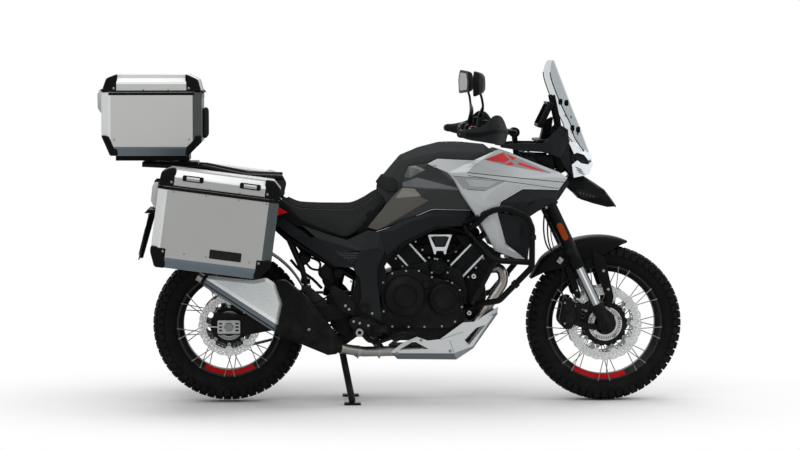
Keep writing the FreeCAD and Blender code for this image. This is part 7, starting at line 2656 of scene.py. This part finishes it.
    def exhaust(self) -> None:
        """Header pipes with clamps and their bolts."""
        refined("exhaust_headers", EXHAUST_STEEL, 0.0)
        clamps = []
        for a, b in (((120, -116, 220), (132, -116, 220)), ((-60, -128, 220), (-48, -127, 220)),
                ((-150, -152, 224), (-138, -147, 222))):
            clamps.append(rods([a], [b], 24, 24))
            mid = np.mean([a, b], 0)
            clamps.append(bolts([(mid[0], mid[1] - 4, mid[2] - 26)], 4, 6))
        piece("exhaust_clamps", merge(clamps), STEEL, "exhaust_headers")

    def silencer(self) -> None:
        """Silencer with a painted highlight band and a blue-grey lower flank of painted shade, black ends,
        and the folded shield ahead of it.
        """
        can = [(-766, 549), (-790, 513), (-487, 314), (-473, 337), (-454, 432), (-484, 515),
            (-520, 538), (-571, 527)]
        # Painted highlight: a thin pale band along the top of the lower flank; painted shade: the blue-grey
        # lower flank.
        painted_light_zones = (Zone("e6e9ea", ((-800, 560), (-764, 549), (-455, 350), (-480, 300), (-800, 500))),
            Zone("59646a", ((-800, 556), (-774, 540), (-462, 336), (-484, 296), (-800, 490))))
        skin_paint = Finish("silencer can", "cfd2d2", metallic=0.25, roughness=0.38, grain=Grain.BRUSHED,
            relief=0.4, tone=0.06, dust=0.02, zones=painted_light_zones)
        outline = eased(can, 8, 3)
        body = plate(outline, -267, -239, 14, 1) + plate(inset(outline, 15), -245, -169, 5, 1)
        piece("silencer", body, skin_paint, "exhaust_muffler", crease=20)
        end = plate(eased([(-769, 553), (-792, 515), (-776, 503), (-752, 542)], 4, 2), -262, -174, 8, 2)
        outlet = tube([(-770, -218, 525), (-800, -218, 544)], 21, 24)
        mouth = lathe([(15, -6), (21, -6), (22, 0), (15, 3)], (0, 0), 24).turned(90, axis=(0, 0, 1))
        mouth = mouth.turned(32).moved(-797, -218, 542)
        piece("silencer_end", end, BLACK_PAINT, "exhaust_muffler")
        piece("silencer_outlet", outlet + mouth, EXHAUST_STEEL, "exhaust_muffler")
        rows = [(-484, 524, -262), (-442, 526, -262), (-362, 463, -262), (-268, 348, -262), (-208, 262, -250),
            (-208, 243, -250), (-234, 222, -252), (-268, 218, -254), (-487, 310, -256), (-473, 337, -264),
            (-454, 432, -268), (-373, 462, -271), (-467, 350, -270), (-380, 309, -271), (-255, 239, -262),
            (-320, 380, -271)]
        shield = faceted(rows, 11, ((10, 11), (11, 15), (15, 14), (12, 13), (13, 14), (9, 12),
            (13, 15)), (), 4)
        back = plate(eased([row[:2] for row in rows[:10]], 4, 2), -252, -166, 4, 1)
        piece("silencer_shield", shield, BLACK_PLASTIC, "muffler_heat_shield", bevel=1.5, crease=3)
        piece("silencer_shield_back", back, BLACK_PLASTIC, "muffler_heat_shield")
        screws = bolts([(-346, -271, 326)], 6, 3)
        piece("silencer_shield_bolts", screws, BRIGHT_STEEL, "muffler_heat_shield")

    def skid_plate(self) -> None:
        """Skid plate: folded sides, each with a window and a slot, joined by its floor."""
        rows = [(-5, 220, -146), (44, 258, -150), (102, 282, -150), (147, 266, -150), (198, 271, -150),
            (293, 340, -146), (337, 343, -144), (433, 384, -136), (441, 405, -132), (438, 377, -122),
            (335, 232, -126), (267, 187, -128), (23, 190, -128), (2, 214, -147), (255, 212, -149),
            (334, 240, -144), (430, 378, -130), (29, 228, -150), (90, 264, -150), (150, 231, -150),
            (300, 268, -148), (350, 318, -146), (388, 330, -142), (318, 246, -146), (198, 250, -150)]
        holes = ((17, 18, 19), (20, 21, 22, 23))
        creases = ((13, 14), (14, 15), (15, 16), (4, 24), (24, 14), (0, 13), (16, 8))
        side = faceted(rows, 13, creases, holes, self.skid_wall)
        floor = np.array([row[:2] for row in (rows[9], rows[10], rows[11], rows[12], rows[0])], float)
        y = np.array([122, 126, 128, 128, 146], float)
        grid = np.stack([np.stack([floor[:, 0], -y, floor[:, 1]], 1),
            np.stack([floor[:, 0], y, floor[:, 1]], 1)], 1)
        keel = skin(grid[::-1], self.skid_wall)
        # Painted shade on the skid plate: a darker blue-grey band low down, darker facets at the front, and
        # thin dark lines along the folds.
        painted_light_zones = (Zone("5c6467", ((-8, 214), (256, 212), (270, 180), (20, 180))),
            Zone("8b9396", ((255, 212), (334, 240), (345, 225), (270, 180))),
            Zone("7b8386", ((334, 240), (430, 378), (446, 384), (340, 225))),
            Zone("4a4f51", ((238, 266), (240, 266), (257, 213), (255, 213))),
            Zone("4a4f51", ((198, 270), (293, 302), (293, 300), (198, 268))))
        paint = Finish("skid plate aluminium", "c0c3c4", metallic=0.3, roughness=0.4, grain=Grain.BRUSHED,
            relief=0.4, tone=0.07, worn="dfe1e3", dust=0.05, zones=painted_light_zones)
        piece("skid_plate_panels", side.both_sides() + keel, paint, "skid_plate", bevel=0.8, crease=3)
        ribs = merge(rounded_block((60, y - 5, 184), (250, y + 5, 188), 2, 2) for y in (-90, -45, 0, 45, 90))
        piece("skid_plate_ribs", ribs, ALUMINIUM, "skid_plate")
        screws = bolts([(20, -149, 212), (240, -150, 222), (420, -133, 372), (120, -150, 268)], 6, 3)
        piece("skid_plate_bolts", screws.both_sides(), BRIGHT_STEEL, "skid_plate")


# ---------------------------------------------------------------- seats, tail, chassis, stands
def cushion(rows: Sequence[Sequence[float]]) -> Form:
    """Crowned cushion through cross-sections.

    Args:
        rows: (x, half width at the seam, z of the crown, z of the seam, half width and z of the lower edge).

    Returns:
        A closed surface with smooth sections between the rows.
    """
    table = np.asarray(rows, float)
    x, half, crown, seam, low_half, low = table.T
    ring = [(low_half * 0.5, low), (low_half * 0.94, low), (low_half, low + 4),
        ((half + low_half) / 2 + 1, (seam + low) / 2), (half, seam - 3), (half * 0.97, seam + 1),
        (half * 0.72, (crown * 3 + seam) / 4), (half * 0.3, crown)]
    right = np.stack([np.stack([x, -across, z], -1) for across, z in ring], 1)
    grid = np.concatenate([right, right[:, ::-1] * (1, -1, 1)], axis=1)
    return outward(capped(patch(grid, 4, 2, True)))


def stitches(path: Array, length: float = 7.0, gap: float = 4.0, radius: float = 0.9) -> Form:
    """Row of thread dashes along a path.

    Args:
        path: (n, 3) line that the thread follows.
        length: of a dash.
        gap: between dashes.
        radius: of the thread.

    Returns:
        All the dashes as one form.
    """
    runs = np.linalg.norm(np.diff(path, axis=0), axis=1)
    far = np.concatenate([[0.0], np.cumsum(runs)])
    starts = np.arange(2.0, far[-1] - length, length + gap)
    ends = [np.stack([np.interp(starts + more, far, path[:, k]) for k in range(3)], 1)
        for more in (0.0, length)]
    return rods(ends[0], ends[1], radius, 6)


def helix(foot: Array, top: Array, radius: float, turns: int, steps: int) -> Array:
    """Coil about a line: foot + run t / n + r (across cos 2 pi t + (0, 1, 0) sin 2 pi t), t up to n turns.

    Args:
        foot: start of the line.
        top: end of the line.
        radius: of the coil.
        turns: number of turns.
        steps: points in a turn.

    Returns:
        (n, 3) points.
    """
    run = top - foot
    across = np.array([run[2], 0, -run[0]]) / np.linalg.norm(run)
    turn = np.linspace(0, turns, turns * steps + 1)[:, None]
    angle = turn * 2 * math.pi
    return foot + run * turn / turns + radius * (across * np.cos(angle) + np.array([0, 1, 0]) * np.sin(angle))


@dataclass
class Seats:
    """Rider's and passenger's seats, each with its seams.

    Attributes:
        fill: share of a cushion's hardness; not used.
        piping: radius of the rider's piping.
        lift: distance of the threads' middle outside the cover.
    """

    fill: float = 0.75
    piping: float = 1.8
    lift: float = 0.8

    def seam(self, rows: Sequence[Sequence[float]], x: Array, drop: float, out: float, pad: Form) -> Array:
        """Line that runs along a cushion's right side, laid on its surface.

        Args:
            rows: cross-sections of the cushion, as `cushion` takes them.
            x: places along the seat.
            drop: distance below the seam.
            out: distance outside the seam at which the line is laid on.
            pad: the cushion.

        Returns:
            (n, 3) points.
        """
        table = np.array(rows)
        y, z = (np.interp(x, table[:, 0], table[:, k]) for k in (1, 3))
        return laid(np.stack([x, -y - out, z - drop], 1), pad, self.lift)

    def build(self) -> None:
        """Make both seats, their piping and stitches."""
        rider = [(-456, 106, 866, 858, 112, 852), (-448, 118, 862, 853, 124, 842),
            (-420, 128, 848, 838, 138, 800), (-381, 136, 832, 822, 148, 763), (-310, 143, 827, 817, 150, 730),
            (-246, 145, 826, 816, 150, 706), (-196, 142, 826, 816, 149, 690), (-160, 137, 829, 819, 145, 703),
            (-112, 124, 852, 841, 134, 740), (-66, 106, 884, 872, 118, 776), (-34, 90, 897, 886, 104, 822),
            (-14, 80, 897, 886, 92, 856)]
        pad = swollen(cushion(rider))
        made = piece("rider_seat_cushion", pad, SEAT_COVER, "rider_seat", crease=50, subdivide=1)
        x = np.linspace(-452, -24, 90)
        upper, lower = self.seam(rider, x, 7.0, 0.95, pad), self.seam(rider, x, 2.0, 0.7, pad)
        piece("rider_seat_stitches", stitches(upper).both_sides(), THREAD, "rider_seat")
        piece("rider_seat_piping", tube(lower, self.piping, 8).both_sides(), SEAT_COVER, "rider_seat")
        passenger = [(-790, 92, 926, 912, 90, 872), (-772, 104, 938, 922, 104, 868),
            (-730, 120, 948, 932, 120, 867), (-640, 132, 954, 938, 132, 867), (-540, 134, 955, 938, 134, 867),
            (-476, 128, 954, 936, 128, 864), (-448, 118, 946, 922, 122, 858), (-436, 104, 920, 896, 112, 858)]
        pad = swollen(cushion(passenger))
        made = piece("passenger_seat_cushion", pad, SEAT_COVER, "passenger_seat", crease=50, subdivide=1)
        path = self.seam(passenger, np.linspace(-780, -456, 70), 5.0, 0.6, pad)
        piece("passenger_seat_stitches", stitches(path).both_sides(), THREAD, "passenger_seat")


@dataclass
class Tail:
    """Tail cover, lights, mudguard with its bare plate, and the guard over the rear wheel.

    Attributes:
        plate_half: half width and half height of the bare number plate.
        plate_at: (x, z) of its middle.
        plate_tilt: degrees that its top leans forward.
    """

    plate_half: tuple[float, float] = (90.0, 58.0)
    plate_at: tuple[float, float] = (-1034.0, 676.0)
    plate_tilt: float = 14.0

    def build(self) -> None:
        """Make every part."""
        refined("tail_cover", DARK_PLASTIC, 2.5)
        flash = plate([(-540, 832), (-471, 822), (-432, 799), (-471, 787), (-540, 798)], -154, -140, 0.6, 1)
        base = plate(eased([(-500, 864), (-458, 858), (-400, 790), (-378, 772), (-250, 716), (-180, 694),
            (-230, 682), (-372, 738), (-416, 744), (-500, 790)], 4, 2), -140, -126, 2)
        nose = plate(eased([(-140, 694), (-50, 704), (-30, 790), (-90, 806), (-150, 750)], 6, 2),
            -128, -112, 2)
        piece("seat_bases", (base + nose).both_sides(), BLACK_PLASTIC, "tail_cover")
        piece("tail_flashes", flash.both_sides(), RED_PAINT, "tail_cover")
        refined("tail_light", RED_LENS, 1.5)
        refined("rear_indicators", AMBER_LENS, 2.0)
        pod = plate(eased([(-1024, 795), (-984, 795), (-978, 809), (-1006, 811)], 3, 2), -120, -62, 3)
        bar = rods([(-1000, -70, 803)], [(-1000, 70, 803)], 6, 14)
        stalks = (rods([(-944, -26, 846)], [(-955, -92, 850)], 6.4, 14) + pod).both_sides() + bar
        piece("rear_indicator_stalks", stalks, BLACK_PLASTIC, "rear_indicators")
        refined("rear_mudguard", BLACK_PLASTIC, 2.0)
        y, z = self.plate_half
        blank = rounded_block((-2, -y, -z), (0, y, z), 1.0, 2).turned(self.plate_tilt)
        blank = blank.moved(self.plate_at[0], 0, self.plate_at[1])
        piece("number_plate_blank", blank, PALE_ALUMINIUM, "rear_mudguard")
        refined("rear_hugger", BLACK_PLASTIC, 2.0)
        lamp = lathe([(0.1, -12), (9, -12), (12, -8), (12, 8), (0.1, 8)], (0, 0), 24)
        lamp = lamp.turned(90, axis=(0, 0, 1)).moved(-1004, 0, 776)
        piece("plate_reflector", lamp, RED_LENS, "rear_mudguard")


@dataclass
class Chassis:
    """Frame, swingarm, shock, chain, rear brake, crash bars, pegs and stands.

    Attributes:
        sprocket: (x, z) of the front sprocket.
        chain_radii: radii of the chain's line round the rear sprocket and the front one.
        chain_pitch: distance from roller to roller.
        coil: radius and number of turns of the shock's spring.
        stand_coil: radius and number of turns of the stands' springs.
    """

    sprocket: tuple[float, float] = (-42.0, 404.0)
    chain_radii: tuple[float, float] = (118.0, 44.0)
    chain_pitch: float = 15.875
    coil: tuple[float, int] = (29.0, 7)
    stand_coil: tuple[float, int] = (6.0, 22)

    def build(self) -> None:
        """Make every part."""
        for name, finish, bevel in (("main_frame", BLACK_PAINT, 1.5), ("subframe", BLACK_PAINT, 0.8),
                ("swingarm", BLACK_PAINT, 2.5), ("rear_shock", BLACK_CAST, 1.0),
                ("rear_brake_caliper", BLACK_CAST, 2.0), ("crash_bars", BLACK_PAINT, 0.0),
                ("footpegs", BLACK_CAST, 1.5), ("foot_controls", BLACK_CAST, 1.2),
                ("centre_stand", BLACK_PAINT, 1.2), ("side_stand", BLACK_PAINT, 1.2)):
            refined(name, finish, bevel)
        self.spring()
        self.chain()
        self.axle_blocks()
        self.heel_plates()
        self.small_parts()

    def spring(self) -> None:
        """Coil spring of the shock with its collars, and the preload knob beside it."""
        foot, top = np.array([-262.0, 0, 398]), np.array([-205.0, 0, 630])
        run = top - foot
        path = helix(foot + 0.22 * run, foot + 0.78 * run, *self.coil, 24)
        piece("rear_shock_spring", tube(path, 5, 10), RED_PAINT, "rear_shock")
        collars = merge(rods([foot + run * a], [foot + run * b], 35, 28)
            for a, b in ((0.17, 0.21), (0.79, 0.84)))
        piece("rear_shock_collars", collars, BLACK_CAST, "rear_shock", bevel=1.0)
        knob = lathe([(0.1, -136), (18, -136), (24, -130), (26, -112), (20, -108), (20, -98), (0.1, -98)],
            (-367, 603), 12)
        arm = plate(eased([(-400, 586), (-340, 586), (-330, 640), (-372, 660)], 8, 2), -108, -100, 2)
        hose = tube(smooth([(-367, -100, 603), (-330, -84, 560), (-270, -60, 560), (-232, -20, 600)], 8), 5,
            10)
        piece("preload_knob", merge([knob, arm, hose]), BLACK_PLASTIC, "rear_shock", bevel=0.8)

    def chain(self) -> None:
        """Drive chain: plates and rollers at every pitch of a loop round the two sprockets."""
        rear, front = np.array(REAR_AXLE), np.array(self.sprocket)
        big, little = self.chain_radii
        gap = front - rear
        heading = math.atan2(gap[1], gap[0])
        open_angle = math.acos((big - little) / np.hypot(*gap))
        back = np.linspace(heading + open_angle, heading + 2 * math.pi - open_angle, 90)
        ahead = np.linspace(heading - open_angle, heading + open_angle, 40)
        rear_arc = rear + big * np.stack([np.cos(back), np.sin(back)], 1)
        front_arc = front + little * np.stack([np.cos(ahead), np.sin(ahead)], 1)
        loop = np.concatenate([rear_arc, front_arc, rear_arc[:1]])
        far = np.concatenate([[0.0], np.cumsum(np.hypot(*np.diff(loop, axis=0).T))])
        count = 2 * round(far[-1] / self.chain_pitch / 2)
        at = np.arange(count + 1) * far[-1] / count
        spots = np.stack([np.interp(at, far, loop[:, k]) for k in range(2)], 1)
        mids, runs = (spots[1:] + spots[:-1]) / 2, np.diff(spots, axis=0)
        turn = -np.degrees(np.arctan2(runs[:, 1], runs[:, 0]))
        outline = eased([(-13, 0), (-9, 6.4), (-3, 5), (3, 5), (9, 6.4), (13, 0), (9, -6.4), (3, -5),
            (-3, -5), (-9, -6.4)], 2, 1)
        forms = []
        for start, planes in ((0, ((92.4, 94.6), (105.4, 107.6))), (1, ((94.8, 97.0), (103.0, 105.2)))):
            link = merge(plate(outline, a, b, 0.4, 1) for a, b in planes)
            frames = np.stack([turn_matrix(t, (0, 1, 0)).T for t in turn[start::2]])
            forms.append(link.copies(np.insert(mids[start::2], 1, 0.0, axis=1), frames))
        roller = lathe([(0.1, 92), (2.6, 92), (2.6, 97), (5, 97), (5, 103), (2.6, 103), (2.6, 108),
            (0.1, 108)], (0, 0), 8)
        forms.append(roller.copies(np.insert(spots[:-1], 1, 0.0, axis=1), np.stack([np.eye(3)] * count)))
        teeth = lathe([(0.1, 97.5), (40, 97.5), (46, 99), (46, 101), (40, 102.5), (0.1, 102.5)],
            self.sprocket, 15)
        piece("drive_chain_links", merge([*forms, teeth]), CHAIN_STEEL, "drive_chain")

    def axle_blocks(self) -> None:
        """Chain adjusters at the ends of the swingarm with black strips for their grooves' shade, bolts and
        the axle's nut.
        """
        block = plate(eased([(-722, 298), (-628, 298), (-628, 354), (-722, 354)], 4, 2), -157, -149, 2)
        # Painted shade: the adjusters' grooves are thin black strips laid on the block.
        slots = merge(plate(eased([(a, z - 3.5), (b, z - 3.5), (b, z + 3.5), (a, z + 3.5)], 2, 2), -158, -156,
            0.4, 1) for z in (312, 326, 340) for a, b in ((-716, -702), (-648, -634)))
        nut = lathe([(0.1, -160), (7, -160), (8, -158), (9, -164), (17, -164), (20, -160), (20, -150),
            (0.1, -150)], REAR_AXLE, 6)
        washer = lathe([(0.1, -159), (25, -159), (26, -156), (26, -150), (0.1, -150)], REAR_AXLE, 32)
        screws = rods([(-752, -152, 326)], [(-720, -152, 326)], 4, 10)
        piece("chain_adjusters", merge([block, washer]).both_sides(), ALUMINIUM, "swingarm", bevel=0.6)
        piece("axle_nuts", merge([nut, screws]).both_sides(), BRIGHT_STEEL, "swingarm", bevel=0.6)
        piece("adjuster_groove_shade", slots.both_sides(), BLACK_GLOSS, "swingarm")

    def heel_plates(self) -> None:
        """Heel guard, rear-set plate and brake linkage beside the right peg."""
        heel = plate(eased([(-262, 478), (-246, 503), (-190, 471), (-152, 420), (-162, 372), (-209, 395),
            (-228, 414)], 8, 2), -196, -188, 2)
        rear_set = plate(eased([(-182, 356), (-150, 372), (-90, 352), (-40, 330), (-36, 300), (-66, 290),
            (-130, 300), (-168, 320)], 8, 2), -188, -176, 3)
        dome = lathe([(0.1, -200), (12, -200), (14, -196), (22, -196), (25, -192), (25, -180), (0.1, -180)],
            (-62, 312), 32)
        ring = lathe([(8, -212), (15, -212), (17, -209), (17, -196), (8, -196)], (-137, 306), 24)
        piece("heel_guard", merge([heel, rear_set, dome]).both_sides(), BLACK_CAST,
            "foot_controls", bevel=0.6)
        piece("peg_ring", ring, STEEL, "foot_controls", bevel=0.6)
        spots = [(x, -196, z) for x, z in ((-195, 416), (-180, 401))]
        spots += [(x, -188, z) for x, z in ((-136, 343), (-100, 333), (-161, 350))]
        piece("heel_guard_bolts", bolts(spots, 5.5, 3.5).both_sides(), STEEL, "foot_controls")

    def small_parts(self) -> None:
        """Clamps of the crash bars, springs of the stands, brake hose and its reservoir."""
        clamps = [((566.2, -297.5, 712), (566.4, -296, 694)), ((508, -256, 514), (496, -250, 502))]
        collars = merge(rods([a], [b], 17, 20) for a, b in clamps)
        run = np.array([(410, -270, 812), (378, -252, 793), (326, -206, 738), (312, -168, 724)], float)
        prop = np.array([(437, -196, 628), (330, -168, 420)], float)
        tubes = (tube(smooth(run, 6), 12.5, 20) + tube(prop, 11, 16)).both_sides()
        piece("crash_bar_stays", tubes, BLACK_PAINT, "crash_bars")
        piece("crash_bar_clamps", collars.both_sides(), BLACK_CAST, "crash_bars", bevel=0.8)
        pedal = tube(smooth([(-133, -186, 307), (-74, -188, 264), (-10, -188, 280), (56, -188, 298)], 8), 8,
            14) + rounded_block((54, -196, 298), (98, -172, 307), 3)
        piece("brake_pedal_arm", pedal, BLACK_CAST, "foot_controls")
        for stand, a, b in (("centre_stand", (-208, 92, 250), (-150, 92, 290)),
                ("side_stand", (-150, 176, 276), (-80, 176, 268))):
            path = helix(np.array(a, float), np.array(b, float), *self.stand_coil, 10)
            piece(stand + "_spring", tube(path, 1.3, 6), STEEL, stand, body="chassis")
        cup = lathe([(0.1, -150), (19, -150), (20, -147), (20, -112), (0.1, -112)], (-222, 546), 28)
        hose = tube(smooth([(-222, -130, 528), (-240, -128, 470), (-330, -140, 420), (-480, -136, 392),
            (-590, -110, 436)], 8), 4, 10)
        piece("rear_brake_reservoir", cup + hose, BLACK_PLASTIC, "rear_brake_caliper", bevel=0.5)
        bracket = plate(eased([(-410, 700), (-330, 690), (-296, 640), (-236, 612), (-246, 590), (-330, 612),
            (-372, 640), (-414, 672)], 6, 2), -108, -98, 2)
        lower = plate(eased([(-300, 560), (-262, 600), (-236, 590), (-240, 500), (-262, 470), (-286, 500)], 6,
            2), -104, -94, 2)
        pipes = [tube(smooth(points, 8), radius, 10) for radius, points in ((5, ((-400, -104, 668),
            (-360, -112, 622), (-300, -110, 590), (-300, -108, 540), (-262, -104, 500))),
            (4, ((-372, -108, 690), (-340, -116, 640), (-282, -112, 626), (-230, -100, 590))),
            (6, ((-420, -96, 600), (-380, -100, 556), (-330, -98, 520), (-290, -96, 480))))]
        heel = plate(eased([(-274, 452), (-150, 440), (-146, 322), (-196, 280), (-252, 318)], 8,
            2), -100, -90, 2)
        piece("rear_brackets", merge([bracket, lower, heel, *pipes]), BLACK_CAST, "subframe")
        guard = [(-384, 470, -66), (-340, 486, -70), (-262, 420, -72), (-226, 344, -72), (-289, 330, -72),
            (-340, 380, -70), (-300, 400, -80)]
        piece("hugger_side", faceted(guard, 6, ((0, 6), (6, 3), (6, 1), (6, 4)), (), 4), MESH_PLASTIC,
            "rear_hugger", bevel=1.0, crease=4)
        screws = bolts([(-576, -113, 424), (-612, -113, 382)], 5, 3)
        piece("rear_caliper_bolts", screws, STEEL, "rear_brake_caliper")


# ---------------------------------------------------------------- the motorcycle
FRONT_WHEEL = Wheel("front", FRONT_AXLE, 326, 120, 241, 60, ((12.5, 11, 13.2, 0.0, 0.12),
    (37, 10, 12.8, 0.06, -0.1), (62, 11, 13.2, 0.0, 0.0)), (30, 38, 50), ((-125, -67),))
REAR_WHEEL = Wheel("rear", REAR_AXLE, 318, 150, 216, 55, ((15, 13, 14.2, 0.0, 0.12),
    (46, 12.5, 13.8, 0.06, -0.1), (78, 12, 14.2, 0.0, 0.0)), (38, 44, 60), ((-120, -60),))
SECTIONS = (Fork, Cockpit, Nose, Bodywork, Luggage, PowerUnit, Seats, Tail, Chassis)


def main() -> None:
    """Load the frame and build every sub-assembly in order."""
    logging.basicConfig(level=logging.INFO, format="%(message)s")
    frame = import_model()
    read_frame(frame)
    Stage().build()
    for wheel in (FRONT_WHEEL, REAR_WHEEL):
        wheel.build()
    dress_front_wheel(FRONT_AXLE)
    dress_rear_wheel(REAR_AXLE)
    for section in SECTIONS:
        section().build()
    bpy.context.scene.view_settings.view_transform = "Standard"


if __name__ == "__main__":
    main()
